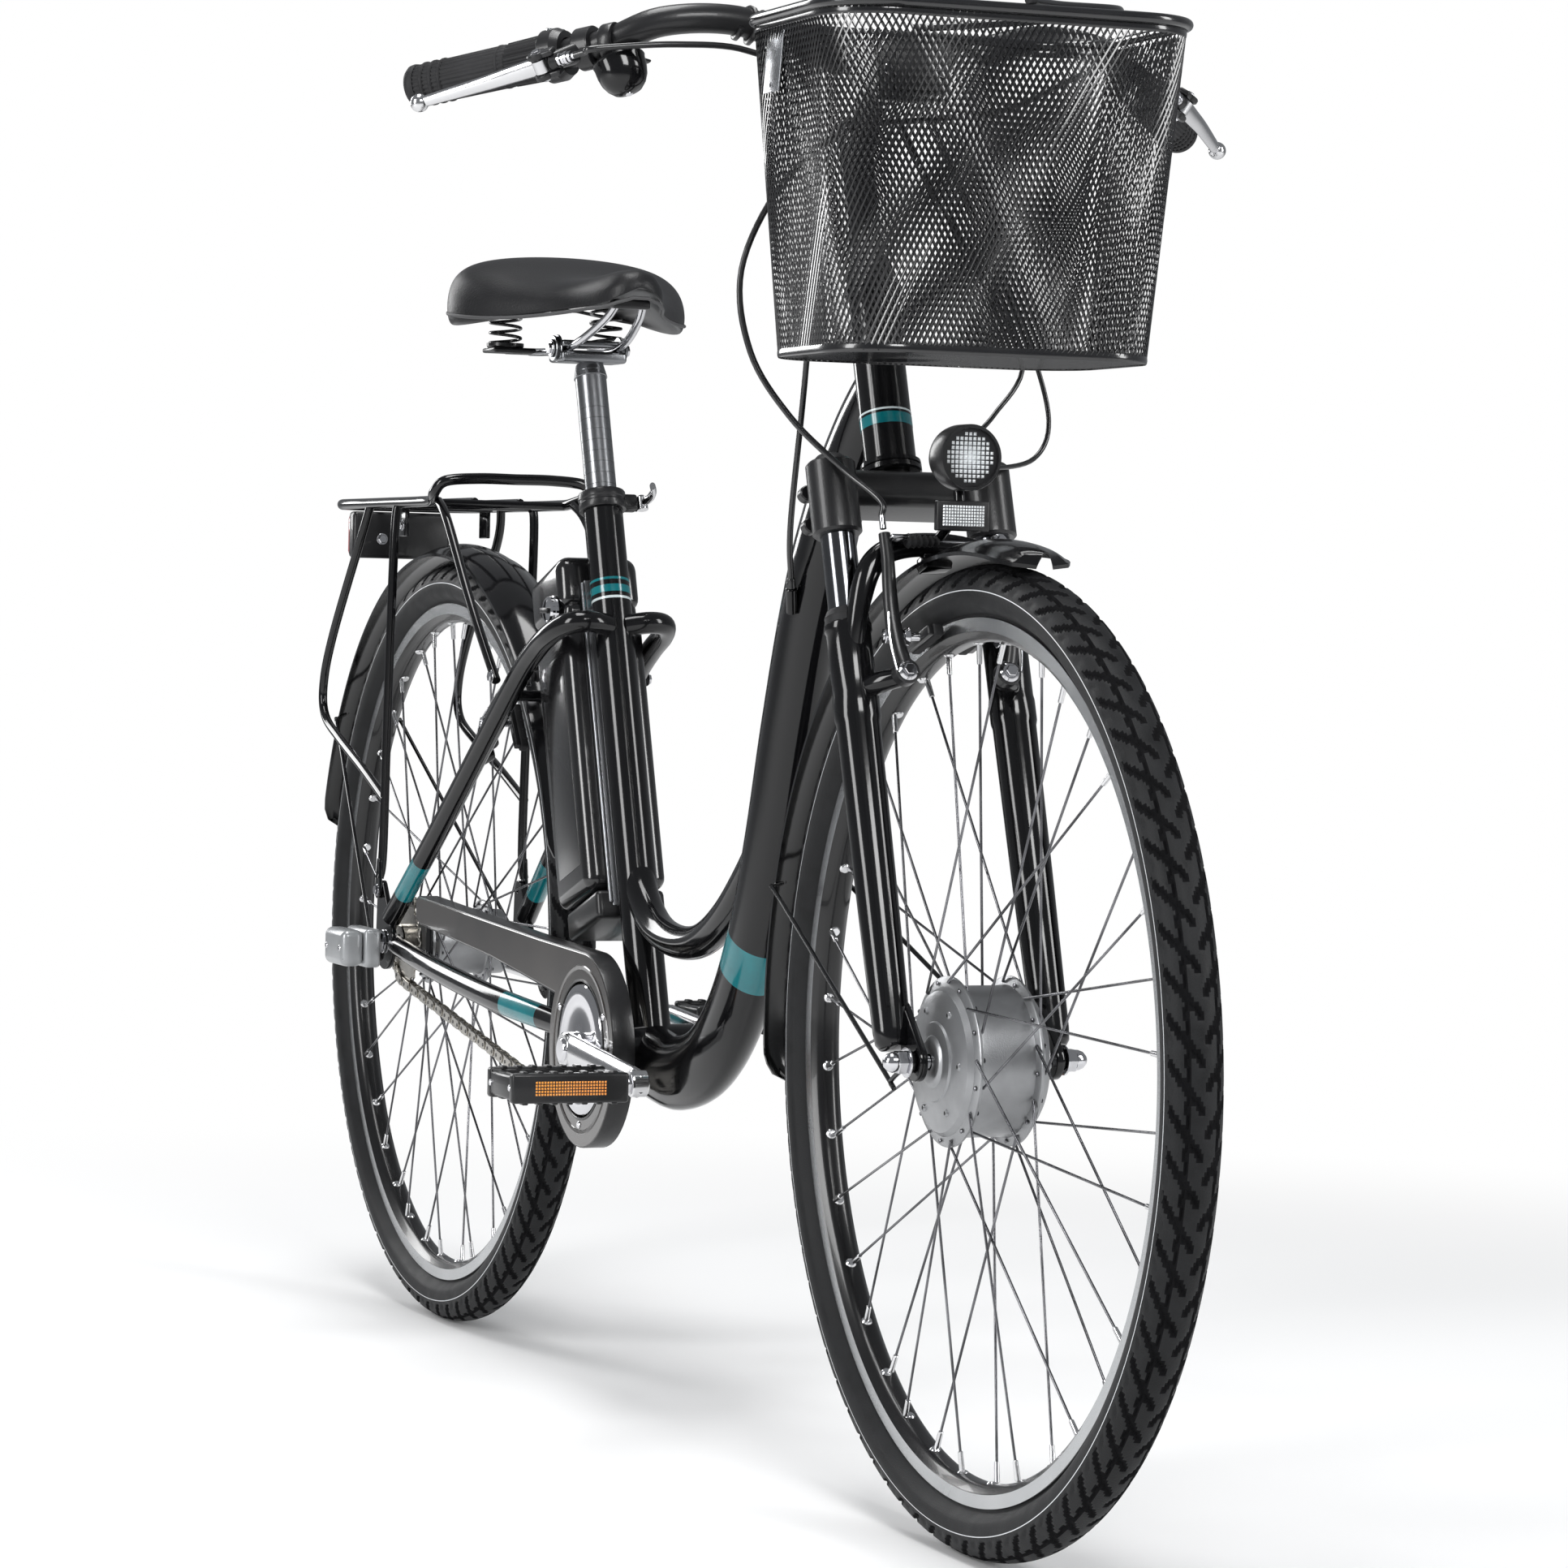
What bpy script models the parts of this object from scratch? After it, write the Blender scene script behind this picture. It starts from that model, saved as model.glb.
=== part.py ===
"""Electric city bike with a low step-through frame, a front hub motor and a seat-tube battery.

Metres, +Z up, +X towards the front wheel, +Y to the rider's left. The origin is on the
ground, under the middle of the bike's outline. The pieces are drawn from the rear axle
(x = 0 there) and hung from one empty that carries them to the origin.
"""
import bpy
import bmesh
from math import asin, atan2, copysign, cos, hypot, pi, radians, sin, sqrt
from mathutils import Matrix, Vector

MM = 0.001
GAP = 0.3 * MM
WELD = 0.001 * MM

# Wheels
WHEELBASE = 1.236
TYRE_RADIUS = 0.3548
TYRE_WIDTH = 42 * MM
TYRE_WALL = 3.5 * MM
TYRE_HEIGHT = 37.8 * MM
RIM_DEPTH = 17.8 * MM
RIM_OUTER_RADIUS = TYRE_RADIUS - TYRE_HEIGHT
RIM_INNER_RADIUS = RIM_OUTER_RADIUS - RIM_DEPTH
RIM_WIDTH = 24 * MM
RIM_FLANGE = 1.6 * MM
BED_TAPER = 0.5 * MM  # how much the bed narrows towards its floor
WHEEL_STEPS = 24
SPOKE_COUNT = 36
SPOKE_RADIUS = 1.0 * MM
SPOKE_HEAD_LEFT = 2.15 * MM
SPOKE_HEAD_SPREAD = 1.25 * MM
FLANGE_WALL = 3 * MM
SPOKE_RING = 4 * MM

MOTOR_FLANGE_RADIUS = 0.0610
MOTOR_SHELL_RADIUS = 0.0545
MOTOR_FLANGE_RIGHT = 29 * MM
MOTOR_FLANGE_LEFT = 18 * MM
REAR_FLANGE_RADIUS = 0.0390
REAR_SHELL_RADIUS = 0.0320
REAR_FLANGE_OFFSET = 26 * MM
AXLE_RADIUS = 5 * MM
NUT_RADIUS = 9 * MM
NUT_LENGTH = 9 * MM

# Frame
BB_FORWARD = 0.545
BB_HEIGHT = 0.302
BB_SHELL_RADIUS = 21 * MM
BB_SHELL_WIDTH = 68 * MM
SEAT_ANGLE = radians(71.1)
SEAT_TUBE_LENGTH = 0.488
SEAT_TUBE_RADIUS = 17 * MM
SEAT_POST_RADIUS = 13.6 * MM
SEAT_BORE_DEPTH = 0.385
HEAD_ANGLE = radians(70.6)
HEAD_BASE_FORWARD = 1.037
HEAD_BASE_HEIGHT = 0.775
HEAD_TUBE_LENGTH = 0.150
HEAD_TUBE_RADIUS = 19.5 * MM
STEERER_RADIUS = 14.0 * MM
CUP_RADIUS = 23 * MM
CUP_HEIGHT = 10 * MM
DOWN_TUBE_WIDTH = 46 * MM
DOWN_TUBE_DEPTH = 62 * MM
BRACE_RADIUS = 14 * MM
SEAT_STAY_RADIUS = 9.5 * MM
CHAIN_STAY_RADIUS = 9 * MM
DROPOUT_SPACING = 130 * MM
DROPOUT_THICKNESS = 5 * MM

# Drive
CRANK_LENGTH = 0.170
CRANK_ANGLE = radians(-4)
CRANK_INNER = 79 * MM
CRANK_THICKNESS = 13 * MM
SPINDLE_RADIUS = 8.5 * MM
CHAIN_PITCH = 12.7 * MM
CHAINRING_TEETH = 33
SPROCKET_TEETH = 19
CHAIN_LINE = 47 * MM
CHAIN_HEIGHT = 8.5 * MM
CHAIN_WIDTH = 8 * MM
CASE_RADIUS = 82 * MM
CASE_WALL = 2 * MM
CASE_OUTER = 64 * MM
CASE_INNER = 45 * MM
CASE_DEEP = 5 * MM
CASE_OPENING = 57 * MM
CASE_TAIL = 0.078
PEDAL_LENGTH = 98 * MM
PEDAL_DEPTH = 66 * MM
PEDAL_HEIGHT = 24 * MM
PEDAL_AXLE_RADIUS = 5.5 * MM
PEDAL_INNER = 93 * MM
PEDAL_OUTER = PEDAL_INNER + PEDAL_LENGTH - 6 * MM
COVER_RADIUS = 55 * MM
COVER_THICKNESS = 5 * MM

# Fork
FORK_SPACING = 124 * MM
STANCHION_OFFSET = 30 * MM
STANCHION_RADIUS = 13 * MM
LEG_RADIUS = 16.5 * MM
LEG_TOP_DROP = 0.128
CROWN_HEIGHT = 34 * MM
CROWN_DEPTH = 50 * MM
BRAKE_BOSS_SPACING = 80 * MM
BOSS_RADIUS = 7 * MM
BRAKE_PIN_RADIUS = 4 * MM
BRAKE_ARM_LENGTH = 0.104
BRAKE_ARM_THICKNESS = 10 * MM
PAD_RADIUS = RIM_OUTER_RADIUS - 6 * MM
PAD_GAP = 2.5 * MM
PAD_THICKNESS = 12 * MM
PAD_LENGTH = 46 * MM
PAD_HEIGHT = 9 * MM

# Fenders
FENDER_RADIUS = TYRE_RADIUS + 17 * MM
FENDER_ARCH = 11 * MM
FENDER_WIDTH = 58 * MM
FENDER_SHEET = 1.6 * MM
FENDER_EYE_THICKNESS = 3.8 * MM
STAY_WIRE = 1.8 * MM
EYE_RADIUS = 8 * MM
REAR_STAY_TURN = radians(146)
FRONT_STAY_TURN = radians(163)
FRONT_FENDER_START = radians(77)
FRONT_FENDER_END = radians(188)
REAR_FENDER_START = radians(14)
REAR_FENDER_END = radians(166)

# Handlebar and controls
BAR_RADIUS = 11.1 * MM
BAR_CLAMP_FORWARD = 1.000
BAR_CLAMP_HEIGHT = 1.086
GRIP_END = Vector((0.852, 0.318, 1.062))
GRIP_DIRECTION = Vector((-0.766, 0.643, -0.16)).normalized()
GRIP_LENGTH = 0.085
GRIP_RADIUS = 16.5 * MM
SLEEVE_LENGTH = 0.030
HOUSING_LENGTH = 0.018
LEVER_CLAMP_LENGTH = 0.014

# Basket
BASKET_CENTRE_FORWARD = 1.163
BASKET_TOP_HEIGHT = 1.099
BASKET_HEIGHT = 0.243
BASKET_TOP = (0.207, 0.286)
BASKET_BOTTOM = (0.174, 0.250)
BASKET_CORNER = 0.050
BASKET_WALL = 2.0 * MM
BASKET_RIM_RADIUS = 4.0 * MM

# Battery
BATTERY_BOTTOM = 0.145
BATTERY_LENGTH = 0.301
BATTERY_DEPTH = 87 * MM
BATTERY_WIDTH = 74 * MM

# Saddle
SADDLE_REAR = 0.226
POST_TOP_HEIGHT = 0.884
SPRING_RADIUS = 13.5 * MM
SPRING_WIRE = 2.6 * MM
SPRING_HEIGHT = 38 * MM
SPRING_TURNS = 4

# Rack
RACK_HEIGHT = 0.764
RACK_HALF_WIDTH = 66 * MM
RACK_REAR = -0.205
RACK_TUBE = 5.0 * MM
STAY_TUBE = 4.2 * MM

# Places worked out from the sizes above
REAR_REACH = (FENDER_RADIUS + FENDER_SHEET / 2) * cos(pi - REAR_FENDER_END)
FRONT_REACH = WHEELBASE + TYRE_RADIUS
REAR_AXLE_X = (REAR_REACH - FRONT_REACH) / 2
AXLE_REAR = Vector((0, 0, TYRE_RADIUS))
AXLE_FRONT = Vector((WHEELBASE, 0, TYRE_RADIUS))
BB = Vector((BB_FORWARD, 0, BB_HEIGHT))
LEFT = Vector((0, 1, 0))
SEAT_UP = Vector((-cos(SEAT_ANGLE), 0, sin(SEAT_ANGLE)))
SEAT_FORE = Vector((sin(SEAT_ANGLE), 0, cos(SEAT_ANGLE)))
STEER_UP = Vector((-cos(HEAD_ANGLE), 0, sin(HEAD_ANGLE)))
STEER_FORE = Vector((sin(HEAD_ANGLE), 0, cos(HEAD_ANGLE)))
HEAD_BASE = Vector((HEAD_BASE_FORWARD, 0, HEAD_BASE_HEIGHT))


def seat_point(up, fore=0.0, left=0.0):
    """A point given along, ahead of and to the left of the seat tube's axis."""
    return BB + SEAT_UP * up + SEAT_FORE * fore + LEFT * left


def steer_point(up, fore=0.0, left=0.0):
    """A point given along, ahead of and to the left of the steering axis."""
    return HEAD_BASE + STEER_UP * up + STEER_FORE * fore + LEFT * left


def frame_of(fore, up, origin):
    """A placing whose X axis is fore and whose Z axis is up, at an origin."""
    side = up.cross(fore)
    rotation = Matrix((fore, side, up)).transposed().to_4x4()
    return Matrix.Translation(origin) @ rotation


SEAT_FRAME = frame_of(SEAT_FORE, SEAT_UP, BB)
STEER_FRAME = frame_of(STEER_FORE, STEER_UP, HEAD_BASE)

for old in list(bpy.data.objects):
    bpy.data.objects.remove(old, do_unlink=True)

bike = bpy.data.collections.new("electric_city_bike")
cutters = bpy.data.collections.new("cutters")
bpy.context.scene.collection.children.link(bike)
bpy.context.scene.collection.children.link(cutters)
cutters.hide_render = True

base = bpy.data.objects.new("bike_origin", None)
base.location = (REAR_AXLE_X, 0, 0)
bike.objects.link(base)


def material(name, colour, roughness, metallic=0.0):
    """A Principled material in the piece's colour."""
    made = bpy.data.materials.new(name)
    made.use_nodes = True
    shader = made.node_tree.nodes["Principled BSDF"]
    shader.inputs["Base Color"].default_value = (*colour, 1)
    shader.inputs["Roughness"].default_value = roughness
    shader.inputs["Metallic"].default_value = metallic
    return made


BLACK_PAINT = material("black_paint", (0.008, 0.008, 0.009), 0.12)
BLACK_PLASTIC = material("black_plastic", (0.02, 0.02, 0.02), 0.5)
GREY_PLASTIC = material("grey_plastic", (0.07, 0.065, 0.06), 0.35)
RUBBER = material("rubber", (0.025, 0.025, 0.027), 0.8)
TYRE = material("tyre", (0.035, 0.036, 0.04), 0.85)
SILVER = material("silver", (0.62, 0.62, 0.62), 0.3, 1.0)
STEEL = material("steel", (0.45, 0.45, 0.46), 0.3, 1.0)
DARK_METAL = material("dark_metal", (0.12, 0.12, 0.125), 0.35, 1.0)
LEATHERETTE = material("leatherette", (0.015, 0.015, 0.016), 0.45)
RED = material("red", (0.55, 0.02, 0.02), 0.4)


def new_object(name, data):
    """An object in the bike's collection."""
    made = bpy.data.objects.new(name, data)
    bike.objects.link(made)
    return made


def from_bmesh(name, shape):
    """An object that holds a bmesh."""
    mesh = bpy.data.meshes.new(name)
    shape.to_mesh(mesh)
    shape.free()
    return new_object(name, mesh)


def frozen(source):
    """The object as it is evaluated, as one plain mesh in the bike's own coordinates."""
    bpy.context.view_layer.update()
    graph = bpy.context.evaluated_depsgraph_get()
    mesh = bpy.data.meshes.new_from_object(source.evaluated_get(graph), depsgraph=graph)
    mesh.transform(source.matrix_world)
    shape = bmesh.new()
    shape.from_mesh(mesh)
    bmesh.ops.remove_doubles(shape, verts=shape.verts, dist=WELD)
    shape.to_mesh(mesh)
    shape.free()
    made = new_object(source.name + "_mesh", mesh)
    bpy.data.objects.remove(source, do_unlink=True)
    return made


def placed(source, placing):
    """The object frozen after a placing."""
    source.matrix_world = placing
    return frozen(source)


def along(start, end):
    """A placing at start whose Z axis runs towards end."""
    direction = (end - start).normalized()
    turn = direction.to_track_quat("Z", "Y").to_matrix().to_4x4()
    return Matrix.Translation(start) @ turn


def rods(ends, radius, sides=16, end_radius=None):
    """Round bars or cones between pairs of points, as one object."""
    shape = bmesh.new()
    for start, end in ends:
        start = Vector(start)
        end = Vector(end)
        length = (end - start).length
        bmesh.ops.create_cone(
            shape,
            cap_ends=True,
            segments=sides,
            radius1=radius,
            radius2=radius if end_radius is None else end_radius,
            depth=length,
            matrix=along(start, end) @ Matrix.Translation((0, 0, length / 2)),
        )
    return frozen(from_bmesh("rod", shape))


def rod(start, end, radius, sides=16, end_radius=None):
    """A round bar or cone between two points."""
    return rods([(start, end)], radius, sides, end_radius)


def block(size, placing, bevel=0.0, segments=1):
    """A box of a size, centred on a placing, with its edges rounded."""
    shape = bmesh.new()
    bmesh.ops.create_cube(shape, size=1.0)
    bmesh.ops.scale(shape, vec=size, verts=shape.verts)
    box = from_bmesh("block", shape)
    if bevel > 0:
        rounding = box.modifiers.new("rounding", "BEVEL")
        rounding.width = bevel
        rounding.segments = segments
    return placed(box, placing)


def at(x, y, z):
    """A placing with no turn."""
    return Matrix.Translation((x, y, z))


def ball(centre, radius, segments=12, rings=8, stretch=(1, 1, 1)):
    """A sphere or ellipsoid."""
    shape = bmesh.new()
    bmesh.ops.create_uvsphere(shape, u_segments=segments, v_segments=rings, radius=radius)
    bmesh.ops.scale(shape, vec=stretch, verts=shape.verts)
    return placed(from_bmesh("ball", shape), Matrix.Translation(centre))


def rounded_path(points, steps=4):
    """Points on a smooth curve through the given points, with steps to each span."""
    knots = [Vector(point) for point in points]
    path = []
    for index in range(len(knots) - 1):
        before = knots[max(index - 1, 0)]
        first = knots[index]
        second = knots[index + 1]
        after = knots[min(index + 2, len(knots) - 1)]
        for step in range(steps):
            t = step / steps
            path.append(
                0.5 * (
                    2 * first
                    + (second - before) * t
                    + (2 * before - 5 * first + 4 * second - after) * t ** 2
                    + (3 * first - before - 3 * second + after) * t ** 3
                )
            )
    path.append(knots[-1])
    return path


def tube(points, radius, resolution=2, closed=False, swell=None, section=None):
    """A bar swept along points, round or with a section of its own."""
    curve = bpy.data.curves.new("tube", "CURVE")
    curve.dimensions = "3D"
    curve.bevel_depth = radius
    curve.bevel_resolution = resolution
    curve.use_fill_caps = not closed
    if section is not None:
        curve.bevel_mode = "OBJECT"
        curve.bevel_object = section
    spline = curve.splines.new("POLY")
    spline.points.add(len(points) - 1)
    for index, point in enumerate(points):
        spline.points[index].co = (*point, 1)
        if swell is not None:
            spline.points[index].radius = swell(index / (len(points) - 1))
    spline.use_cyclic_u = closed
    bar = frozen(new_object("tube", curve))
    if section is not None:
        bpy.data.objects.remove(section, do_unlink=True)
    return bar


def oval(width, depth, sides=10):
    """A closed outline for a swept tube, width across its curve's plane."""
    curve = bpy.data.curves.new("oval", "CURVE")
    spline = curve.splines.new("POLY")
    spline.points.add(sides - 1)
    for index in range(sides):
        turn = 2 * pi * index / sides
        spline.points[index].co = (cos(turn) * width / 2, -sin(turn) * depth / 2, 0, 1)
    spline.use_cyclic_u = True
    return new_object("oval", curve)


def plate(outline, thickness, placing):
    """A flat plate: an outline in its own X and Y, with its thickness along Z."""
    curve = bpy.data.curves.new("plate", "CURVE")
    curve.dimensions = "2D"
    curve.fill_mode = "BOTH"
    curve.extrude = thickness / 2
    spline = curve.splines.new("POLY")
    spline.points.add(len(outline) - 1)
    for index, point in enumerate(outline):
        spline.points[index].co = (point[0], point[1], 0, 1)
    spline.use_cyclic_u = True
    return placed(new_object("plate", curve), placing)


def turned(profile, placing, steps=32, ring=False):
    """A turned piece: profile points (radius, height) run down its outer side."""
    mesh = bpy.data.meshes.new("turned")
    edges = [(index, index + 1) for index in range(len(profile) - 1)]
    if ring:
        edges.append((len(profile) - 1, 0))
    mesh.from_pydata([(radius, 0, height) for radius, height in profile], edges, [])
    piece = new_object("turned", mesh)
    screw = piece.modifiers.new("turn", "SCREW")
    screw.axis = "Z"
    screw.steps = steps
    screw.render_steps = steps
    screw.use_merge_vertices = True
    screw.merge_threshold = 0.01 * MM
    return placed(piece, placing)


def wheel_frame(axle):
    """A placing at an axle whose Z axis points to the left."""
    return Matrix.Translation(axle) @ Matrix.Rotation(-pi / 2, 4, "X")


def boolean(first, other, operation, solver="EXACT"):
    """One Boolean step, with the other object used up."""
    for used in list(other.users_collection):
        used.objects.unlink(other)
    cutters.objects.link(other)
    other.display_type = "WIRE"
    other.hide_render = True
    step = first.modifiers.new("step", "BOOLEAN")
    step.operation = operation
    step.solver = solver
    step.object = other
    made = frozen(first)
    bpy.data.objects.remove(other, do_unlink=True)
    return made


def join(first, *others, solver="EXACT"):
    """One body from overlapping ones."""
    for other in others:
        first = boolean(first, other, "UNION", solver)
    return first


def cut(first, *others):
    """A body with others taken out of it."""
    for other in others:
        first = boolean(first, other, "DIFFERENCE")
    return first


def pivot(name, place, parent=None):
    """An empty on a joint's axis."""
    made = bpy.data.objects.new(name, None)
    made.empty_display_size = 0.03
    bike.objects.link(made)
    made.parent = base if parent is None else parent
    origin = Vector((0, 0, 0)) if parent is None else Vector(parent["place"])
    made.location = Vector(place) - origin
    made["place"] = tuple(place)
    return made


def finish(piece, name, look, carrier=None):
    """Names a piece, gives it its material and hangs it on its carrier."""
    piece.name = name
    piece.data.name = name
    piece.data.materials.clear()
    piece.data.materials.append(look)
    piece.data.shade_smooth()
    piece.data.set_sharp_from_angle(angle=radians(35))
    if carrier is None:
        piece.parent = base
    else:
        piece.data.transform(Matrix.Translation(-Vector(carrier["place"])))
        piece.parent = carrier
    return piece


def side_frame(origin):
    """A placing whose X and Y axes are the bike's X and Z, for plates in side view."""
    return Matrix.Translation(origin) @ Matrix.Rotation(pi / 2, 4, "X")


def link_outline(start, end, start_radius, end_radius, steps=5):
    """The outline round two circles and their tangents."""
    direction = atan2(end[1] - start[1], end[0] - start[0])
    length = hypot(end[0] - start[0], end[1] - start[1])
    lean = asin((start_radius - end_radius) / length)
    outline = []
    for step in range(steps + 1):
        turn = direction + pi / 2 - lean + (pi + 2 * lean) * step / steps
        outline.append((start[0] + cos(turn) * start_radius, start[1] + sin(turn) * start_radius))
    for step in range(steps + 1):
        turn = direction - pi / 2 + lean + (pi - 2 * lean) * step / steps
        outline.append((end[0] + cos(turn) * end_radius, end[1] + sin(turn) * end_radius))
    return outline


steering = pivot("steering_axis", HEAD_BASE)
fork_slide = pivot("fork_slide", AXLE_FRONT, steering)
front_wheel = pivot("front_wheel_axis", AXLE_FRONT, fork_slide)
rear_wheel = pivot("rear_wheel_axis", AXLE_REAR)
sprocket_axis = pivot("sprocket_axis", AXLE_REAR)
crank_axis = pivot("crank_axis", BB)

# Wheels


def tyre(name, axle, carrier):
    """A hollow tyre, open towards the rim."""
    middle = TYRE_RADIUS - TYRE_WIDTH / 2
    half = TYRE_WIDTH / 2
    inner = half - TYRE_WALL
    bead = RIM_WIDTH / 2 - RIM_FLANGE - GAP
    well = RIM_OUTER_RADIUS - 5.2 * MM
    over = RIM_OUTER_RADIUS + 0.8 * MM
    outer_turns = [radians(turn) for turn in (92, 46, 0, -46, -92)]
    inner_turns = [radians(turn) for turn in (-65, 65)]
    foot = bead - BED_TAPER
    profile = [(well, foot), (over, bead)]
    profile += [(middle + cos(turn) * half, sin(turn) * half) for turn in outer_turns]
    profile += [(over, -bead), (well, -foot), (well, -foot + TYRE_WALL * 0.7)]
    profile += [(middle + cos(turn) * inner, sin(turn) * inner) for turn in inner_turns]
    profile += [(well, foot - TYRE_WALL * 0.7)]
    made = turned(profile, wheel_frame(axle), WHEEL_STEPS, ring=True)
    return finish(made, name, TYRE, carrier)


def rim(name, axle, carrier):
    """A U-shaped rim: two braking walls and a deep bed."""
    half = RIM_WIDTH / 2
    wall = half - RIM_FLANGE
    bed = RIM_OUTER_RADIUS - 6 * MM
    floor = wall - BED_TAPER
    profile = [
        (bed, floor), (RIM_OUTER_RADIUS, wall), (RIM_OUTER_RADIUS, half),
        (RIM_INNER_RADIUS, half / 2), (RIM_INNER_RADIUS, -half / 2),
        (RIM_OUTER_RADIUS, -half), (RIM_OUTER_RADIUS, -wall), (bed, -floor),
    ]
    profile.reverse()
    made = turned(profile, wheel_frame(axle), WHEEL_STEPS, ring=True)
    return finish(made, name, DARK_METAL, carrier)


def spokes(name, axle, flanges, crossing, carrier):
    """Spokes laced to two flanges and joined by the thin strip under the rim's bed."""
    strip_outer = RIM_INNER_RADIUS - GAP
    strip_inner = strip_outer - SPOKE_RING
    half = RIM_WIDTH / 4 - GAP
    strip = [(strip_inner, half), (strip_outer, half), (strip_outer, -half), (strip_inner, -half)]
    placing = wheel_frame(axle)
    made = turned(strip, placing, WHEEL_STEPS, ring=True)
    per_flange = SPOKE_COUNT // 2
    reach = (strip_inner + 0.5 * SPOKE_RING) * (1 + cos(pi / WHEEL_STEPS)) / 2
    ends = []
    for index in range(SPOKE_COUNT):
        rim_turn = 2 * pi * (index + 0.41) / SPOKE_COUNT
        flange_left, hole_radius = flanges[index % 2]
        leading = 1 if (index // 2) % 2 == 0 else -1
        hub_turn = rim_turn + leading * 2 * pi * crossing / per_flange
        foot_left = flange_left + (FLANGE_WALL / 2 + SPOKE_RADIUS + 3 * GAP) * leading
        head_left = copysign(SPOKE_HEAD_LEFT, flange_left) + SPOKE_HEAD_SPREAD * leading
        foot = Vector((cos(hub_turn) * hole_radius, sin(hub_turn) * hole_radius, foot_left))
        head = Vector((cos(rim_turn) * reach, sin(rim_turn) * reach, head_left))
        ends.append((placing @ foot, placing @ head))
    return finish(join(made, rods(ends, SPOKE_RADIUS, 3)), name, STEEL, carrier)


def hub(name, axle, half_profile, look, carrier, steps=14):
    """A hub shell turned round its fixed axle."""
    bore = AXLE_RADIUS + GAP
    profile = [(bore, half_profile[0][1])] + half_profile + [(bore, half_profile[-1][1])]
    made = turned(profile, wheel_frame(axle), steps, ring=True)
    return finish(made, name, look, carrier)


def flange(radius, shell, left):
    """The profile points over one flange."""
    half = FLANGE_WALL / 2
    return [(shell, left + half), (radius, left + half), (radius, left - half), (shell, left - half)]


tyre("front_tyre", AXLE_FRONT, front_wheel)
rim("front_rim", AXLE_FRONT, front_wheel)
motor_holes = MOTOR_FLANGE_RADIUS - 4 * MM
spokes(
    "front_spokes", AXLE_FRONT,
    [(MOTOR_FLANGE_LEFT, motor_holes), (-MOTOR_FLANGE_RIGHT, motor_holes)], 2, front_wheel,
)
motor_profile = [(18 * MM, 40 * MM), (MOTOR_SHELL_RADIUS - 4 * MM, 27 * MM)]
motor_profile += flange(MOTOR_FLANGE_RADIUS, MOTOR_SHELL_RADIUS, MOTOR_FLANGE_LEFT)
motor_profile += flange(MOTOR_FLANGE_RADIUS, MOTOR_SHELL_RADIUS, -MOTOR_FLANGE_RIGHT)
motor_profile += [(MOTOR_SHELL_RADIUS - 4 * MM, -36 * MM), (16 * MM, -44 * MM)]
hub("front_hub_motor", AXLE_FRONT, motor_profile, SILVER, front_wheel)

tyre("rear_tyre", AXLE_REAR, rear_wheel)
rim("rear_rim", AXLE_REAR, rear_wheel)
rear_holes = REAR_FLANGE_RADIUS - 4 * MM
spokes(
    "rear_spokes", AXLE_REAR,
    [(REAR_FLANGE_OFFSET, rear_holes), (-REAR_FLANGE_OFFSET, rear_holes)], 3, rear_wheel,
)
rear_profile = [(12 * MM, 56 * MM), (REAR_SHELL_RADIUS - 2 * MM, 44 * MM)]
rear_profile += flange(REAR_FLANGE_RADIUS, REAR_SHELL_RADIUS - 2 * MM, REAR_FLANGE_OFFSET)
rear_profile += flange(REAR_FLANGE_RADIUS, REAR_SHELL_RADIUS - 2 * MM, -REAR_FLANGE_OFFSET)
rear_profile += [(20 * MM, -40 * MM)]
hub("rear_hub", AXLE_REAR, rear_profile, SILVER, rear_wheel)

# Chain drive
CHAINRING_RADIUS = CHAIN_PITCH / (2 * sin(pi / CHAINRING_TEETH))
SPROCKET_RADIUS = CHAIN_PITCH / (2 * sin(pi / SPROCKET_TEETH))


def belt_outline(offset):
    """The chain's outline round the sprocket and the chainring, in side view."""
    start = (AXLE_REAR.x, AXLE_REAR.z)
    end = (BB.x, BB.z)
    return link_outline(start, end, SPROCKET_RADIUS + offset, CHAINRING_RADIUS + offset, 12)


def side_place(left):
    """A placing for plates in side view, at a distance to the left."""
    return side_frame(Vector((0, left, 0)))


chain = plate(belt_outline(CHAIN_HEIGHT / 2), CHAIN_WIDTH, side_place(-CHAIN_LINE))
chain_inside = plate(belt_outline(-CHAIN_HEIGHT / 2), CHAIN_WIDTH * 2, side_place(-CHAIN_LINE))
finish(cut(chain, chain_inside), "chain", STEEL)

toothed = SPROCKET_RADIUS - CHAIN_HEIGHT / 2 - MM
sprocket_profile = [
    (18 * MM, -40.3 * MM), (18 * MM, -CHAIN_LINE + MM), (toothed, -CHAIN_LINE + MM),
    (toothed, -CHAIN_LINE - MM), (16 * MM, -CHAIN_LINE - MM), (16 * MM, -55 * MM),
]
hub("rear_sprocket", AXLE_REAR, sprocket_profile, STEEL, sprocket_axis, 14)

SPINDLE_END = 58 * MM
spindle = rod(BB - LEFT * SPINDLE_END, BB + LEFT * SPINDLE_END, SPINDLE_RADIUS, 12)
finish(spindle, "crank_spindle", STEEL, crank_axis)

toothed = CHAINRING_RADIUS - CHAIN_HEIGHT / 2 - MM
ring_bore = SPINDLE_RADIUS + GAP
chainring_profile = [
    (ring_bore, -CHAIN_LINE + MM), (toothed, -CHAIN_LINE + MM), (toothed, -CHAIN_LINE - MM),
    (20 * MM, -CHAIN_LINE - MM), (20 * MM, -SPINDLE_END - 6 * MM),
    (ring_bore, -SPINDLE_END - 6 * MM),
]


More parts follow.
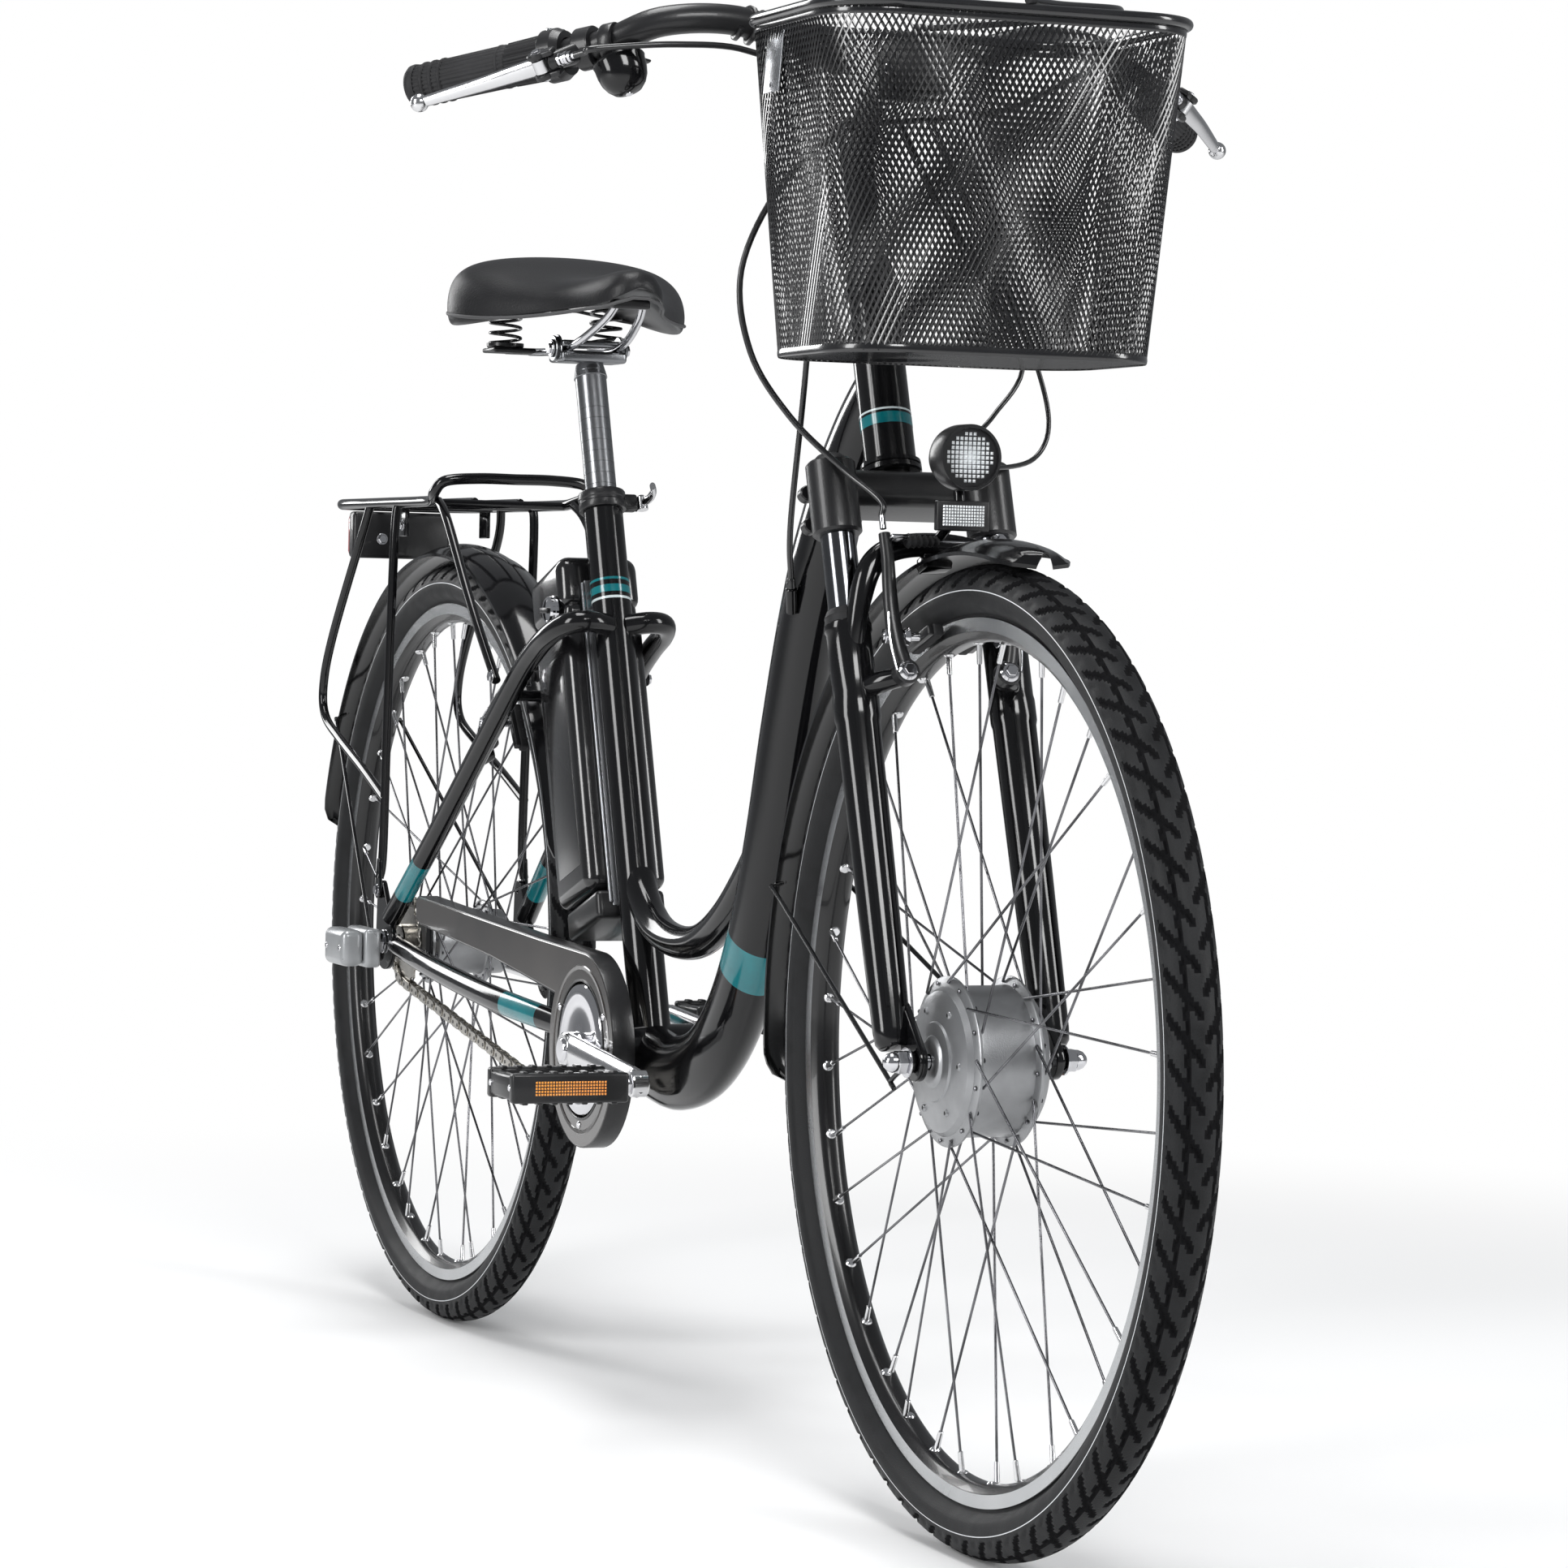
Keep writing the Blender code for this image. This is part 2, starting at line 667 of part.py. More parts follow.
def crank(side, angle):
    """A crank arm with its boss and the pedal's axle. The right one has the ring and its cover."""
    middle = CRANK_INNER - CRANK_THICKNESS / 2 + 2 * MM
    tip = BB + Vector((cos(angle), 0, sin(angle))) * CRANK_LENGTH
    outline = link_outline((BB.x, BB.z), (tip.x, tip.z), 17 * MM, 13 * MM)
    arm = plate(outline, CRANK_THICKNESS, side_place(side * middle))
    inner_end = side * (SPINDLE_END + GAP)
    boss = rod(BB + LEFT * inner_end, BB + LEFT * side * (middle + 8 * MM), 15 * MM, 14)
    axle = rod(tip + LEFT * side * middle, tip + LEFT * side * PEDAL_OUTER, PEDAL_AXLE_RADIUS, 12)
    arm = join(arm, boss, axle, solver="MANIFOLD")
    if side < 0:
        cover_inner = BB - LEFT * (SPINDLE_END + 4 * MM)
        cover_outer = cover_inner - LEFT * COVER_THICKNESS
        disc = rod(cover_inner, cover_outer, COVER_RADIUS, 20, COVER_RADIUS - 8 * MM)
        chainring = turned(chainring_profile, wheel_frame(BB), 20, ring=True)
        arm = join(arm, disc, chainring, solver="MANIFOLD")
    return arm, tip


def pedal(name, side, tip, carrier):
    """A block pedal with two treads and an open cage round its axle tube."""
    middle = side * (PEDAL_INNER + PEDAL_LENGTH / 2)
    body = block((PEDAL_DEPTH, PEDAL_LENGTH, PEDAL_HEIGHT), at(tip.x, middle, tip.z), 3 * MM, 1)
    window = (PEDAL_DEPTH / 2 - 20 * MM, PEDAL_LENGTH - 26 * MM, PEDAL_HEIGHT * 2)
    for ahead in (-1, 1):
        offset = ahead * (PEDAL_DEPTH / 4 + 0.5 * MM)
        body = cut(body, block(window, at(tip.x + offset, middle, tip.z)))
    bore_start = tip + LEFT * side * (PEDAL_INNER - 5 * MM)
    bore_end = tip + LEFT * side * (PEDAL_OUTER + GAP)
    body = cut(body, rod(bore_start, bore_end, PEDAL_AXLE_RADIUS + GAP, 12))
    return finish(body, name, BLACK_PLASTIC, carrier)


right_arm, right_tip = crank(-1, CRANK_ANGLE)
left_arm, left_tip = crank(1, CRANK_ANGLE + pi)
right_pedal_axis = pivot("right_pedal_axis", right_tip, crank_axis)
left_pedal_axis = pivot("left_pedal_axis", left_tip, crank_axis)
finish(right_arm, "right_crank", SILVER, crank_axis)
finish(left_arm, "left_crank", SILVER, crank_axis)
pedal("right_pedal", -1, right_tip, right_pedal_axis)
pedal("left_pedal", 1, left_tip, left_pedal_axis)


def case_outline(inset):
    """The chain case in side view: a disc with a tapering arm over the upper run."""
    radius = CASE_RADIUS - inset
    points = []
    for step in range(13):
        turn = radians(84 - 296 * step / 12)
        points.append((BB.x + cos(turn) * radius, BB.z + sin(turn) * radius))
    points += [
        (0.300, 0.362 + inset), (CASE_TAIL + inset, 0.377 + inset),
        (CASE_TAIL + inset, 0.4025 - inset), (0.300, 0.393 - inset), (0.430, 0.3875 - inset),
    ]
    return points


case_depth = CASE_OUTER - CASE_INNER
case_body = plate(case_outline(0), case_depth, side_place(-(CASE_OUTER + CASE_INNER) / 2))
hollow_middle = -(CASE_OUTER - CASE_WALL + CASE_INNER - CASE_DEEP) / 2
hollow_depth = CASE_OUTER - CASE_WALL - CASE_INNER + CASE_DEEP
hollow = plate(case_outline(CASE_WALL), hollow_depth, side_place(hollow_middle))
opening = rod(BB - LEFT * CASE_INNER, BB - LEFT * (CASE_OUTER + CASE_WALL), CASE_OPENING, 24)
chain_path = plate(belt_outline(CHAIN_HEIGHT / 2 + MM), CHAIN_WIDTH + MM, side_place(-CHAIN_LINE))
finish(cut(case_body, hollow, opening, chain_path), "chain_case", GREY_PLASTIC)

# Main frame


def down_tube_swell(share):
    """The down tube is slimmer at the head and full by a quarter of its length."""
    return 0.66 + 0.34 * min(1.0, share / 0.25)


DOWN_TUBE_PATH = [
    (1.016, 0, 0.850), (0.972, 0, 0.812), (0.924, 0, 0.752), (0.880, 0, 0.670), (0.845, 0, 0.580),
    (0.815, 0, 0.490), (0.782, 0, 0.412), (0.737, 0, 0.348), (0.680, 0, 0.306), (0.612, 0, 0.288),
    (0.550, 0, 0.292),
]
BRACE_PATH = [
    seat_point(0.168), (0.513, 0, 0.428), (0.552, 0, 0.404), (0.605, 0, 0.396), (0.660, 0, 0.402),
    (0.712, 0, 0.424), (0.758, 0, 0.456), (0.800, 0, 0.492),
]
CHAIN_STAY_PATH = [
    (0.018, -0.0625, 0.352), (0.150, -0.0605, 0.337), (0.300, -0.0540, 0.323),
    (0.430, -0.0345, 0.311), (0.530, -0.0240, 0.303),
]
SEAT_STAY_PATH = [
    (0.012, -0.0660, 0.378), (0.120, -0.0605, 0.457), (0.240, -0.0560, 0.545),
    (0.330, -0.0535, 0.609), (0.374, -0.0525, 0.634), (0.408, -0.0510, 0.648),
    (0.432, -0.0430, 0.657), (0.440, -0.0270, 0.659), (0.434, -0.0080, 0.656),
]
STAY_UP = Vector((0.806, 0, 0.592)).normalized()
STAY_OUT = Vector((-STAY_UP.z, 0, STAY_UP.x))
STAY_BOSS = Vector((0.2203, 0, 0.5306))
BRIDGE_PLACE = Vector((0.306, 0, 0.592))
BRIDGE_RADIUS = 5 * MM
DROPOUT_MIDDLE = DROPOUT_SPACING / 2 + DROPOUT_THICKNESS / 2
DROPOUT_FACE = DROPOUT_SPACING / 2 + DROPOUT_THICKNESS
CABLE_PORT = Vector((0.906, -0.0270, 0.690))
PORT_WAY = Vector((0.44, -0.22, 0.87)).normalized()
PORT_RADIUS = 4.5 * MM
CASE_EDGE_TAB = Vector((0.4650, 0, 0.3080))
CASE_TAIL_TAB = Vector((0.1000, -0.0570, 0.3749))
RACK_EYE = AXLE_REAR + Vector((-0.014, 0, 0.0472))
RACK_EYE_TAIL = RACK_EYE + Vector((0.0007, 0, 0.026))
FENDER_EYE = AXLE_REAR + Vector((-0.018, 0, -0.0118))

STAND_PIVOT = Vector((0.070, 0.084, 0.322))
STAND_OPEN = Vector((-0.05, 0.36, -0.93)).normalized()
STAND_FOLDED = Vector((-1, 0, 0.02)).normalized()
STAND_OUT = STAND_OPEN.cross(STAND_FOLDED).normalized()
STAND_LENGTH = 0.332
STAND_KNUCKLE = 17 * MM


def swap_side(source):
    """The piece moved to the bike's other side."""
    source.data.transform(Matrix.Scale(-1, 4, LEFT))
    source.data.flip_normals()
    return source


def rear_boss(side, out):
    """A point on the axis of a rear brake arm's pin, a distance out from its stay."""
    return STAY_BOSS + STAY_OUT * out + LEFT * side * BRAKE_BOSS_SPACING / 2


def rear_side():
    """The frame's right side behind the seat tube: stays, dropout and brake pin."""
    chain_stay = tube(rounded_path(CHAIN_STAY_PATH, 1), CHAIN_STAY_RADIUS, 1)
    seat_stay = tube(rounded_path(SEAT_STAY_PATH, 1), SEAT_STAY_RADIUS, 1)
    eye = link_outline((AXLE_REAR.x, AXLE_REAR.z), (RACK_EYE.x, RACK_EYE.z), 26 * MM, 9 * MM)
    dropout = plate(eye, DROPOUT_THICKNESS, side_place(-DROPOUT_MIDDLE))
    foot = rod(STAY_BOSS - LEFT * 0.0565, rear_boss(-1, 0.010), BOSS_RADIUS, 10)
    pin = rod(rear_boss(-1, 0.008), rear_boss(-1, 0.030), BRAKE_PIN_RADIUS, 10)
    return [chain_stay, seat_stay, dropout, foot, pin]


def stand_bracket():
    """The arm and pin that carry the side stand under the left chain stay."""
    inner = STAND_PIVOT - STAND_OUT * (STAND_KNUCKLE / 2 + GAP)
    arm = rod((0.078, 0.0610, 0.343), inner - STAND_OUT * 8 * MM, 7 * MM, 10)
    boss = rod(inner - STAND_OUT * 14 * MM, inner, 9 * MM, 16)
    pin = rod(inner - STAND_OUT * 4 * MM, STAND_PIVOT + STAND_OUT * 8 * MM, 4 * MM, 10)
    return join(arm, boss, pin)


def frame_fittings():
    """The chain case's two tabs, the fender's bridge, the stand's bracket and the cable's port."""
    edge_size = (8 * MM, CASE_INNER - GAP - 30 * MM, 10 * MM)
    edge_middle = -(CASE_INNER - GAP + 30 * MM) / 2
    edge_tab = block(edge_size, at(CASE_EDGE_TAB.x, edge_middle, CASE_EDGE_TAB.z))
    tail_tab = rod(CASE_TAIL_TAB - Vector((0, 0, 0.030)), CASE_TAIL_TAB, 3.5 * MM, 8)
    bridge = rod(BRIDGE_PLACE - LEFT * 0.052, BRIDGE_PLACE + LEFT * 0.052, BRIDGE_RADIUS, 10)
    port = rod(CABLE_PORT - PORT_WAY * 0.022, CABLE_PORT, PORT_RADIUS, 10)
    return [edge_tab, tail_tab, bridge, port, stand_bracket()]


def main_frame():
    """The welded frame: head tube, down tube, brace, seat tube, shell, stays and dropouts."""
    end = HEAD_TUBE_LENGTH
    head = rod(steer_point(MM), steer_point(end - MM), HEAD_TUBE_RADIUS, 14)
    lower_cup = rod(steer_point(0), steer_point(CUP_HEIGHT), CUP_RADIUS, 14)
    upper_cup = rod(steer_point(end - CUP_HEIGHT), steer_point(end), CUP_RADIUS, 14)
    path = rounded_path(DOWN_TUBE_PATH, 2)
    down = tube(path, 0, section=oval(DOWN_TUBE_WIDTH, DOWN_TUBE_DEPTH), swell=down_tube_swell)
    half = BB_SHELL_WIDTH / 2
    shell = rod(BB - LEFT * half, BB + LEFT * half, BB_SHELL_RADIUS, 14)
    seat_tube = rod(BB, seat_point(SEAT_TUBE_LENGTH), SEAT_TUBE_RADIUS, 14)
    brace = tube(rounded_path(BRACE_PATH, 1), BRACE_RADIUS, 1)
    made = join(down, head, lower_cup, upper_cup, shell, seat_tube, brace)
    made = join(made, *rear_side())
    made = join(made, *[swap_side(piece) for piece in rear_side()])
    made = join(made, *frame_fittings())
    bore_bottom = seat_point(SEAT_TUBE_LENGTH - SEAT_BORE_DEPTH)
    seat_bore = rod(bore_bottom, seat_point(SEAT_TUBE_LENGTH + 0.02), SEAT_POST_RADIUS + GAP, 14)
    head_bore = rod(steer_point(-0.02), steer_point(end + 0.02), STEERER_RADIUS + GAP * 2, 14)
    shell_bore = rod(BB - LEFT * 0.05, BB + LEFT * 0.05, SPINDLE_RADIUS + GAP * 2, 12)
    axle_bore = rod(AXLE_REAR - LEFT * 0.09, AXLE_REAR + LEFT * 0.09, AXLE_RADIUS + GAP, 12)
    made = cut(made, seat_bore, head_bore, shell_bore, axle_bore)
    return finish(made, "main_frame", BLACK_PAINT)


main_frame()

# Rear axle and the hub gear's shift box
axle_half = DROPOUT_FACE + GAP + NUT_LENGTH
axle = rod(AXLE_REAR - LEFT * axle_half, AXLE_REAR + LEFT * axle_half, AXLE_RADIUS, 12)
for side in (-1, 1):
    nut_inner = AXLE_REAR + LEFT * side * (DROPOUT_FACE + GAP)
    nut_outer = AXLE_REAR + LEFT * side * (axle_half + MM)
    axle = join(axle, rod(nut_inner, nut_outer, NUT_RADIUS, 6))
finish(axle, "rear_axle", STEEL)

SHIFT_BOX_SIZE = (0.062, 0.038, 0.036)
box_middle = -(axle_half + MM + GAP + SHIFT_BOX_SIZE[1] / 2)
shift_box = block(SHIFT_BOX_SIZE, at(-0.003, box_middle, 0.350), 6 * MM, 1)
finish(shift_box, "shift_box", BLACK_PLASTIC)

# Battery, its dock and its lock
BATTERY_FRONT = -21 * MM
BATTERY_REAR = BATTERY_FRONT - BATTERY_DEPTH
LOCK_RADIUS = 13 * MM
LOCK_HEIGHT = 7 * MM
battery_slide = pivot("battery_slide", seat_point(BATTERY_BOTTOM, (BATTERY_FRONT + BATTERY_REAR) / 2))
battery_place = SEAT_FRAME @ at(
    (BATTERY_FRONT + BATTERY_REAR) / 2, 0, BATTERY_BOTTOM + BATTERY_LENGTH / 2,
)
battery = block((BATTERY_DEPTH, BATTERY_WIDTH, BATTERY_LENGTH), battery_place, 12 * MM, 2)
finish(battery, "battery", BLACK_PLASTIC, battery_slide)

DOCK_RAIL = 3 * MM
DOCK_BASE_TOP = BATTERY_BOTTOM - GAP
DOCK_BASE_HEIGHT = 26 * MM
rail_front = -SEAT_TUBE_RADIUS - GAP
rail_place = SEAT_FRAME @ at(
    rail_front - DOCK_RAIL / 2, 0, DOCK_BASE_TOP + BATTERY_LENGTH / 2 - 20 * MM,
)
rail = block((DOCK_RAIL, 30 * MM, BATTERY_LENGTH - 10 * MM), rail_place)
base_depth = BATTERY_DEPTH - 4 * MM
base_place = SEAT_FRAME @ at(
    rail_front - base_depth / 2, 0, DOCK_BASE_TOP - DOCK_BASE_HEIGHT / 2,
)
dock_base = block((base_depth, BATTERY_WIDTH - 12 * MM, DOCK_BASE_HEIGHT), base_place, 5 * MM, 1)
finish(join(dock_base, rail), "battery_dock", BLACK_PLASTIC)

lock_face = -BATTERY_WIDTH / 2 - GAP
lock_place = seat_point(BATTERY_BOTTOM + 0.256, BATTERY_FRONT - 22 * MM, lock_face)
lock_axis = pivot("lock_axis", lock_place, battery_slide)
lock = rod(lock_place, lock_place - LEFT * LOCK_HEIGHT, LOCK_RADIUS, 14, LOCK_RADIUS - 2 * MM)
grip_size = (20 * MM, 4 * MM, 5 * MM)
lock_grip = block(grip_size, Matrix.Translation(lock_place - LEFT * (LOCK_HEIGHT + MM)))
finish(join(lock, lock_grip), "battery_lock", SILVER, lock_axis)

# Seat collar, post and saddle
COLLAR_UP = 0.478
COLLAR_HEIGHT = 16 * MM
COLLAR_RADIUS = 20.3 * MM
collar_top = COLLAR_UP + COLLAR_HEIGHT
collar = rod(seat_point(COLLAR_UP), seat_point(collar_top), COLLAR_RADIUS, 14)
ear_place = SEAT_FRAME @ at(0, COLLAR_RADIUS + 4 * MM, COLLAR_UP + COLLAR_HEIGHT / 2)
ear = block((12 * MM, 14 * MM, COLLAR_HEIGHT - 2 * MM), ear_place)
collar_bore = rod(seat_point(COLLAR_UP - 0.01), seat_point(collar_top + 0.01),
                  SEAT_TUBE_RADIUS + GAP, 14)
finish(cut(join(collar, ear), collar_bore), "seat_collar", BLACK_PAINT)

lever_left = COLLAR_RADIUS + 11 * MM + GAP + 5 * MM
lever_place = seat_point(COLLAR_UP + COLLAR_HEIGHT / 2, 0, lever_left)
seat_lever_axis = pivot("seat_lever_axis", lever_place)
cam = rod(lever_place - SEAT_UP * 6 * MM, lever_place + SEAT_UP * 6 * MM, 5 * MM, 12)
lever_path = [
    lever_place,
    lever_place + SEAT_FORE * 14 * MM + LEFT * 2 * MM,
    lever_place + SEAT_FORE * 30 * MM,
    lever_place + SEAT_FORE * 44 * MM - LEFT * 6 * MM,
]
lever = tube(rounded_path(lever_path, 2), 3.5 * MM, 1)
finish(join(cam, lever), "seat_lever", SILVER, seat_lever_axis)

RAIL_RADIUS = 3.5 * MM
RAIL_SPREAD = 22 * MM
NOSE_SPREAD = 12 * MM
SADDLE_RAIL = [
    (0.2520, RAIL_SPREAD, 0.8960), (0.2900, RAIL_SPREAD, 0.8945), (0.3400, RAIL_SPREAD, 0.8945),
    (0.3850, 0.0205, 0.9020), (0.4300, 0.0150, 0.9180), (0.4480, NOSE_SPREAD, 0.9300),
]
POST_TOP_UP = (POST_TOP_HEIGHT - BB_HEIGHT) / sin(SEAT_ANGLE)
POST_BOTTOM_UP = 0.200
post_slide = pivot("seat_post_slide", seat_point(SEAT_TUBE_LENGTH))


def saddle_rail(side, radius):
    """One of the two wires under the saddle."""
    points = [(x, side * y, z) for x, y, z in SADDLE_RAIL]
    return tube(rounded_path(points, 1), radius, 1)


post = rod(seat_point(POST_BOTTOM_UP), seat_point(POST_TOP_UP), SEAT_POST_RADIUS, 14)
post_top = seat_point(POST_TOP_UP)
clamp = block((0.040, 0.060, 0.020), at(post_top.x - 4 * MM, 0, 0.893), 4 * MM, 1)
clamp_bolt = rod((post_top.x - 4 * MM, -0.036, 0.8955), (post_top.x - 4 * MM, 0.036, 0.8955), 8 * MM, 16)
post = join(post, clamp, clamp_bolt)
rail_cutters = [saddle_rail(side, RAIL_RADIUS + GAP) for side in (-1, 1)]
finish(cut(post, *rail_cutters), "seat_post", SILVER, post_slide)

SPRING_PLACE = Vector((0.254, 0.047, 0))
SPRING_FOOT = 0.8985
plate_place = at(SPRING_PLACE.x, 0, SPRING_FOOT - 2.4 * MM)
saddle_plate = block((34 * MM, 2 * SPRING_PLACE.y + 32 * MM, 5 * MM), plate_place, 2 * MM, 1)
saddle_frame = join(saddle_rail(-1, RAIL_RADIUS), saddle_plate, saddle_rail(1, RAIL_RADIUS))
nose_place = at(SADDLE_RAIL[-1][0], 0, SADDLE_RAIL[-1][2])
nose_bar = block((10 * MM, 2 * NOSE_SPREAD + 10 * MM, 8 * MM), nose_place, 2 * MM, 1)
finish(join(saddle_frame, nose_bar), "saddle_frame", STEEL, post_slide)


def coil_spring(name, side):
    """A saddle spring: a rising coil whose first and last turns lie flat and close."""
    centre = Vector((SPRING_PLACE.x, side * SPRING_PLACE.y, SPRING_FOOT + GAP))
    steps = 8
    rise = SPRING_HEIGHT - SPRING_WIRE
    count = SPRING_TURNS * steps
    points = []
    for step in range(count + 1):
        turn = 2 * pi * step / steps
        height = SPRING_WIRE / 2 + rise * step / count
        offset = Vector((cos(turn) * SPRING_RADIUS, side * sin(turn) * SPRING_RADIUS, height))
        points.append(centre + offset)
    gap = rise / SPRING_TURNS - SPRING_WIRE
    print(name, "least gap between turns, mm:", round(gap / MM, 2))
    wire = tube(points, SPRING_WIRE / 2, 1)
    finish(wire, name, DARK_METAL, post_slide)


coil_spring("right_saddle_spring", -1)
coil_spring("left_saddle_spring", 1)

SADDLE_SECTIONS = [
    (0.000, 0.088, 0.9790, 0.9150), (0.050, 0.121, 0.9850, 0.8930), (0.118, 0.090, 0.9570, 0.9080),
    (0.182, 0.038, 0.9560, 0.9220), (0.256, 0.027, 0.9660, 0.9220),
]
SADDLE_UNDER = 0.9385


def saddle():
    """The cushion: broad wings that fall at the sides, a dip, and a narrow nose."""
    shape = bmesh.new()
    rings = []
    for ahead, half, top, edge in SADDLE_SECTIONS:
        under = max(SADDLE_UNDER, edge)
        right_half = [
            (0.0, top), (half * 0.62, top - 4 * MM), (half, top - 20 * MM), (half * 0.97, edge),
            (half * 0.74, under), (0.0, under + 2 * MM),
        ]
        ring = right_half + [(-across, height) for across, height in right_half[-2:0:-1]]
        x = SADDLE_REAR + ahead
        rings.append([shape.verts.new((x, across, height)) for across, height in ring])
    for first, second in zip(rings, rings[1:]):
        for index in range(len(first)):
            following = (index + 1) % len(first)
            shape.faces.new((first[index], first[following], second[following], second[index]))
    shape.faces.new(rings[0][::-1])
    shape.faces.new(rings[-1])
    bmesh.ops.recalc_face_normals(shape, faces=shape.faces)
    cage = from_bmesh("saddle_cage", shape)
    rounding = cage.modifiers.new("rounding", "SUBSURF")
    rounding.levels = 2
    rounding.render_levels = 2
    return finish(frozen(cage), "saddle", LEATHERETTE, post_slide)


saddle()

# Fork
CROWN_BOTTOM = -CROWN_HEIGHT + 4 * MM
CLAMP_BOTTOM = -60 * MM
STANCHION_BOTTOM = -0.270
LEG_BOTTOM = -0.445
STEERER_TOP = HEAD_TUBE_LENGTH + 15 * MM
QUILL_RADIUS = 11.1 * MM
QUILL_BOTTOM = 45 * MM
ARCH_FORE = 58 * MM
ARCH_UP = -76 * MM
ARCH_RADIUS = 8 * MM
FORK_BRAKE_UP = -0.180
FORK_BRAKE_FORE = 75 * MM
HALF_SPACING = FORK_SPACING / 2
FORK_END_INNER = 50 * MM
FORK_END_OUTER = 56 * MM


def fork_crown():
    """Steerer, crown, clamps, stanchions and the nut over the headset, as one body."""
    made = rod(steer_point(CROWN_BOTTOM), steer_point(STEERER_TOP), STEERER_RADIUS, 14)
    crown_place = STEER_FRAME @ at(7 * MM, 0, -5 * MM - (CROWN_HEIGHT - 6 * MM) / 2)
    crown_size = (CROWN_DEPTH, FORK_SPACING, CROWN_HEIGHT - 6 * MM)
    nut = rod(steer_point(HEAD_TUBE_LENGTH + GAP), steer_point(STEERER_TOP - MM), 19 * MM, 8)
    made = join(made, block(crown_size, crown_place, 7 * MM, 1), nut)
    for side in (-1, 1):
        left = side * HALF_SPACING
        clamp_top = steer_point(-4 * MM, STANCHION_OFFSET, left)
        clamp_end = steer_point(CLAMP_BOTTOM, STANCHION_OFFSET, left)
        stanchion_end = steer_point(STANCHION_BOTTOM, STANCHION_OFFSET, left)
        made = join(made, rod(clamp_top, clamp_end, 18.5 * MM, 12))
        made = join(made, rod(clamp_top - STEER_UP * 8 * MM, stanchion_end, STANCHION_RADIUS, 12))
    bore_foot = steer_point(QUILL_BOTTOM - 5 * MM)
    bore = rod(bore_foot, steer_point(STEERER_TOP + 0.01), QUILL_RADIUS + 2 * GAP, 16)
    return finish(cut(made, bore), "fork_crown", BLACK_PAINT, steering)


def fork_side():
    """The right leg of the lowers with its end plate and brake pin."""
    top = steer_point(-LEG_TOP_DROP, STANCHION_OFFSET, -HALF_SPACING)
    shoulder = steer_point(-0.200, STANCHION_OFFSET, -HALF_SPACING)
    bottom = steer_point(LEG_BOTTOM, STANCHION_OFFSET, -HALF_SPACING)
    upper = rod(top, shoulder, LEG_RADIUS, 12)
    lower = rod(shoulder + STEER_UP * MM, bottom, LEG_RADIUS - 0.2 * MM, 12, 13.5 * MM)
    leg_end = steer_point(LEG_BOTTOM + 20 * MM, STANCHION_OFFSET + 2 * MM)
    outline = link_outline((AXLE_FRONT.x, AXLE_FRONT.z), (leg_end.x, leg_end.z), 14 * MM, 11 * MM)
    end_middle = -(FORK_END_INNER + FORK_END_OUTER) / 2
    end_plate = plate(outline, FORK_END_OUTER - FORK_END_INNER, side_place(end_middle))
    pin_left = -BRAKE_BOSS_SPACING / 2
    foot_start = steer_point(FORK_BRAKE_UP, STANCHION_OFFSET + 4 * MM, -HALF_SPACING + 4 * MM)
    foot_end = steer_point(FORK_BRAKE_UP, FORK_BRAKE_FORE - 11 * MM, pin_left)
    foot = rod(foot_start, foot_end, BOSS_RADIUS, 10)
    pin_start = steer_point(FORK_BRAKE_UP, FORK_BRAKE_FORE - 14 * MM, pin_left)
    pin_end = steer_point(FORK_BRAKE_UP, FORK_BRAKE_FORE + 7 * MM, pin_left)
    pin = rod(pin_start, pin_end, BRAKE_PIN_RADIUS, 10)
    return [join(upper, lower, end_plate), foot, pin]


LIGHT_PLACE = Vector((1.163, 0, 0.786))
LIGHT_RADIUS = 24 * MM
LIGHT_LENGTH = 46 * MM


def fork_lowers():
    """Both legs, the arch that joins them in front of the crown, and the light's bracket."""
    half_arch = [
        steer_point(-0.150, STANCHION_OFFSET + 8 * MM, -HALF_SPACING),
        steer_point(-0.112, ARCH_FORE - 4 * MM, -HALF_SPACING + 3 * MM),
        steer_point(ARCH_UP - 7 * MM, ARCH_FORE, -42 * MM),
        steer_point(ARCH_UP, ARCH_FORE, -18 * MM),
    ]
    other_half = [Vector((point.x, -point.y, point.z)) for point in half_arch[::-1]]
    arch = tube(rounded_path(half_arch + other_half, 1), ARCH_RADIUS, 1)
    right = fork_side()
    left = [swap_side(piece) for piece in fork_side()]
    made = join(right[0], arch, left[0], right[1], right[2], left[1], left[2])
    bracket_path = [
        steer_point(ARCH_UP, ARCH_FORE),
        steer_point(ARCH_UP + 2 * MM, ARCH_FORE + 22 * MM),
        Vector((LIGHT_PLACE.x, 0, LIGHT_PLACE.z - LIGHT_RADIUS - 10 * MM)),
        Vector((LIGHT_PLACE.x, 0, LIGHT_PLACE.z - LIGHT_RADIUS - 5 * MM)),
        Vector((LIGHT_PLACE.x, 0, LIGHT_PLACE.z - LIGHT_RADIUS - GAP)),
    ]
    made = join(made, tube(rounded_path(bracket_path, 1), 4 * MM, 1))
    for side in (-1, 1):
        bottom = steer_point(STANCHION_BOTTOM - 0.050, STANCHION_OFFSET, side * HALF_SPACING)
        above = steer_point(-LEG_TOP_DROP + 0.010, STANCHION_OFFSET, side * HALF_SPACING)
        made = cut(made, rod(bottom, above, STANCHION_RADIUS + GAP, 12))
    bore = rod(AXLE_FRONT - LEFT * 0.09, AXLE_FRONT + LEFT * 0.09, AXLE_RADIUS + GAP, 12)
    return finish(cut(made, bore), "fork_lowers", BLACK_PAINT, fork_slide)


fork_crown()
fork_lowers()

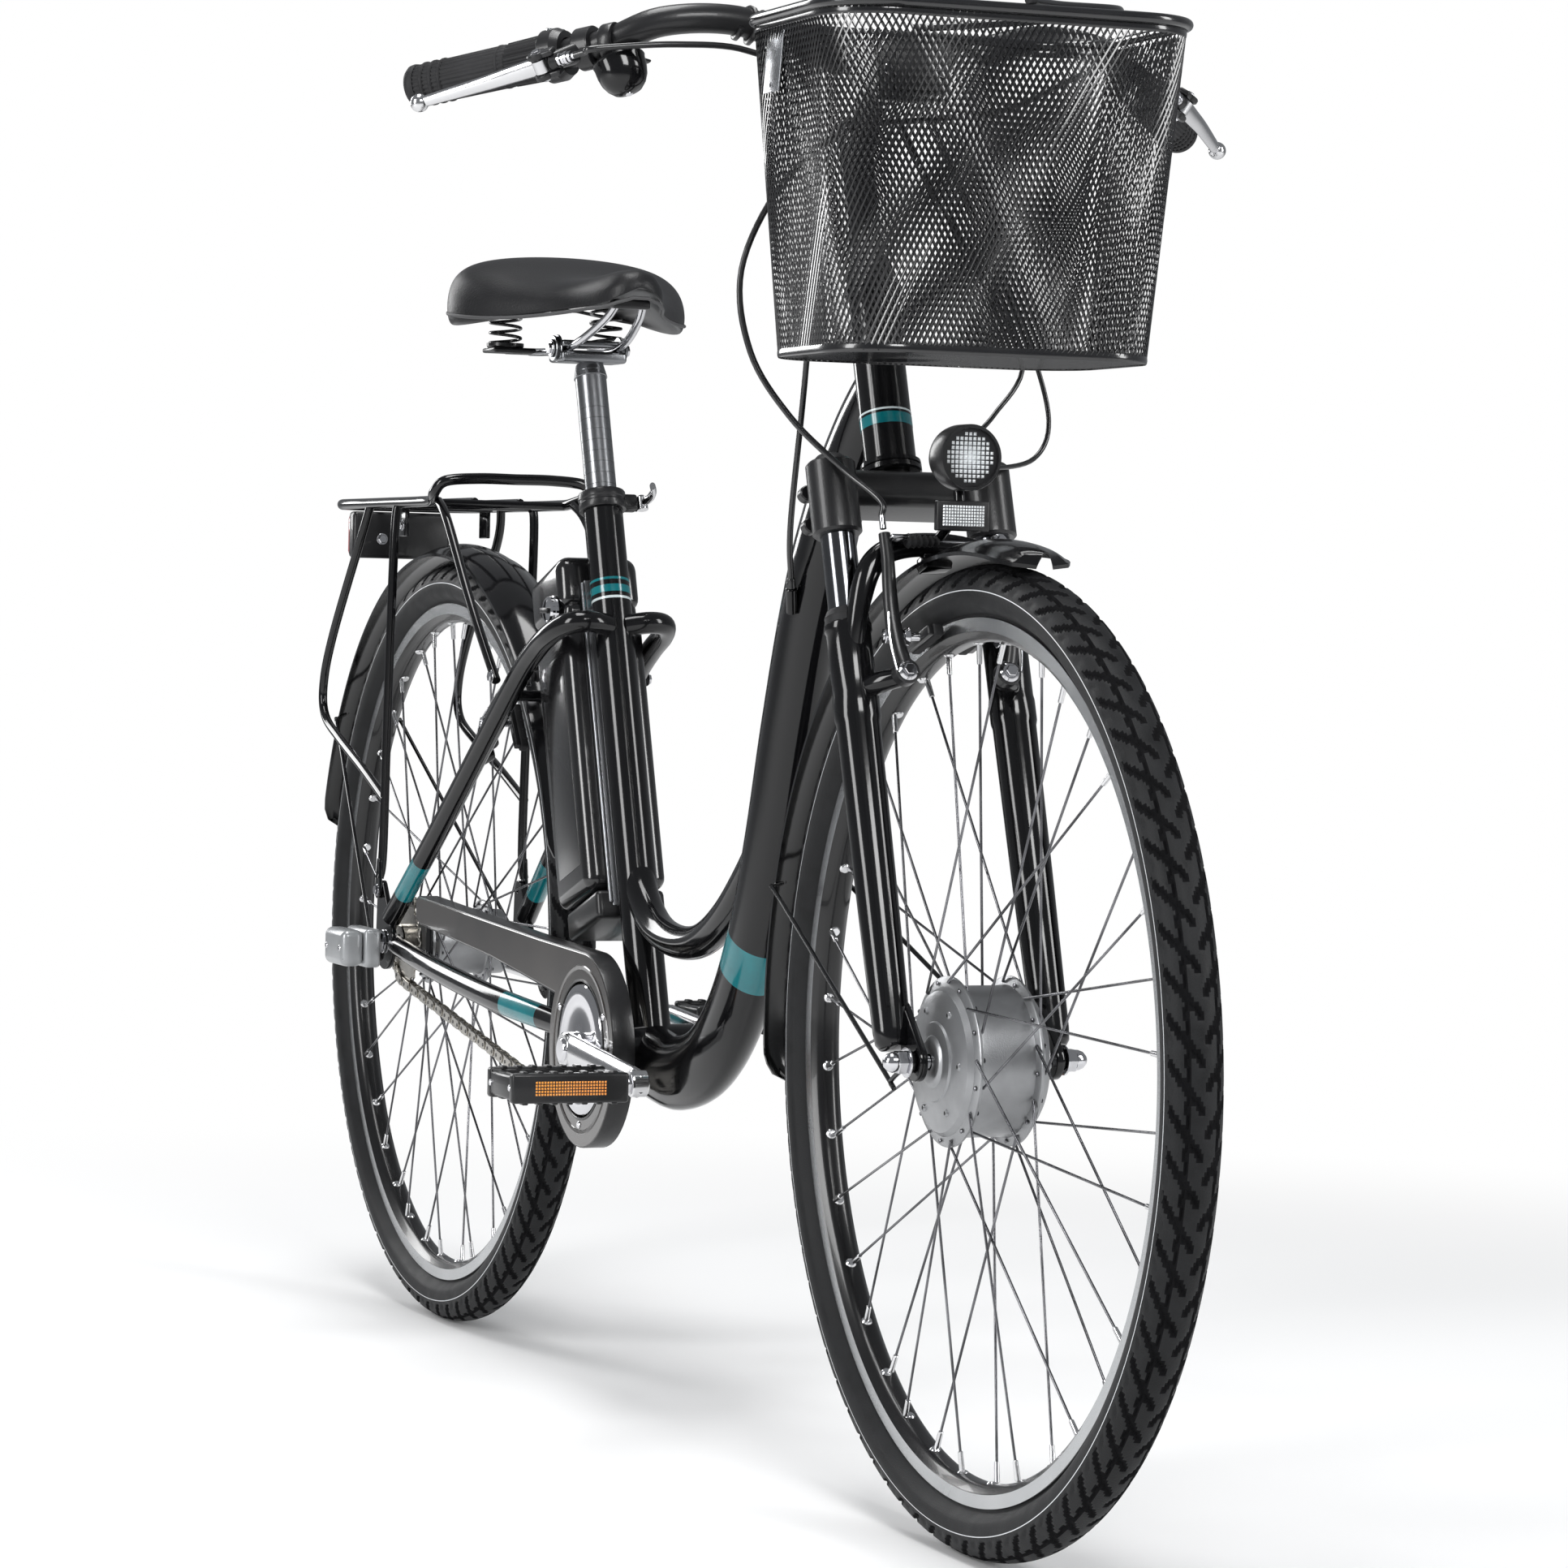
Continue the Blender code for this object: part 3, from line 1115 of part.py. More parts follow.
front_nut_inner = FORK_END_OUTER + FENDER_EYE_THICKNESS + 2 * GAP
front_axle_half = front_nut_inner + NUT_LENGTH + 10 * MM
front_axle = rod(AXLE_FRONT - LEFT * (front_axle_half - MM), AXLE_FRONT + LEFT * (front_axle_half - MM),
                 AXLE_RADIUS, 12)
for side in (-1, 1):
    nut_inner = AXLE_FRONT + LEFT * side * front_nut_inner
    nut_outer = nut_inner + LEFT * side * NUT_LENGTH
    cap_end = AXLE_FRONT + LEFT * side * front_axle_half
    nut = rod(nut_inner, nut_outer, NUT_RADIUS, 6)
    cap = rod(nut_outer - LEFT * side * MM, cap_end, 7.5 * MM, 8, 4.5 * MM)
    front_axle = join(front_axle, nut, cap)
finish(front_axle, "front_axle", SILVER, fork_slide)

light_start = LIGHT_PLACE - Vector((LIGHT_LENGTH / 2, 0, 0))
light_end = LIGHT_PLACE + Vector((LIGHT_LENGTH / 2, 0, 0))
light_rear = rod(light_start, LIGHT_PLACE, 12 * MM, 14, LIGHT_RADIUS)
light_front = rod(LIGHT_PLACE - Vector((MM, 0, 0)), light_end, LIGHT_RADIUS, 14, LIGHT_RADIUS - MM)
finish(join(light_rear, light_front), "headlight", BLACK_PLASTIC, fork_slide)

# Brakes


def brake_arm(name, foot, up, out, side, lift, carrier):
    """A long brake arm on its pin, with its pad. Foot is on the pin's axis, mid-arm."""
    outward = LEFT * side
    facing = outward.cross(up)
    placing = Matrix.Translation(foot) @ Matrix((outward, up, facing)).transposed().to_4x4()
    outline = link_outline((0, 0), (5 * MM, BRAKE_ARM_LENGTH), 9.5 * MM, 5.5 * MM, 4)
    arm = plate(outline, BRAKE_ARM_THICKNESS, placing)
    pad_outward = RIM_WIDTH / 2 + PAD_GAP + PAD_THICKNESS / 2 - BRAKE_BOSS_SPACING / 2
    pad_back = -copysign(4 * MM, facing.dot(out))
    pad_place = placing @ at(pad_outward, lift, pad_back)
    pad = block((PAD_THICKNESS, PAD_HEIGHT, PAD_LENGTH), pad_place)
    post = rod(placing @ Vector((pad_outward, lift, 0)), placing @ Vector((6 * MM, lift, 0)), 3.5 * MM, 8)
    bore = rod(foot - out * 0.02, foot + out * 0.02, BRAKE_PIN_RADIUS + GAP, 10)
    made = cut(join(arm, post, pad), bore)
    return finish(made, name, BLACK_PLASTIC, carrier)


def pad_lift(foot, up, axle):
    """How far above its pin an arm's pad meets the rim's braking wall."""
    ahead = foot - axle
    ahead.y = 0
    along_up = ahead.dot(up)
    across = ahead.length_squared - along_up ** 2
    return sqrt(PAD_RADIUS ** 2 - across) - along_up


for side, word in ((-1, "right"), (1, "left")):
    foot = steer_point(FORK_BRAKE_UP, FORK_BRAKE_FORE, side * BRAKE_BOSS_SPACING / 2)
    arm_axis = pivot("front_" + word + "_arm_axis", foot, fork_slide)
    lift = pad_lift(foot, STEER_UP, AXLE_FRONT)
    brake_arm("front_" + word + "_brake_arm", foot, STEER_UP, STEER_FORE, side, lift, arm_axis)
for side, word in ((-1, "right"), (1, "left")):
    foot = rear_boss(side, 23 * MM)
    arm_axis = pivot("rear_" + word + "_arm_axis", foot)
    lift = pad_lift(foot, STAY_UP, AXLE_REAR)
    brake_arm("rear_" + word + "_brake_arm", foot, STAY_UP, STAY_OUT, side, lift, arm_axis)

# Fenders


def fender(axle, start, end, steps):
    """A fender: an arched strip turned part of the way round an axle."""
    half = FENDER_WIDTH / 2
    outline = []
    for step in range(5):
        across = half * (step - 2) / 2
        outline.append((FENDER_RADIUS - FENDER_ARCH * (across / half) ** 2, 0, across))
    mesh = bpy.data.meshes.new("fender")
    mesh.from_pydata(outline, [(index, index + 1) for index in range(4)], [])
    strip = new_object("fender", mesh)
    screw = strip.modifiers.new("turn", "SCREW")
    screw.angle = start - end
    screw.steps = steps
    screw.render_steps = steps
    screw.use_merge_vertices = False
    wall = strip.modifiers.new("wall", "SOLIDIFY")
    wall.thickness = FENDER_SHEET
    wall.offset = 0
    return placed(strip, wheel_frame(axle) @ Matrix.Rotation(-start, 4, "Z"))


def fender_stay(axle, turn, eye, eye_face, side, detour=()):
    """A wire from a fender's edge, past any detour, to an eye at the axle."""
    edge = axle + Vector((cos(turn), 0, sin(turn))) * (FENDER_RADIUS - FENDER_ARCH * 0.55)
    edge += LEFT * side * FENDER_WIDTH * 0.36
    outside = edge + Vector((cos(turn), 0, sin(turn))) * -12 * MM
    outside.y = side * (FENDER_WIDTH / 2 + 4 * MM)
    middle = eye + LEFT * side * (eye_face + GAP + FENDER_EYE_THICKNESS / 2)
    passing = [Vector((point.x, middle.y, point.z)) for point in detour]
    wire = tube([edge, outside, *passing, middle], STAY_WIRE, 0)
    half = LEFT * side * FENDER_EYE_THICKNESS / 2
    ring = rod(middle - half, middle + half, EYE_RADIUS, 8)
    return [wire, ring]


FRONT_FENDER_TAB = steer_point(ARCH_UP - ARCH_RADIUS, ARCH_FORE)
UNDER_LEG = steer_point(-0.466, 8 * MM)
OFF_DROPOUT = FENDER_EYE + Vector((-0.0135, 0, 0.0104))

front_fender = fender(AXLE_FRONT, FRONT_FENDER_START, FRONT_FENDER_END, 12)
tab_top = (FRONT_FENDER_TAB - HEAD_BASE).dot(STEER_UP) - GAP
tab_place = STEER_FRAME @ at(ARCH_FORE, 0, tab_top - 5 * MM)
front_fender = join(front_fender, block((16 * MM, 22 * MM, 10 * MM), tab_place))
for side in (-1, 1):
    stay = fender_stay(AXLE_FRONT, FRONT_STAY_TURN, AXLE_FRONT, FORK_END_OUTER, side, [UNDER_LEG])
    front_fender = join(front_fender, *stay)
eye_bore = rod(AXLE_FRONT - LEFT * 0.1, AXLE_FRONT + LEFT * 0.1, AXLE_RADIUS + GAP, 12)
finish(cut(front_fender, eye_bore), "front_fender", BLACK_PAINT, fork_slide)

rear_fender = fender(AXLE_REAR, REAR_FENDER_START, REAR_FENDER_END, 15)
bridge_out = (BRIDGE_PLACE - AXLE_REAR).normalized()
bridge_turn = atan2(bridge_out.z, bridge_out.x)
bridge_gap = (BRIDGE_PLACE - AXLE_REAR).length - BRIDGE_RADIUS - GAP - FENDER_RADIUS
tab_place = Matrix.Translation(AXLE_REAR) @ Matrix.Rotation(-bridge_turn, 4, "Y")
tab_place = tab_place @ at(FENDER_RADIUS + bridge_gap / 2 - MM, 0, 0)
rear_fender = join(rear_fender, block((bridge_gap + 2 * MM, 22 * MM, 14 * MM), tab_place))
for side in (-1, 1):
    stay = fender_stay(AXLE_REAR, REAR_STAY_TURN, FENDER_EYE, DROPOUT_FACE, side, [OFF_DROPOUT])
    rear_fender = join(rear_fender, *stay)
finish(rear_fender, "rear_fender", BLACK_PAINT)

# Side stand
knuckle_half = STAND_OUT * STAND_KNUCKLE / 2
stand_axis = pivot("stand_axis", STAND_PIVOT)
knuckle = rod(STAND_PIVOT - knuckle_half, STAND_PIVOT + knuckle_half, 11 * MM, 16)
foot_place = STAND_PIVOT + STAND_FOLDED * STAND_LENGTH
leg = rod(STAND_PIVOT, foot_place, 8 * MM, 10, 6 * MM)
shoe = rod(foot_place - STAND_FOLDED * 30 * MM, foot_place + STAND_FOLDED * 4 * MM, 8.5 * MM, 10)
pin_bore = rod(STAND_PIVOT - STAND_OUT * 0.02, STAND_PIVOT + STAND_OUT * 0.02, 4 * MM + GAP, 10)
finish(cut(join(knuckle, leg, shoe), pin_bore), "kickstand", SILVER, stand_axis)

# Rack and rear light
RACK_RAIL = [
    (RACK_REAR, 0.030, RACK_HEIGHT), (RACK_REAR + 6 * MM, 0.056, RACK_HEIGHT),
    (RACK_REAR + 30 * MM, RACK_HALF_WIDTH, RACK_HEIGHT), (-0.020, RACK_HALF_WIDTH, RACK_HEIGHT),
    (0.110, RACK_HALF_WIDTH, RACK_HEIGHT), (0.138, 0.074, RACK_HEIGHT + 8 * MM),
    (0.149, 0.070, RACK_HEIGHT + 17 * MM), (0.152, 0.035, RACK_HEIGHT + 21 * MM),
]
EYE_WALL = 3 * MM
EYE_MIDDLE = DROPOUT_FACE + GAP + EYE_WALL / 2
SIDE_STAY = 0.0685
FRONT_STAY = [
    (0.004, 0.0650, RACK_HEIGHT), (0.002, SIDE_STAY, 0.735), (-0.008, SIDE_STAY, 0.560),
    (-0.013, SIDE_STAY, 0.440), (-0.0135, EYE_MIDDLE, 0.4130),
]
GUARD_STAY = [
    (-0.087, 0.0650, RACK_HEIGHT), (-0.110, SIDE_STAY, 0.728), (-0.190, SIDE_STAY, 0.640),
    (-0.222, SIDE_STAY, 0.592), (-0.215, SIDE_STAY, 0.560), (-0.160, SIDE_STAY, 0.538),
    (-0.080, SIDE_STAY, 0.512), (-0.010, SIDE_STAY, 0.487),
]
STRUT = [
    (0.125, 0.0650, RACK_HEIGHT), (0.160, 0.0670, 0.745), (0.240, 0.0695, 0.672), (0.316, 0.0695, 0.6050),
]


def rack_side():
    """The rack's left side: its rail, stays and strut."""
    rail = tube(rounded_path(RACK_RAIL, 1), RACK_TUBE, 1)
    front_stay = tube(rounded_path(FRONT_STAY, 1), STAY_TUBE, 0)
    guard = tube(rounded_path(GUARD_STAY, 1), STAY_TUBE, 0)
    strut = tube(rounded_path(STRUT, 1), STAY_TUBE, 0)
    outline = link_outline((RACK_EYE.x, RACK_EYE.z), (RACK_EYE_TAIL.x, RACK_EYE_TAIL.z), EYE_RADIUS, 4 * MM)
    eye = plate(outline, EYE_WALL, side_place(EYE_MIDDLE))
    return [rail, front_stay, guard, strut, eye]


left_side = rack_side()
right_side = [swap_side(piece) for piece in rack_side()]
rear_bar = rod((RACK_REAR, -0.031, RACK_HEIGHT), (RACK_REAR, 0.031, RACK_HEIGHT), RACK_TUBE, 6)
rack = join(left_side[0], rear_bar)
hoop_height = RACK_HEIGHT + 21 * MM
hoop = rod((0.152, -0.036, hoop_height), (0.152, 0.036, hoop_height), RACK_TUBE, 6)
rack = join(rack, right_side[0], hoop)
for ahead in (-0.110, 0.004, 0.100):
    bar_start = Vector((ahead, -RACK_HALF_WIDTH, RACK_HEIGHT - MM))
    bar_end = Vector((ahead, RACK_HALF_WIDTH, RACK_HEIGHT - MM))
    rack = join(rack, rod(bar_start, bar_end, STAY_TUBE - 0.4 * MM, 4))
for left in (-0.022, 0.022):
    slat_height = RACK_HEIGHT + 0.7 * MM
    slat = rod((RACK_REAR + MM, left, slat_height), (0.099, left, slat_height), STAY_TUBE, 4)
    rack = join(rack, slat)
rack = join(rack, *left_side[1:])
rack = join(rack, *right_side[1:])
finish(rack, "rear_rack", BLACK_PAINT)

LIGHT_BLOCK = (0.030, 0.098, 0.046)
light_top = RACK_HEIGHT - RACK_TUBE - GAP
rear_light = block(LIGHT_BLOCK, at(RACK_REAR - 4 * MM, 0, light_top - LIGHT_BLOCK[2] / 2), 6 * MM, 1)
finish(rear_light, "rear_light", RED)

# Stem and handlebar
STEM_TOP_UP = 0.275
STEM_TOP = steer_point(STEM_TOP_UP)
BAR_CLAMP = Vector((BAR_CLAMP_FORWARD, 0, BAR_CLAMP_HEIGHT))
BAR_STRAIGHT = 30 * MM
BEND_START = GRIP_END - GRIP_DIRECTION * 0.160
CLAMP_HALF = 21 * MM
CLAMP_RADIUS = 18 * MM
HALF_BAR = [
    BAR_CLAMP, BAR_CLAMP + LEFT * BAR_STRAIGHT, Vector((1.004, 0.072, 1.096)),
    Vector((1.009, 0.122, 1.109)), Vector((1.000, 0.177, 1.105)), BEND_START,
]


def bar_tube(radius, overhang=0.0):
    """The handlebar's outline, true for the bar or wider for what fits round it."""
    half = rounded_path(HALF_BAR[1:], 2) + [GRIP_END + GRIP_DIRECTION * overhang]
    other = [Vector((point.x, -point.y, point.z)) for point in half[::-1]]
    return tube(other + half, radius, 1)


def bar_point(side, back):
    """A point on the bar's axis, a distance in from a grip's end."""
    point = GRIP_END - GRIP_DIRECTION * back
    return Vector((point.x, side * point.y, point.z))


def sleeve_round_bar(side, outer, inner, radius, sides=16, end_radius=None):
    """A round sleeve on the straight of the bar, from one distance to another."""
    return rod(bar_point(side, outer), bar_point(side, inner), radius, sides, end_radius)


finish(bar_tube(BAR_RADIUS), "handlebar", BLACK_PAINT, steering)

stem = rod(steer_point(QUILL_BOTTOM), steer_point(STEERER_TOP + GAP + MM), QUILL_RADIUS, 16)
riser = rod(steer_point(STEERER_TOP + GAP), STEM_TOP + STEER_UP * 6 * MM, 13 * MM, 14)
extension = rod(STEM_TOP - STEER_UP * 8 * MM, BAR_CLAMP, 12 * MM, 14)
bar_clamp = rod(BAR_CLAMP - LEFT * CLAMP_HALF, BAR_CLAMP + LEFT * CLAMP_HALF, CLAMP_RADIUS, 14)
stem = join(stem, riser, extension, bar_clamp)
finish(cut(stem, bar_tube(BAR_RADIUS + GAP)), "stem", BLACK_PAINT, steering)

GRIP_START = -6 * MM
LEFT_GRIP_LENGTH = GRIP_LENGTH + SLEEVE_LENGTH
SLEEVE_START = GRIP_LENGTH + GAP
SLEEVE_END = SLEEVE_START + SLEEVE_LENGTH
HOUSING_START = SLEEVE_END + GAP
HOUSING_END = HOUSING_START + HOUSING_LENGTH
LEVER_CLAMP_START = 0.144
LEVER_CLAMP_END = LEVER_CLAMP_START + LEVER_CLAMP_LENGTH
for side, word, length in ((-1, "right", GRIP_LENGTH), (1, "left", LEFT_GRIP_LENGTH)):
    grip = sleeve_round_bar(side, GRIP_START, length, GRIP_RADIUS, 16, GRIP_RADIUS - MM)
    finish(cut(grip, bar_tube(BAR_RADIUS + GAP, GAP)), word + "_grip", RUBBER, steering)
sleeve_pivot = pivot("twist_axis", bar_point(-1, SLEEVE_START), steering)
sleeve = sleeve_round_bar(-1, SLEEVE_START, SLEEVE_END, GRIP_RADIUS + MM, 16)
sleeve_bore = BAR_RADIUS / cos(pi / 8) + GAP
bore = sleeve_round_bar(-1, SLEEVE_START - MM, SLEEVE_END + MM, sleeve_bore, 8)
finish(cut(sleeve, bore), "twist_sleeve", RUBBER, sleeve_pivot)
housing = sleeve_round_bar(-1, HOUSING_START, HOUSING_END, 20 * MM, 16)
finish(cut(housing, bar_tube(BAR_RADIUS + GAP)), "shifter_housing", BLACK_PLASTIC, steering)

LEVER_PIVOT = Vector((0.976, 0.262, 1.070))
LEVER_TIP = Vector((0.898, 0.331, 1.045))
LEVER_HALF_WIDTH = 5.5 * MM
BARREL_LENGTH = 26 * MM


def mirror_point(point, side):
    """The point on the left, or its image on the right."""
    return Vector((point.x, side * point.y, point.z))


def lever_axis(side):
    """The direction of a brake lever's pin."""
    along_lever = (LEVER_TIP - LEVER_PIVOT).normalized()
    to_bar = GRIP_END - LEVER_PIVOT
    to_bar = to_bar - along_lever * to_bar.dot(along_lever)
    return mirror_point(along_lever.cross(to_bar.normalized()), side)


for side, word in ((-1, "right"), (1, "left")):
    pin_place = mirror_point(LEVER_PIVOT, side)
    tip = mirror_point(LEVER_TIP, side)
    axis = lever_axis(side)
    clamp_middle = bar_point(side, (LEVER_CLAMP_START + LEVER_CLAMP_END) / 2)
    clamp = sleeve_round_bar(side, LEVER_CLAMP_START, LEVER_CLAMP_END, 16 * MM, 10)
    outward = (pin_place - tip).normalized()
    yoke_root = pin_place + outward * 4 * MM
    arm = rod(clamp_middle, yoke_root, 7 * MM, 8)
    yoke = rod(pin_place - axis * 11 * MM, pin_place + axis * 11 * MM, 8 * MM, 10)
    barrel_start = pin_place + outward * 4 * MM
    barrel = rod(barrel_start, pin_place + outward * BARREL_LENGTH, 4.5 * MM, 8)
    slot_start = pin_place - axis * (LEVER_HALF_WIDTH + GAP)
    slot_end = pin_place + axis * (LEVER_HALF_WIDTH + GAP)
    slot = rod(slot_start, slot_end, 13 * MM, 10)
    pin = rod(pin_place - axis * 9 * MM, pin_place + axis * 9 * MM, 2.5 * MM, 10)
    mount = join(clamp, arm, yoke, barrel)
    mount = cut(mount, bar_tube(BAR_RADIUS + GAP), slot)
    finish(join(mount, pin), word + "_lever_clamp", BLACK_PLASTIC, steering)
    lever_pivot = pivot(word + "_lever_axis", pin_place, steering)
    middle = pin_place.lerp(tip, 0.45) + (bar_point(side, 0.07) - pin_place.lerp(tip, 0.45)) * -0.06
    boss = rod(pin_place - axis * LEVER_HALF_WIDTH, pin_place + axis * LEVER_HALF_WIDTH, 6.5 * MM, 12)
    blade = tube(rounded_path([pin_place, middle, tip], 2), 4.5 * MM, 1)
    blade = join(boss, blade, ball(tip, 7 * MM, 8, 5))
    pin_hole = rod(pin_place - axis * 0.02, pin_place + axis * 0.02, 2.5 * MM + GAP, 10)
    finish(cut(blade, pin_hole), word + "_brake_lever", SILVER, lever_pivot)

# Bell
BELL_BACK = 0.172
BELL_RADIUS = 19.5 * MM
bell_middle = bar_point(-1, BELL_BACK)
bell_clamp = rod(bar_point(-1, BELL_BACK - 5 * MM), bar_point(-1, BELL_BACK + 5 * MM), 15 * MM, 12)
bell_down = Vector((0.35, 0.20, -0.90)).normalized()
bell_base = bell_middle + bell_down * 14 * MM
bell_dome = [(2 * MM, 28 * MM), (11 * MM, 25 * MM), (17 * MM, 17 * MM), (BELL_RADIUS, 6 * MM)]
bell_dome += [(BELL_RADIUS, 0), (2 * MM, 0)]
bell = turned(bell_dome, along(bell_base, bell_base + bell_down), 10, ring=True)
bell_core = rod(bell_base - bell_down * 3 * MM, bell_base + bell_down * 27 * MM, 3 * MM, 10)
bell = join(bell, bell_core, bell_clamp)
bell_aside = bell_down.cross(bar_point(-1, 0) - bell_middle).normalized()
ear = rod(bell_middle + bell_aside * 10 * MM, bell_middle + bell_aside * 25 * MM, 4 * MM, 8)
bell = cut(join(bell, ear), bar_tube(BAR_RADIUS + GAP))
finish(bell, "bell", BLACK_PAINT, steering)
striker_top = bell_middle + bell_aside * 21 * MM + bell_down * (4 * MM + GAP)
striker_pivot = pivot("bell_lever_axis", striker_top, steering)
striker = rod(striker_top, striker_top + bell_down * 4.5 * MM, 4 * MM, 10)
blade_start = striker_top + bell_down * 2.2 * MM
blade = rod(blade_start, blade_start + bell_aside * 24 * MM, 2 * MM, 6)
finish(join(striker, blade), "bell_lever", BLACK_PLASTIC, striker_pivot)

# Basket
basket_middle = Vector((BASKET_CENTRE_FORWARD, 0, BASKET_TOP_HEIGHT - BASKET_HEIGHT / 2))


def basket_ring(size, height, corner, steps):
    """Points round a rounded rectangle at a height."""
    points = []
    for index in range(4):
        middle_x = (size[0] / 2 - corner) * (1 if index in (0, 3) else -1)
        middle_y = (size[1] / 2 - corner) * (1 if index in (0, 1) else -1)
        for step in range(steps + 1):
            turn = pi / 2 * (index + step / steps)
            x = BASKET_CENTRE_FORWARD + middle_x + cos(turn) * corner
            points.append((x, middle_y + sin(turn) * corner, height))
    return points


basket_slide = pivot("basket_slide", basket_middle, steering)
shape = bmesh.new()
floor_ring = basket_ring(BASKET_BOTTOM, BASKET_TOP_HEIGHT - BASKET_HEIGHT, BASKET_CORNER, 2)
rim_ring = basket_ring(BASKET_TOP, BASKET_TOP_HEIGHT, BASKET_CORNER, 2)
floor_verts = [shape.verts.new(point) for point in floor_ring]
rim_verts = [shape.verts.new(point) for point in rim_ring]
shape.faces.new(floor_verts[::-1])
for index in range(len(floor_verts)):
    following = (index + 1) % len(floor_verts)
    corners = (floor_verts[index], floor_verts[following], rim_verts[following], rim_verts[index])
    shape.faces.new(corners)
tub = from_bmesh("tub", shape)
wall = tub.modifiers.new("wall", "SOLIDIFY")
wall.thickness = BASKET_WALL
wall.offset = -1
wall.use_even_offset = True
basket = frozen(tub)
rim_bar = tube([Vector(point) for point in rim_ring], BASKET_RIM_RADIUS, 1, closed=True)
HOOK_FACE = 1.0500
HOOK_WIDTH = 60 * MM
hook_size = (14 * MM, HOOK_WIDTH, 46 * MM)
HOOK_HEIGHT = 1.074
hook = block(hook_size, at(HOOK_FACE + hook_size[0] / 2, 0, HOOK_HEIGHT), 2 * MM, 1)
finish(join(basket, rim_bar, hook), "basket", BLACK_PAINT, basket_slide)

BRACKET_START = BAR_CLAMP_FORWARD + CLAMP_RADIUS + GAP
BRACKET_TOP = 1.088
BRACKET_WALL = 8 * MM
BUTTON_RADIUS = 5 * MM
BUTTON_TRAVEL = 2 * MM
root_length = HOOK_FACE - GAP - BRACKET_WALL / 2 - BRACKET_START
root_place = at(BRACKET_START + root_length / 2, 0, BRACKET_TOP - 10 * MM)
bracket_root = block((root_length, 44 * MM, 20 * MM), root_place)
face_place = at(HOOK_FACE - GAP - BRACKET_WALL / 2, 0, HOOK_HEIGHT)
bracket_face = block((BRACKET_WALL, HOOK_WIDTH + 4 * MM, 44 * MM), face_place, 2 * MM, 1)
button_foot = Vector((BRACKET_START + root_length / 2 - 2 * MM, 13 * MM, BRACKET_TOP - 4.5 * MM))
bore_foot = button_foot - Vector((0, 0, BUTTON_TRAVEL + 2 * GAP))
bore_top = button_foot + Vector((0, 0, 20 * MM))
button_bore = rod(bore_foot, bore_top, BUTTON_RADIUS + GAP, 14)
bracket = cut(join(bracket_root, bracket_face), button_bore)
finish(bracket, "basket_bracket", BLACK_PLASTIC, steering)
button_slide = pivot("release_button_slide", button_foot, steering)
button = rod(button_foot, button_foot + Vector((0, 0, 7 * MM)), BUTTON_RADIUS, 14)
finish(button, "release_button", RED, button_slide)

BAIL_WIRE = 3 * MM
BAIL_HEIGHT = BASKET_TOP_HEIGHT + BASKET_RIM_RADIUS + BAIL_WIRE - 0.5 * MM
bail_rear = Vector((BASKET_CENTRE_FORWARD - BASKET_TOP[0] / 2, 0, BAIL_HEIGHT))
bail_front = Vector((BASKET_CENTRE_FORWARD + BASKET_TOP[0] / 2, 0, BAIL_HEIGHT))
bail_axis = pivot("basket_handle_axis", bail_rear, basket_slide)
bail_path = [
    bail_rear, bail_rear + Vector((0.030, 0.038, 2 * MM)),
    Vector((BASKET_CENTRE_FORWARD - 0.034, 0.100, BAIL_HEIGHT + 7 * MM)),
    Vector((BASKET_CENTRE_FORWARD, 0.112, BAIL_HEIGHT + 8 * MM)),
    Vector((BASKET_CENTRE_FORWARD + 0.034, 0.100, BAIL_HEIGHT + 7 * MM)),
    bail_front + Vector((-0.030, 0.038, 2 * MM)), bail_front,
]
finish(tube(rounded_path(bail_path, 2), BAIL_WIRE, 1), "basket_handle", BLACK_PLASTIC, bail_axis)

# Brake cables
CABLE_RADIUS = 2.5 * MM


def barrel_way(side, reach):
    """A point straight on from the end of a lever's barrel."""
    outward = (LEVER_PIVOT - LEVER_TIP).normalized()
    return mirror_point(LEVER_PIVOT + outward * (BARREL_LENGTH + reach), side)


arm_top = FORK_BRAKE_UP + BRAKE_ARM_LENGTH + 5.5 * MM + GAP
FRONT_CABLE = [
    barrel_way(1, GAP), barrel_way(1, 0.011), barrel_way(1, 0.022),
    (1.040, 0.160, 1.086), (1.040, 0.085, 1.052), (1.036, 0.020, 1.041),
    (1.039, -0.045, 1.029), (1.047, -0.098, 0.985),
    (1.050, -0.129, 0.922), (1.054, -0.122, 0.862), (1.070, -0.096, 0.815),
    (1.095, -0.064, 0.778), steer_point(arm_top + 0.022, FORK_BRAKE_FORE, -0.0450),
    steer_point(arm_top + 0.010, FORK_BRAKE_FORE, -0.0450),
    steer_point(arm_top, FORK_BRAKE_FORE, -0.0450),
]
REAR_CABLE = [
    barrel_way(-1, GAP), barrel_way(-1, 0.011), barrel_way(-1, 0.022),
    (1.018, -0.172, 1.087), (1.016, -0.115, 1.086), (1.009, -0.066, 1.064),
    (0.994, -0.048, 0.985), (0.972, -0.045, 0.860), (0.935, -0.040, 0.742),
    CABLE_PORT + PORT_WAY * 0.012, CABLE_PORT + PORT_WAY * GAP,
]
front_cable = tube(rounded_path(FRONT_CABLE, 2), CABLE_RADIUS, 1)
finish(front_cable, "front_brake_cable", RUBBER, steering)
rear_cable = tube(rounded_path(REAR_CABLE, 2), CABLE_RADIUS, 1)
finish(rear_cable, "rear_brake_cable", RUBBER)
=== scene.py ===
from math import asin, atan2, copysign, cos, hypot, pi, radians, sin, sqrt, tau

import bmesh
import bpy
from mathutils import Matrix, Vector


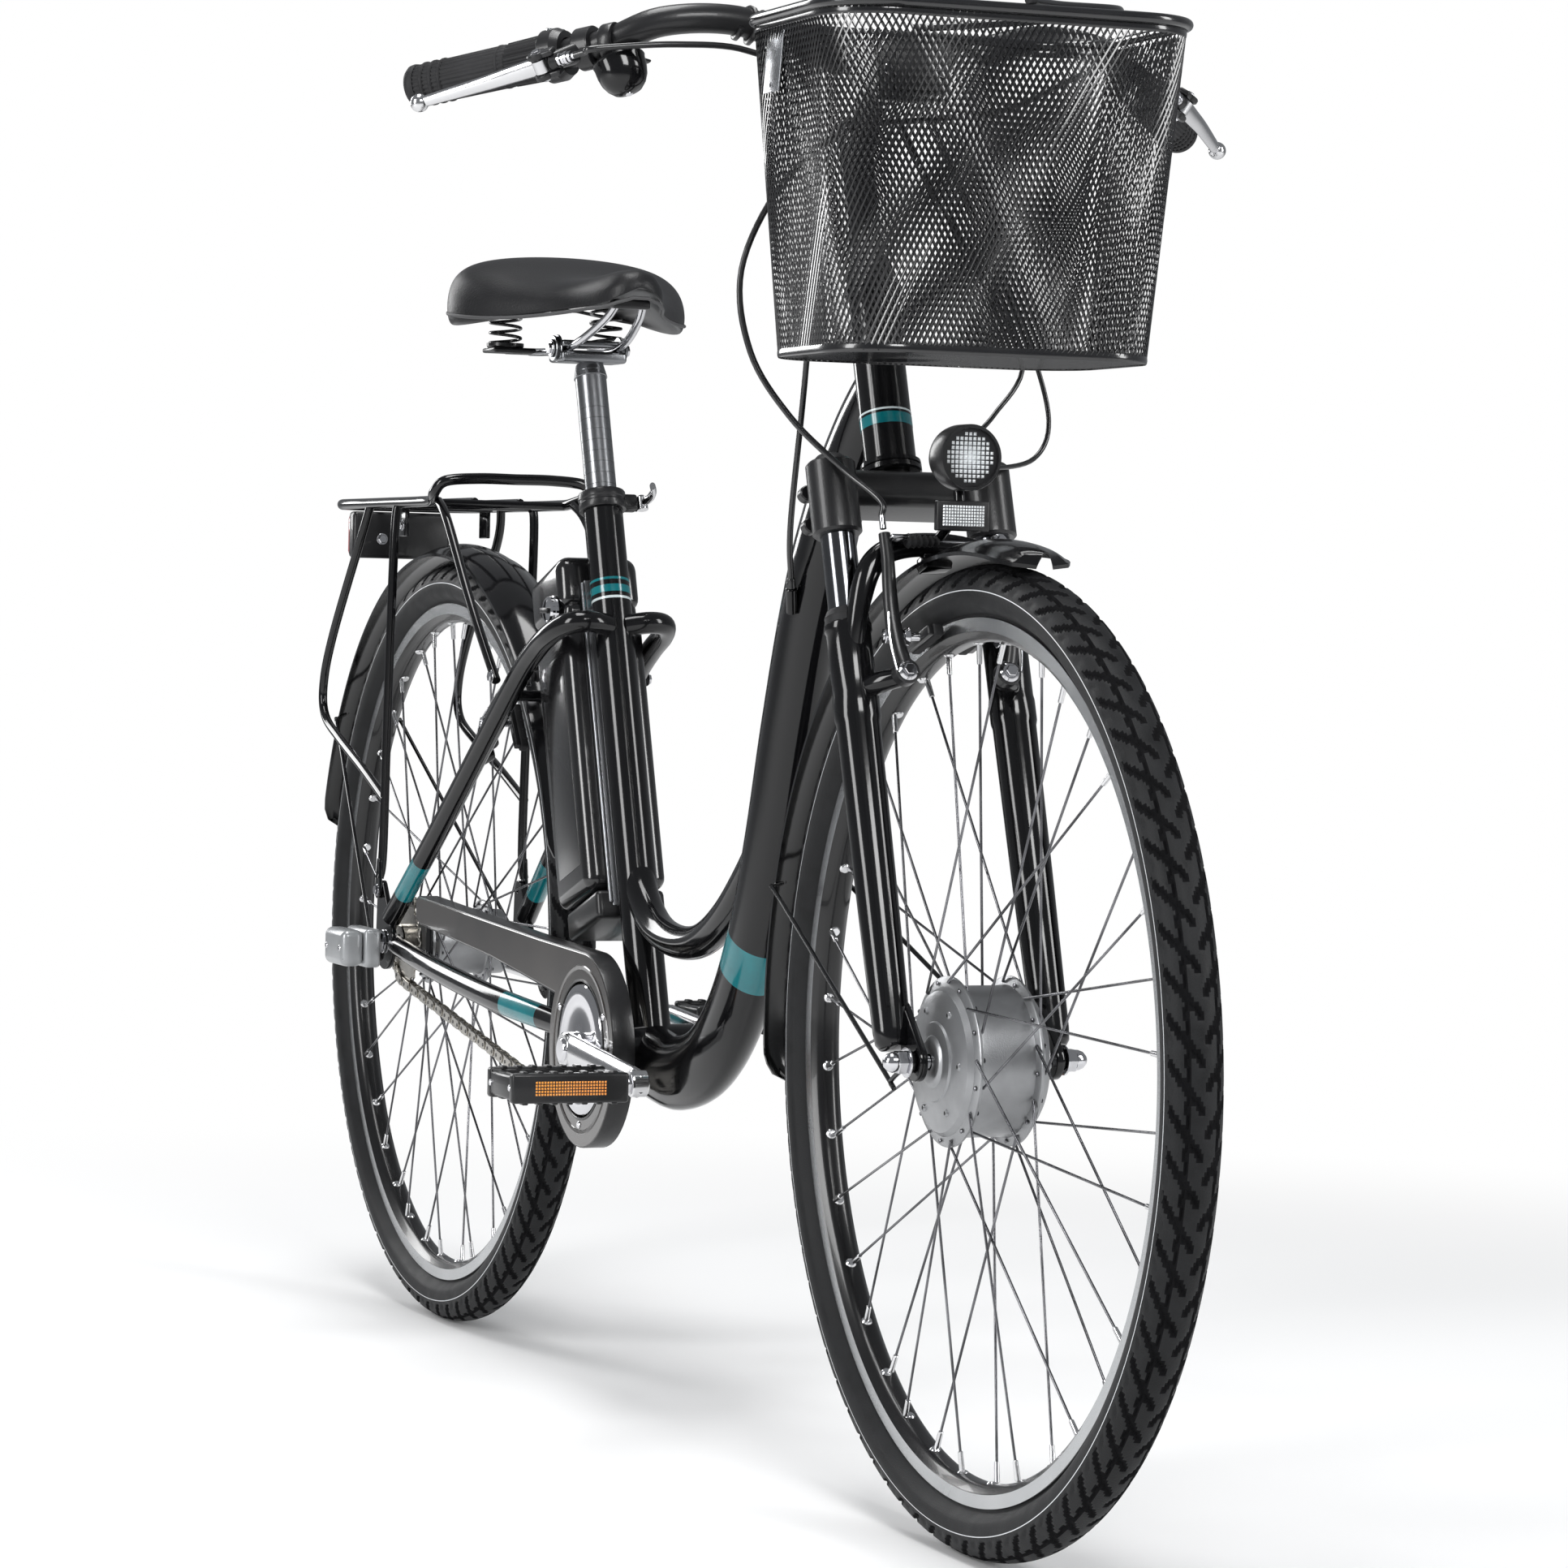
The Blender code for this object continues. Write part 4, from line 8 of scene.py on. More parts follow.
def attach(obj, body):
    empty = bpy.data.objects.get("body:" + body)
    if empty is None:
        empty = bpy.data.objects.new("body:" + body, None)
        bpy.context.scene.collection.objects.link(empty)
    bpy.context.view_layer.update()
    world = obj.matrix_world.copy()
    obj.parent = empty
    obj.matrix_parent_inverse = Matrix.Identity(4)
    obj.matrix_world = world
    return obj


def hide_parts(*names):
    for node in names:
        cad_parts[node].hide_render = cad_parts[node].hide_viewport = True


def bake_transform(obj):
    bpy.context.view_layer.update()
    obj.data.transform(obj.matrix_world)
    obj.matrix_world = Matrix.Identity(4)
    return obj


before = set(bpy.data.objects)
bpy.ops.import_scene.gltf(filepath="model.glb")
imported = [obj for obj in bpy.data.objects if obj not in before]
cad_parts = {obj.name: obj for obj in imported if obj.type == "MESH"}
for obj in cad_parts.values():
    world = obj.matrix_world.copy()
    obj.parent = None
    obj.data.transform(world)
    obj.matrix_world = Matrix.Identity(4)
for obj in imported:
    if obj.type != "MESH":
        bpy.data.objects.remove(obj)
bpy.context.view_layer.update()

# Stage: a white studio sweep. The floor is a matte sheet that turns into the plain white
# of the room just past the wheels, and it keeps the soft shadow under the tyres.
MM = 0.001
REAR_AXLE_X = -0.6146339061947819
GROUND_SIZE = 40.0
SHEET_FADE_START = 1.0
SHEET_FADE_END = 2.4
ROOM_WHITE = (1.0, 1.0, 1.0, 1.0)
FLOOR_WHITE = (0.88, 0.88, 0.88, 1.0)
FLOOR_DROP = -0.0006


def added(tree, kind, **values):
    """A new shader node with some of its inputs set."""
    made = tree.nodes.new("ShaderNode" + kind)
    for name, value in values.items():
        made.inputs[name.replace("_", " ")].default_value = value
    return made


def shown_to_camera(tree, plain, shown):
    """One shader for the light in the room, and another that the camera sees."""
    rays = added(tree, "LightPath")
    seen = added(tree, "Math")
    seen.operation = "MAXIMUM"
    choose = added(tree, "MixShader")
    tree.links.new(rays.outputs["Is Camera Ray"], seen.inputs[0])
    tree.links.new(rays.outputs["Is Transmission Ray"], seen.inputs[1])
    tree.links.new(seen.outputs[0], choose.inputs["Fac"])
    tree.links.new(plain.outputs[0], choose.inputs[1])
    tree.links.new(shown.outputs[0], choose.inputs[2])
    return choose.outputs[0]


ground_mesh = bpy.data.meshes.new("studio_floor")
half = GROUND_SIZE / 2
ground_corners = [(x * half, y * half, 0) for x, y in ((-1, -1), (1, -1), (1, 1), (-1, 1))]
ground_mesh.from_pydata(ground_corners, [], [(0, 1, 2, 3)])
ground = bpy.data.objects.new("studio_floor", ground_mesh)
bpy.context.scene.collection.objects.link(ground)
ground.location.z = FLOOR_DROP
ground_look = bpy.data.materials.new("studio_sheet")
ground_look.use_nodes = True
tree = ground_look.node_tree
sheet = tree.nodes["Principled BSDF"]
sheet.inputs["Base Color"].default_value = FLOOR_WHITE
sheet.inputs["Roughness"].default_value = 0.9
place = added(tree, "NewGeometry")
reach = added(tree, "VectorMath")
reach.operation = "LENGTH"
tree.links.new(place.outputs["Position"], reach.inputs[0])
fade = added(tree, "MapRange", From_Min=SHEET_FADE_START, From_Max=SHEET_FADE_END)
fade.interpolation_type = "SMOOTHSTEP"
tree.links.new(reach.outputs["Value"], fade.inputs["Value"])
glow = added(tree, "Emission", Color=ROOM_WHITE)
fading = added(tree, "MixShader")
tree.links.new(fade.outputs["Result"], fading.inputs["Fac"])
tree.links.new(sheet.outputs[0], fading.inputs[1])
tree.links.new(glow.outputs[0], fading.inputs[2])
shown = shown_to_camera(tree, sheet, fading)
tree.links.new(shown, tree.nodes["Material Output"].inputs["Surface"])
ground_mesh.materials.append(ground_look)

room = bpy.data.worlds.new("studio_room")
bpy.context.scene.world = room
room.use_nodes = True
tree = room.node_tree
soft = tree.nodes["Background"]
soft.inputs["Color"].default_value = (0.93, 0.96, 1.0, 1.0)
soft.inputs["Strength"].default_value = 0.25
shown = shown_to_camera(tree, soft, added(tree, "Background", Color=ROOM_WHITE))
tree.links.new(shown, tree.nodes["World Output"].inputs["Surface"])
bpy.context.scene.view_settings.view_transform = "Standard"


# Studio lamps: a tall soft box on each side of the bike, one strip ahead of it and one
# above. Gloss black shows little but these, as long bright edges on its tubes.
def soft_box(name, place, aim, size, power):
    """A flat lamp that looks at a point."""
    lamp = bpy.data.lights.new(name, "AREA")
    lamp.shape = "RECTANGLE"
    lamp.size, lamp.size_y = size
    lamp.energy = power
    made = bpy.data.objects.new(name, lamp)
    bpy.context.scene.collection.objects.link(made)
    made.location = place
    direction = Vector(aim) - Vector(place)
    made.rotation_euler = direction.to_track_quat("-Z", "Y").to_euler()


soft_box("lamp_right", (0.9, -3.4, 1.7), (0.0, 0.0, 0.6), (1.0, 2.4), 82)
soft_box("lamp_left", (2.6, 3.0, 1.9), (0.1, 0.0, 0.6), (0.9, 2.4), 72)
soft_box("lamp_ahead", (3.6, -0.2, 2.6), (0.2, 0.0, 0.5), (1.3, 1.0), 62)
soft_box("lamp_above", (-0.2, -0.4, 3.6), (0.0, 0.0, 0.5), (2.2, 1.0), 62)
soft_box("lamp_behind", (-3.4, -1.2, 1.8), (-0.3, 0.0, 0.6), (0.9, 2.0), 45)

# Camera: a long lens low in front of the bike, a little to its right, rolled by the
# same small angle as the photograph.
CAMERA_TURN = radians(68.49)
CAMERA_PITCH = radians(2.02)
CAMERA_ROLL = radians(1.32)
IMAGE_SIDE = 1932
FOCAL_PIXELS = 6296.26
SENSOR = 36.0
CENTRE_SHIFT = 3
CAMERA_PLACE = Vector((4.5651 + REAR_AXLE_X, -1.4713, 0.6759))
camera_data = bpy.data.cameras.new("photo_camera")
camera_data.sensor_width = SENSOR
camera_data.lens = FOCAL_PIXELS / IMAGE_SIDE * SENSOR
camera_data.shift_y = CENTRE_SHIFT / IMAGE_SIDE
camera_data.clip_start = 0.05
camera_data.clip_end = 60
camera = bpy.data.objects.new("photo_camera", camera_data)
bpy.context.scene.collection.objects.link(camera)
backward = Vector((sin(CAMERA_TURN) * cos(CAMERA_PITCH), -cos(CAMERA_TURN) * cos(CAMERA_PITCH),
                   sin(CAMERA_PITCH)))
level = Vector((cos(CAMERA_TURN), sin(CAMERA_TURN), 0))
upright = backward.cross(level)
across = level * cos(CAMERA_ROLL) + upright * sin(CAMERA_ROLL)
aloft = upright * cos(CAMERA_ROLL) - level * sin(CAMERA_ROLL)
view = Matrix((across, aloft, backward)).transposed().to_4x4()
view.translation = CAMERA_PLACE
camera.matrix_world = view
bpy.context.scene.camera = camera


# Tyres: black rubber with a worn sheen, a block tread cut in slanted chevrons across the
# crown and a pale reflective band round each side.
WHEELBASE = 1.236
TYRE_RADIUS = 0.3548
TYRE_HALF = 21 * MM
RIM_OUTER = 0.3170
RIM_INNER = 0.2992
RIM_HALF = 12 * MM
LEFT = Vector((0, 1, 0))
REAR_HUB = Vector((REAR_AXLE_X, 0, TYRE_RADIUS))
FRONT_HUB = Vector((REAR_AXLE_X + WHEELBASE, 0, TYRE_RADIUS))
TREAD_PITCHES = 72
ARC_STEPS = 720


def surface(name, colour, roughness, metallic=0.0, grain=0.0, grain_size=400.0, mottle=0.0,
            mottle_size=14.0, coat=0.0, second=None, wear=0.0, stretch=(1, 1, 1), shine=0.5):
    """A worked finish: a base colour broken by mottling, uneven gloss and a fine grain."""
    made = bpy.data.materials.new(name)
    made.use_nodes = True
    tree = made.node_tree
    link = tree.links.new
    shader = tree.nodes["Principled BSDF"]
    shader.inputs["Metallic"].default_value = metallic
    shader.inputs["Coat Weight"].default_value = coat
    shader.inputs["Specular IOR Level"].default_value = shine
    shader.inputs["Coat Roughness"].default_value = 0.03
    spot = added(tree, "TexCoord")
    scaled = added(tree, "Mapping", Scale=stretch)
    link(spot.outputs["Object"], scaled.inputs["Vector"])
    cloud = added(tree, "TexNoise", Scale=mottle_size, Detail=5.0)
    link(scaled.outputs["Vector"], cloud.inputs["Vector"])
    other = second if second else tuple(min(1.0, c * 1.5 + 0.004) for c in colour)
    tint = added(tree, "Mix")
    tint.data_type = "RGBA"
    tint.inputs["A"].default_value = (*colour, 1)
    tint.inputs["B"].default_value = (*other, 1)
    spread = added(tree, "MapRange", From_Min=0.35, From_Max=0.75, To_Max=mottle)
    link(cloud.outputs["Fac"], spread.inputs["Value"])
    link(spread.outputs["Result"], tint.inputs["Factor"])
    link(tint.outputs["Result"], shader.inputs["Base Color"])
    gloss = added(tree, "MapRange", To_Min=max(0.02, roughness * (0.85 - wear)),
                  To_Max=min(1.0, roughness * (1.15 + wear)))
    link(cloud.outputs["Fac"], gloss.inputs["Value"])
    link(gloss.outputs["Result"], shader.inputs["Roughness"])
    if grain > 0:
        fine = added(tree, "TexNoise", Scale=grain_size, Detail=3.0)
        link(scaled.outputs["Vector"], fine.inputs["Vector"])
        relief = added(tree, "Bump", Strength=grain, Distance=0.0004)
        link(fine.outputs["Fac"], relief.inputs["Height"])
        link(relief.outputs["Normal"], shader.inputs["Normal"])
    return made


def piece(shape, name, body, looks, replaces=(), angle=32, tidy=True, bends_to=None):
    """A bmesh as a finished piece: shaded, painted, riding on a body of the bike. When bends_to
    is given, its placing is baked into its mesh instead and it rides on no body; the second
    body and the points in bends_to are not used."""
    if tidy:
        bmesh.ops.recalc_face_normals(shape, faces=shape.faces)
    mesh = bpy.data.meshes.new(name)
    shape.to_mesh(mesh)
    shape.free()
    for look in looks:
        mesh.materials.append(look)
    mesh.shade_smooth()
    mesh.set_sharp_from_angle(angle=radians(angle))
    made = bpy.data.objects.new(name, mesh)
    bpy.context.scene.collection.objects.link(made)
    if bends_to:
        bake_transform(made)
    else:
        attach(made, body)
    if replaces:
        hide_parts(*replaces)
    return made


def wheel_place(axle):
    """A placing at an axle whose Z axis points to the left of the bike."""
    return Matrix.Translation(axle) @ Matrix.Rotation(-pi / 2, 4, "X")


def spun(angle, radius, height=0.0):
    """A point at an angle and a distance round Z, at a height."""
    return Vector((cos(angle) * radius, sin(angle) * radius, height))


def turn(shape, profile, placing, steps=96, closed=True, look=0, looks=None):
    """Turns a profile of (radius, height) points in millimetres round Z. Looks gives a finish
    to each edge."""
    rings = []
    for step in range(steps):
        angle = tau * step / steps
        rings.append([shape.verts.new(placing @ (spun(angle, radius, height) * MM))
                      for radius, height in profile])
    count = len(profile)
    for step in range(steps):
        near = rings[step]
        far = rings[(step + 1) % steps]
        for index in range(count if closed else count - 1):
            following = (index + 1) % count
            face = shape.faces.new((near[index], far[index], far[following], near[following]))
            face.material_index = looks[index] if looks else look
    if not closed:
        for index in (0, count - 1):
            if profile[index][0] > 0:
                cap = shape.faces.new([ring[index] for ring in rings])
                cap.material_index = looks[min(index, count - 2)] if looks else look
    bmesh.ops.remove_doubles(shape, verts=[v for ring in rings for v in ring], dist=1e-7)


def along(origin, way):
    """A placing whose Z axis runs along a direction."""
    return Matrix.Translation(origin) @ way.normalized().to_track_quat("Z", "Y").to_matrix().to_4x4()


def bar(shape, start, end, radius, end_radius=None, sides=32, look=0, edge=0.5):
    """A round bar or cone with softened ends, its radii and edge in millimetres."""
    start = Vector(start)
    way = Vector(end) - start
    last = radius if end_radius is None else end_radius
    length = way.length / MM
    edge = min(edge, length * 0.3, radius * 0.5, last * 0.5)
    profile = [(radius - edge, 0), (radius, edge), (last, length - edge), (last - edge, length)]
    turn(shape, profile, along(start, way), sides, False, look)


def rod(shape, foot, way, low, high, *finish):
    """A bar on the line from a foot along a way, between two distances in millimetres."""
    bar(shape, foot + way * low * MM, foot + way * high * MM, *finish)


TYRE_RUBBER = surface("tyre_rubber", (0.008, 0.0083, 0.009), 0.55, grain=0.5, grain_size=900,
                      mottle=0.8, mottle_size=55, second=(0.018, 0.0185, 0.020), wear=0.2, shine=0.2)
# Painted shade: the groove faces get a darker rubber than the blocks, standing in for the shade inside the
# shallow grooves.
GROOVE_PAINTED_SHADE = surface("tyre_groove_painted_shade", (0.003, 0.003, 0.0035), 0.9, grain=0.3, grain_size=900,
                      mottle=0.6, mottle_size=55, second=(0.009, 0.009, 0.010), shine=0.1)
REFLECT_BAND = surface("reflecting_band", (0.66, 0.68, 0.70), 0.35, grain=0.2, grain_size=2200,
                       mottle=0.5, mottle_size=300, second=(0.46, 0.48, 0.50))


def block_height(turn_share, across):
    """The tread's height at a place: blocks between chevron grooves, over a closed base."""
    lean = abs(across)
    phase = (turn_share * TREAD_PITCHES + lean * 1.15 + (0.5 if across > 0 else 0.0)) % 1.0
    step = (phase * 2) % 1.0
    chevron = phase < 0.15 and lean > 0.05
    zigzag = 0.34 + 0.10 * abs(2 * step - 1)
    if chevron or zigzag <= lean < zigzag + 0.075:
        return 0.0
    return 0.5 if lean > 0.85 and 0.45 < phase < 0.65 else 1.0


def tyre(name, axle, body, node):
    """One tyre: a ring of the section, with its tread lifted from the crown."""
    shape = bmesh.new()
    placing = wheel_place(axle)
    middle = TYRE_RADIUS - TYRE_HALF
    depth = 1.5 * MM
    crown_half = radians(74)
    crown_steps = 34
    bead = RIM_HALF - 1.6 * MM
    rows = []
    for index in range(crown_steps + 1):
        share = 2 * index / crown_steps - 1
        rows.append((share * crown_half, share))
    side_wall = [(middle + cos(radians(t)) * (TYRE_HALF - depth), sin(radians(t)) * (TYRE_HALF - 0.3 * MM))
                 for t in (77, 79, 84, 86, 93, 101, 110, 120)]
    rings = []
    for step in range(ARC_STEPS):
        angle = tau * step / ARC_STEPS
        ring = [(radius, -height) for radius, height in side_wall[::-1]]
        for lean, share in rows:
            tall = TYRE_HALF - depth + depth * block_height(step / ARC_STEPS, share)
            ring.append((middle + cos(lean) * tall, sin(lean) * tall))
        ring += side_wall
        ring += [(RIM_OUTER + 1.5 * MM, bead), (RIM_OUTER - 4 * MM, bead - 1 * MM),
                 (RIM_OUTER - 4 * MM, -bead + 1 * MM), (RIM_OUTER + 1.5 * MM, -bead)]
        rings.append([shape.verts.new(placing @ spun(angle, r, h)) for r, h in ring])
    count = len(rings[0])
    side_count = len(side_wall)
    band_rows = {side_count - 4, side_count + crown_steps + 3}
    for step in range(ARC_STEPS):
        near = rings[step]
        far = rings[(step + 1) % ARC_STEPS]
        for index in range(count):
            following = (index + 1) % count
            face = shape.faces.new((near[index], far[index], far[following], near[following]))
            face.material_index = 1 if index in band_rows else 0
            row = index - side_count
            if 0 <= row < crown_steps:
                tall = [block_height(at / ARC_STEPS, rows[edge][1]) for at in (step, step + 1)
                        for edge in (row, row + 1)]
                # Faces in a groove take the darker groove rubber: painted shade for the groove's depth.
                face.material_index = 2 if min(tall) == 0.0 else 0
    piece(shape, name, body, [TYRE_RUBBER, REFLECT_BAND, GROOVE_PAINTED_SHADE], [node], 30, False)


tyre("front_tyre_tread", FRONT_HUB, "front_wheel", "front_tyre")
tyre("rear_tyre_tread", REAR_HUB, "rear_wheel", "rear_tyre")

# Rims: double-walled black alloy. Each side wall is machined bright where the brake pads
# run, and a small steel eyelet seats every spoke nipple.
RIM_BLACK = surface("rim_black", (0.006, 0.006, 0.0065), 0.24, grain=0.1, grain_size=900,
                    mottle=0.4, coat=0.2, shine=0.35)
RIM_BRAKE_BAND = surface("rim_brake_band", (0.50, 0.51, 0.52), 0.24, 1.0, grain=0.35,
                         grain_size=1600, mottle=0.5, second=(0.42, 0.43, 0.44), wear=0.3)
NIPPLE_STEEL = surface("nipple_steel", (0.72, 0.72, 0.73), 0.2, 1.0, grain=0.1, mottle=0.4,
                       second=(0.45, 0.45, 0.46))
SPOKE_COUNT = 36
SPOKE_PHASE = 0.41


def rim(name, axle, body, node):
    """One rim, hollow to the tyre, with its eyelets."""
    shape = bmesh.new()
    outer, inner, half = RIM_OUTER / MM, RIM_INNER / MM, RIM_HALF / MM
    wall = half - 1.6
    bed = outer - 6
    half_section = [(bed, 0), (bed, wall), (outer - 0.4, wall), (outer, wall + 0.4), (outer, half - 0.5),
                    (outer - 0.6, half), (outer - 10.5, half - 0.2), (outer - 11.3, half - 1),
                    (inner + 3, half * 0.72), (inner + 0.8, half * 0.48), (inner, half * 0.22), (inner, 0)]
    other_half = [(radius, -height) for radius, height in half_section[-2:0:-1]]
    profile = half_section + other_half
    looks = [0] * len(profile)
    looks[5] = 1
    looks[len(profile) - 6] = 1
    turn(shape, profile, wheel_place(axle), 288, True, 0, looks)
    placing = wheel_place(axle)
    for index in range(SPOKE_COUNT):
        angle = tau * (index + SPOKE_PHASE) / SPOKE_COUNT
        foot = placing @ spun(angle, RIM_INNER - 1.2 * MM)
        bar(shape, foot, placing @ spun(angle, RIM_INNER + 1 * MM), 3.6, 4.4, 12, 2)
    bmesh.ops.recalc_face_normals(shape, faces=shape.faces)
    piece(shape, name, body, [RIM_BLACK, RIM_BRAKE_BAND, NIPPLE_STEEL], [node], 30, False)


rim("front_rim_band", FRONT_HUB, "front_wheel", "front_rim")
rim("rear_rim_band", REAR_HUB, "rear_wheel", "rear_rim")

# Spokes: 2 mm stainless wire with an elbow in the hub flange and a bright nipple at the
# rim. Each crosses two or three others on its way.
SPOKE_STEEL = surface("spoke_steel", (0.07, 0.07, 0.075), 0.24, 1.0, grain=0.12, grain_size=1500,
                      mottle=0.8, mottle_size=20, second=(0.34, 0.34, 0.36))
SPOKE_RADIUS = 1.0


def spokes(name, axle, flanges, hole_radius, crossing, body, node):
    """All the spokes of one wheel, each with its nipple and its elbow."""
    shape = bmesh.new()
    placing = wheel_place(axle)
    per_flange = SPOKE_COUNT // 2
    for index in range(SPOKE_COUNT):
        rim_turn = tau * (index + SPOKE_PHASE) / SPOKE_COUNT
        flange_left = flanges[index % 2]
        leading = 1 if (index // 2) % 2 == 0 else -1
        hub_turn = rim_turn + leading * tau * crossing / per_flange
        offset = 3.4 * MM * leading
        head_left = copysign(2.15 * MM, flange_left) + 1.25 * MM * leading
        foot = placing @ spun(hub_turn, hole_radius, flange_left + offset)
        head = placing @ spun(rim_turn, RIM_INNER - 0.5 * MM, head_left)
        way = (head - foot).normalized()
        neck = head - way * 13 * MM
        bar(shape, foot, neck, SPOKE_RADIUS, None, 10, 0, 0.1)
        bar(shape, neck - way * 1.5 * MM, head, 1.9, 2.2, 10, 1, 0.3)
        hole = placing @ spun(hub_turn, hole_radius, flange_left - 0.9 * offset)
        bar(shape, foot, hole, SPOKE_RADIUS, None, 10, 0, 0.1)
        button = hole + (hole - foot).normalized() * 0.9 * MM
        bar(shape, hole, button, 1.9, 1.2, 10, 0, 0.2)
    piece(shape, name, body, [SPOKE_STEEL, NIPPLE_STEEL], [node], 38, False)


MOTOR_FLANGES = (18 * MM, -29 * MM)
MOTOR_HOLES = 57 * MM
REAR_FLANGES = (26 * MM, -26 * MM)
REAR_HOLES = 35 * MM
spokes("front_spoke_set", FRONT_HUB, MOTOR_FLANGES, MOTOR_HOLES, 2, "front_wheel", "front_spokes")
spokes("rear_spoke_set", REAR_HUB, REAR_FLANGES, REAR_HOLES, 3, "rear_wheel", "rear_spokes")

# Front hub motor: a drum of cast alloy with a satin silver coat, drilled flanges for the
# spokes, a bolted side cover with raised steps and a small bearing nose.
HUB_SILVER = surface("hub_silver", (0.33, 0.335, 0.345), 0.34, 0.85, grain=0.3, grain_size=1100,
                     mottle=0.6, mottle_size=40, second=(0.23, 0.235, 0.24), wear=0.15)
# Painted shade: a near-black finish put where holes, sockets, slots and slits would be, standing in for
# the shade inside them.
HOLE_PAINTED_SHADE = surface("hole_painted_shade", (0.01, 0.01, 0.011), 0.7, grain=0.1, mottle=0.3)


def spoke_holes(shape, place, flanges, hole_radius, size):
    """A dark disc on both faces of a flange for each spoke's hole, painted shade in place of the open
    hole.
    """
    for index in range(SPOKE_COUNT):
        hub_turn = tau * (index + SPOKE_PHASE) / SPOKE_COUNT
        hole = place @ spun(hub_turn, hole_radius, flanges[index % 2] - 1.7 * MM)
        rod(shape, hole, LEFT, 0, 3.4, size, None, 12, 1, 0.1)


shape = bmesh.new()
place = wheel_place(FRONT_HUB)
motor_profile = [(6, 40), (16.5, 40), (18, 38.6), (19, 35), (30, 33), (31, 31.4), (47, 29.5), (50.5, 27),
                 (53.5, 21), (59.8, 19.8), (61, 18.8), (61, 17.2), (59.8, 16.4), (54.8, 15), (54.2, 9),
                 (54.2, -20), (54.8, -26), (59.8, -27.4), (61, -28.2), (61, -29.8), (59.8, -30.7),
                 (53.5, -32), (50.5, -36), (46, -37.5), (29, -39), (28, -40.6), (19, -41.5), (17.4, -43.2),
                 (15, -44), (6, -44)]
turn(shape, motor_profile, place, 120, True)
spoke_holes(shape, place, MOTOR_FLANGES, MOTOR_HOLES, 1.7)
for index in range(6):
    screw_turn = tau * index / 6
    for left, out in ((31.5 * MM, 1), (-38.2 * MM, -1)):
        head = place @ spun(screw_turn, 40 * MM, left)
        rod(shape, head, LEFT * out, -1.5, 1.2, 3.2, 2.6, 16, 0)
        # Each screw's hex socket is a dark hexagon: painted shade for the recess.
        rod(shape, head, LEFT * out, 0.9, 1.3, 1.5, None, 6, 1, 0.05)
piece(shape, "hub_motor_shell", "front_wheel", [HUB_SILVER, HOLE_PAINTED_SHADE],
      ["front_hub_motor"], 30)

# Rear hub: a smaller gear hub with a turned alloy shell. Its drum is plain, its flanges are
# drilled for the spokes and its ends are stepped.
shape = bmesh.new()
place = wheel_place(REAR_HUB)
rear_profile = [(6, 56), (11, 56), (12, 55), (20, 51), (28, 45), (30, 43.5), (31, 29), (37.8, 27.6),
                (39, 26.8), (39, 25.2), (37.8, 24.4), (31, 23), (30, 21), (30, -21), (31, -23),
                (37.8, -24.4), (39, -25.2), (39, -26.8), (37.8, -27.6), (31, -29), (27, -33), (21, -39),
                (6, -40)]
turn(shape, rear_profile, place, 96, True)
spoke_holes(shape, place, REAR_FLANGES, REAR_HOLES, 1.6)
piece(shape, "gear_hub_shell", "rear_wheel", [HUB_SILVER, HOLE_PAINTED_SHADE], ["rear_hub"], 30)

# Main frame: welded alloy tubes in deep gloss black. The bowed down tube is wide and
# oval, a short brace ties it to the seat tube, and thin teal bands ring the tubes.
PAINT = surface("frame_paint", (0.0035, 0.0035, 0.004), 0.12, grain=0.06, grain_size=220,
                mottle=0.5, second=(0.006, 0.006, 0.007), coat=0.12, shine=0.36)
TEAL = surface("teal_band", (0.0, 0.115, 0.135), 0.18, grain=0.05, grain_size=220, mottle=0.5,
               mottle_size=30, second=(0.0, 0.27, 0.30), coat=0.5)
TEAL_PALE = surface("pale_line", (0.55, 0.62, 0.63), 0.25, grain=0.05, mottle=0.3, coat=0.4)
SEAT_ANGLE = radians(71.1)
HEAD_ANGLE = radians(70.6)
BB = Vector((REAR_AXLE_X + 0.545, 0, 0.302))
HEAD_BASE = Vector((REAR_AXLE_X + 1.037, 0, 0.775))
SEAT_UP = Vector((-cos(SEAT_ANGLE), 0, sin(SEAT_ANGLE)))
SEAT_FORE = Vector((sin(SEAT_ANGLE), 0, cos(SEAT_ANGLE)))
STEER_UP = Vector((-cos(HEAD_ANGLE), 0, sin(HEAD_ANGLE)))
STEER_FORE = Vector((sin(HEAD_ANGLE), 0, cos(HEAD_ANGLE)))


def bike(x, y, z):
    """A place measured forward of the rear axle, to the left and up from the ground."""
    return Vector((x + REAR_AXLE_X, y, z))


def seat_point(up, fore=0.0, left=0.0):
    """A place given along, ahead of and to the left of the seat tube's axis."""
    return BB + SEAT_UP * up + SEAT_FORE * fore + LEFT * left


def steer_point(up, fore=0.0, left=0.0):
    """A place given along, ahead of and to the left of the steering axis."""
    return HEAD_BASE + STEER_UP * up + STEER_FORE * fore + LEFT * left


def smooth(points, steps=6, side=1):
    """Points on a smooth curve through vectors, or through places given as for bike, which a
    side of -1 mirrors to the right."""
    knots = [bike(p[0], side * p[1], p[2]) if isinstance(p, tuple) else p for p in points]
    path = []
    for index in range(len(knots) - 1):
        before = knots[max(index - 1, 0)]
        first = knots[index]
        second = knots[index + 1]
        after = knots[min(index + 2, len(knots) - 1)]
        for step in range(steps):
            t = step / steps
            path.append(0.5 * (2 * first + (second - before) * t
                               + (2 * before - 5 * first + 4 * second - after) * t ** 2
                               + (3 * first - before - 3 * second + after) * t ** 3))
    path.append(knots[-1])
    return path


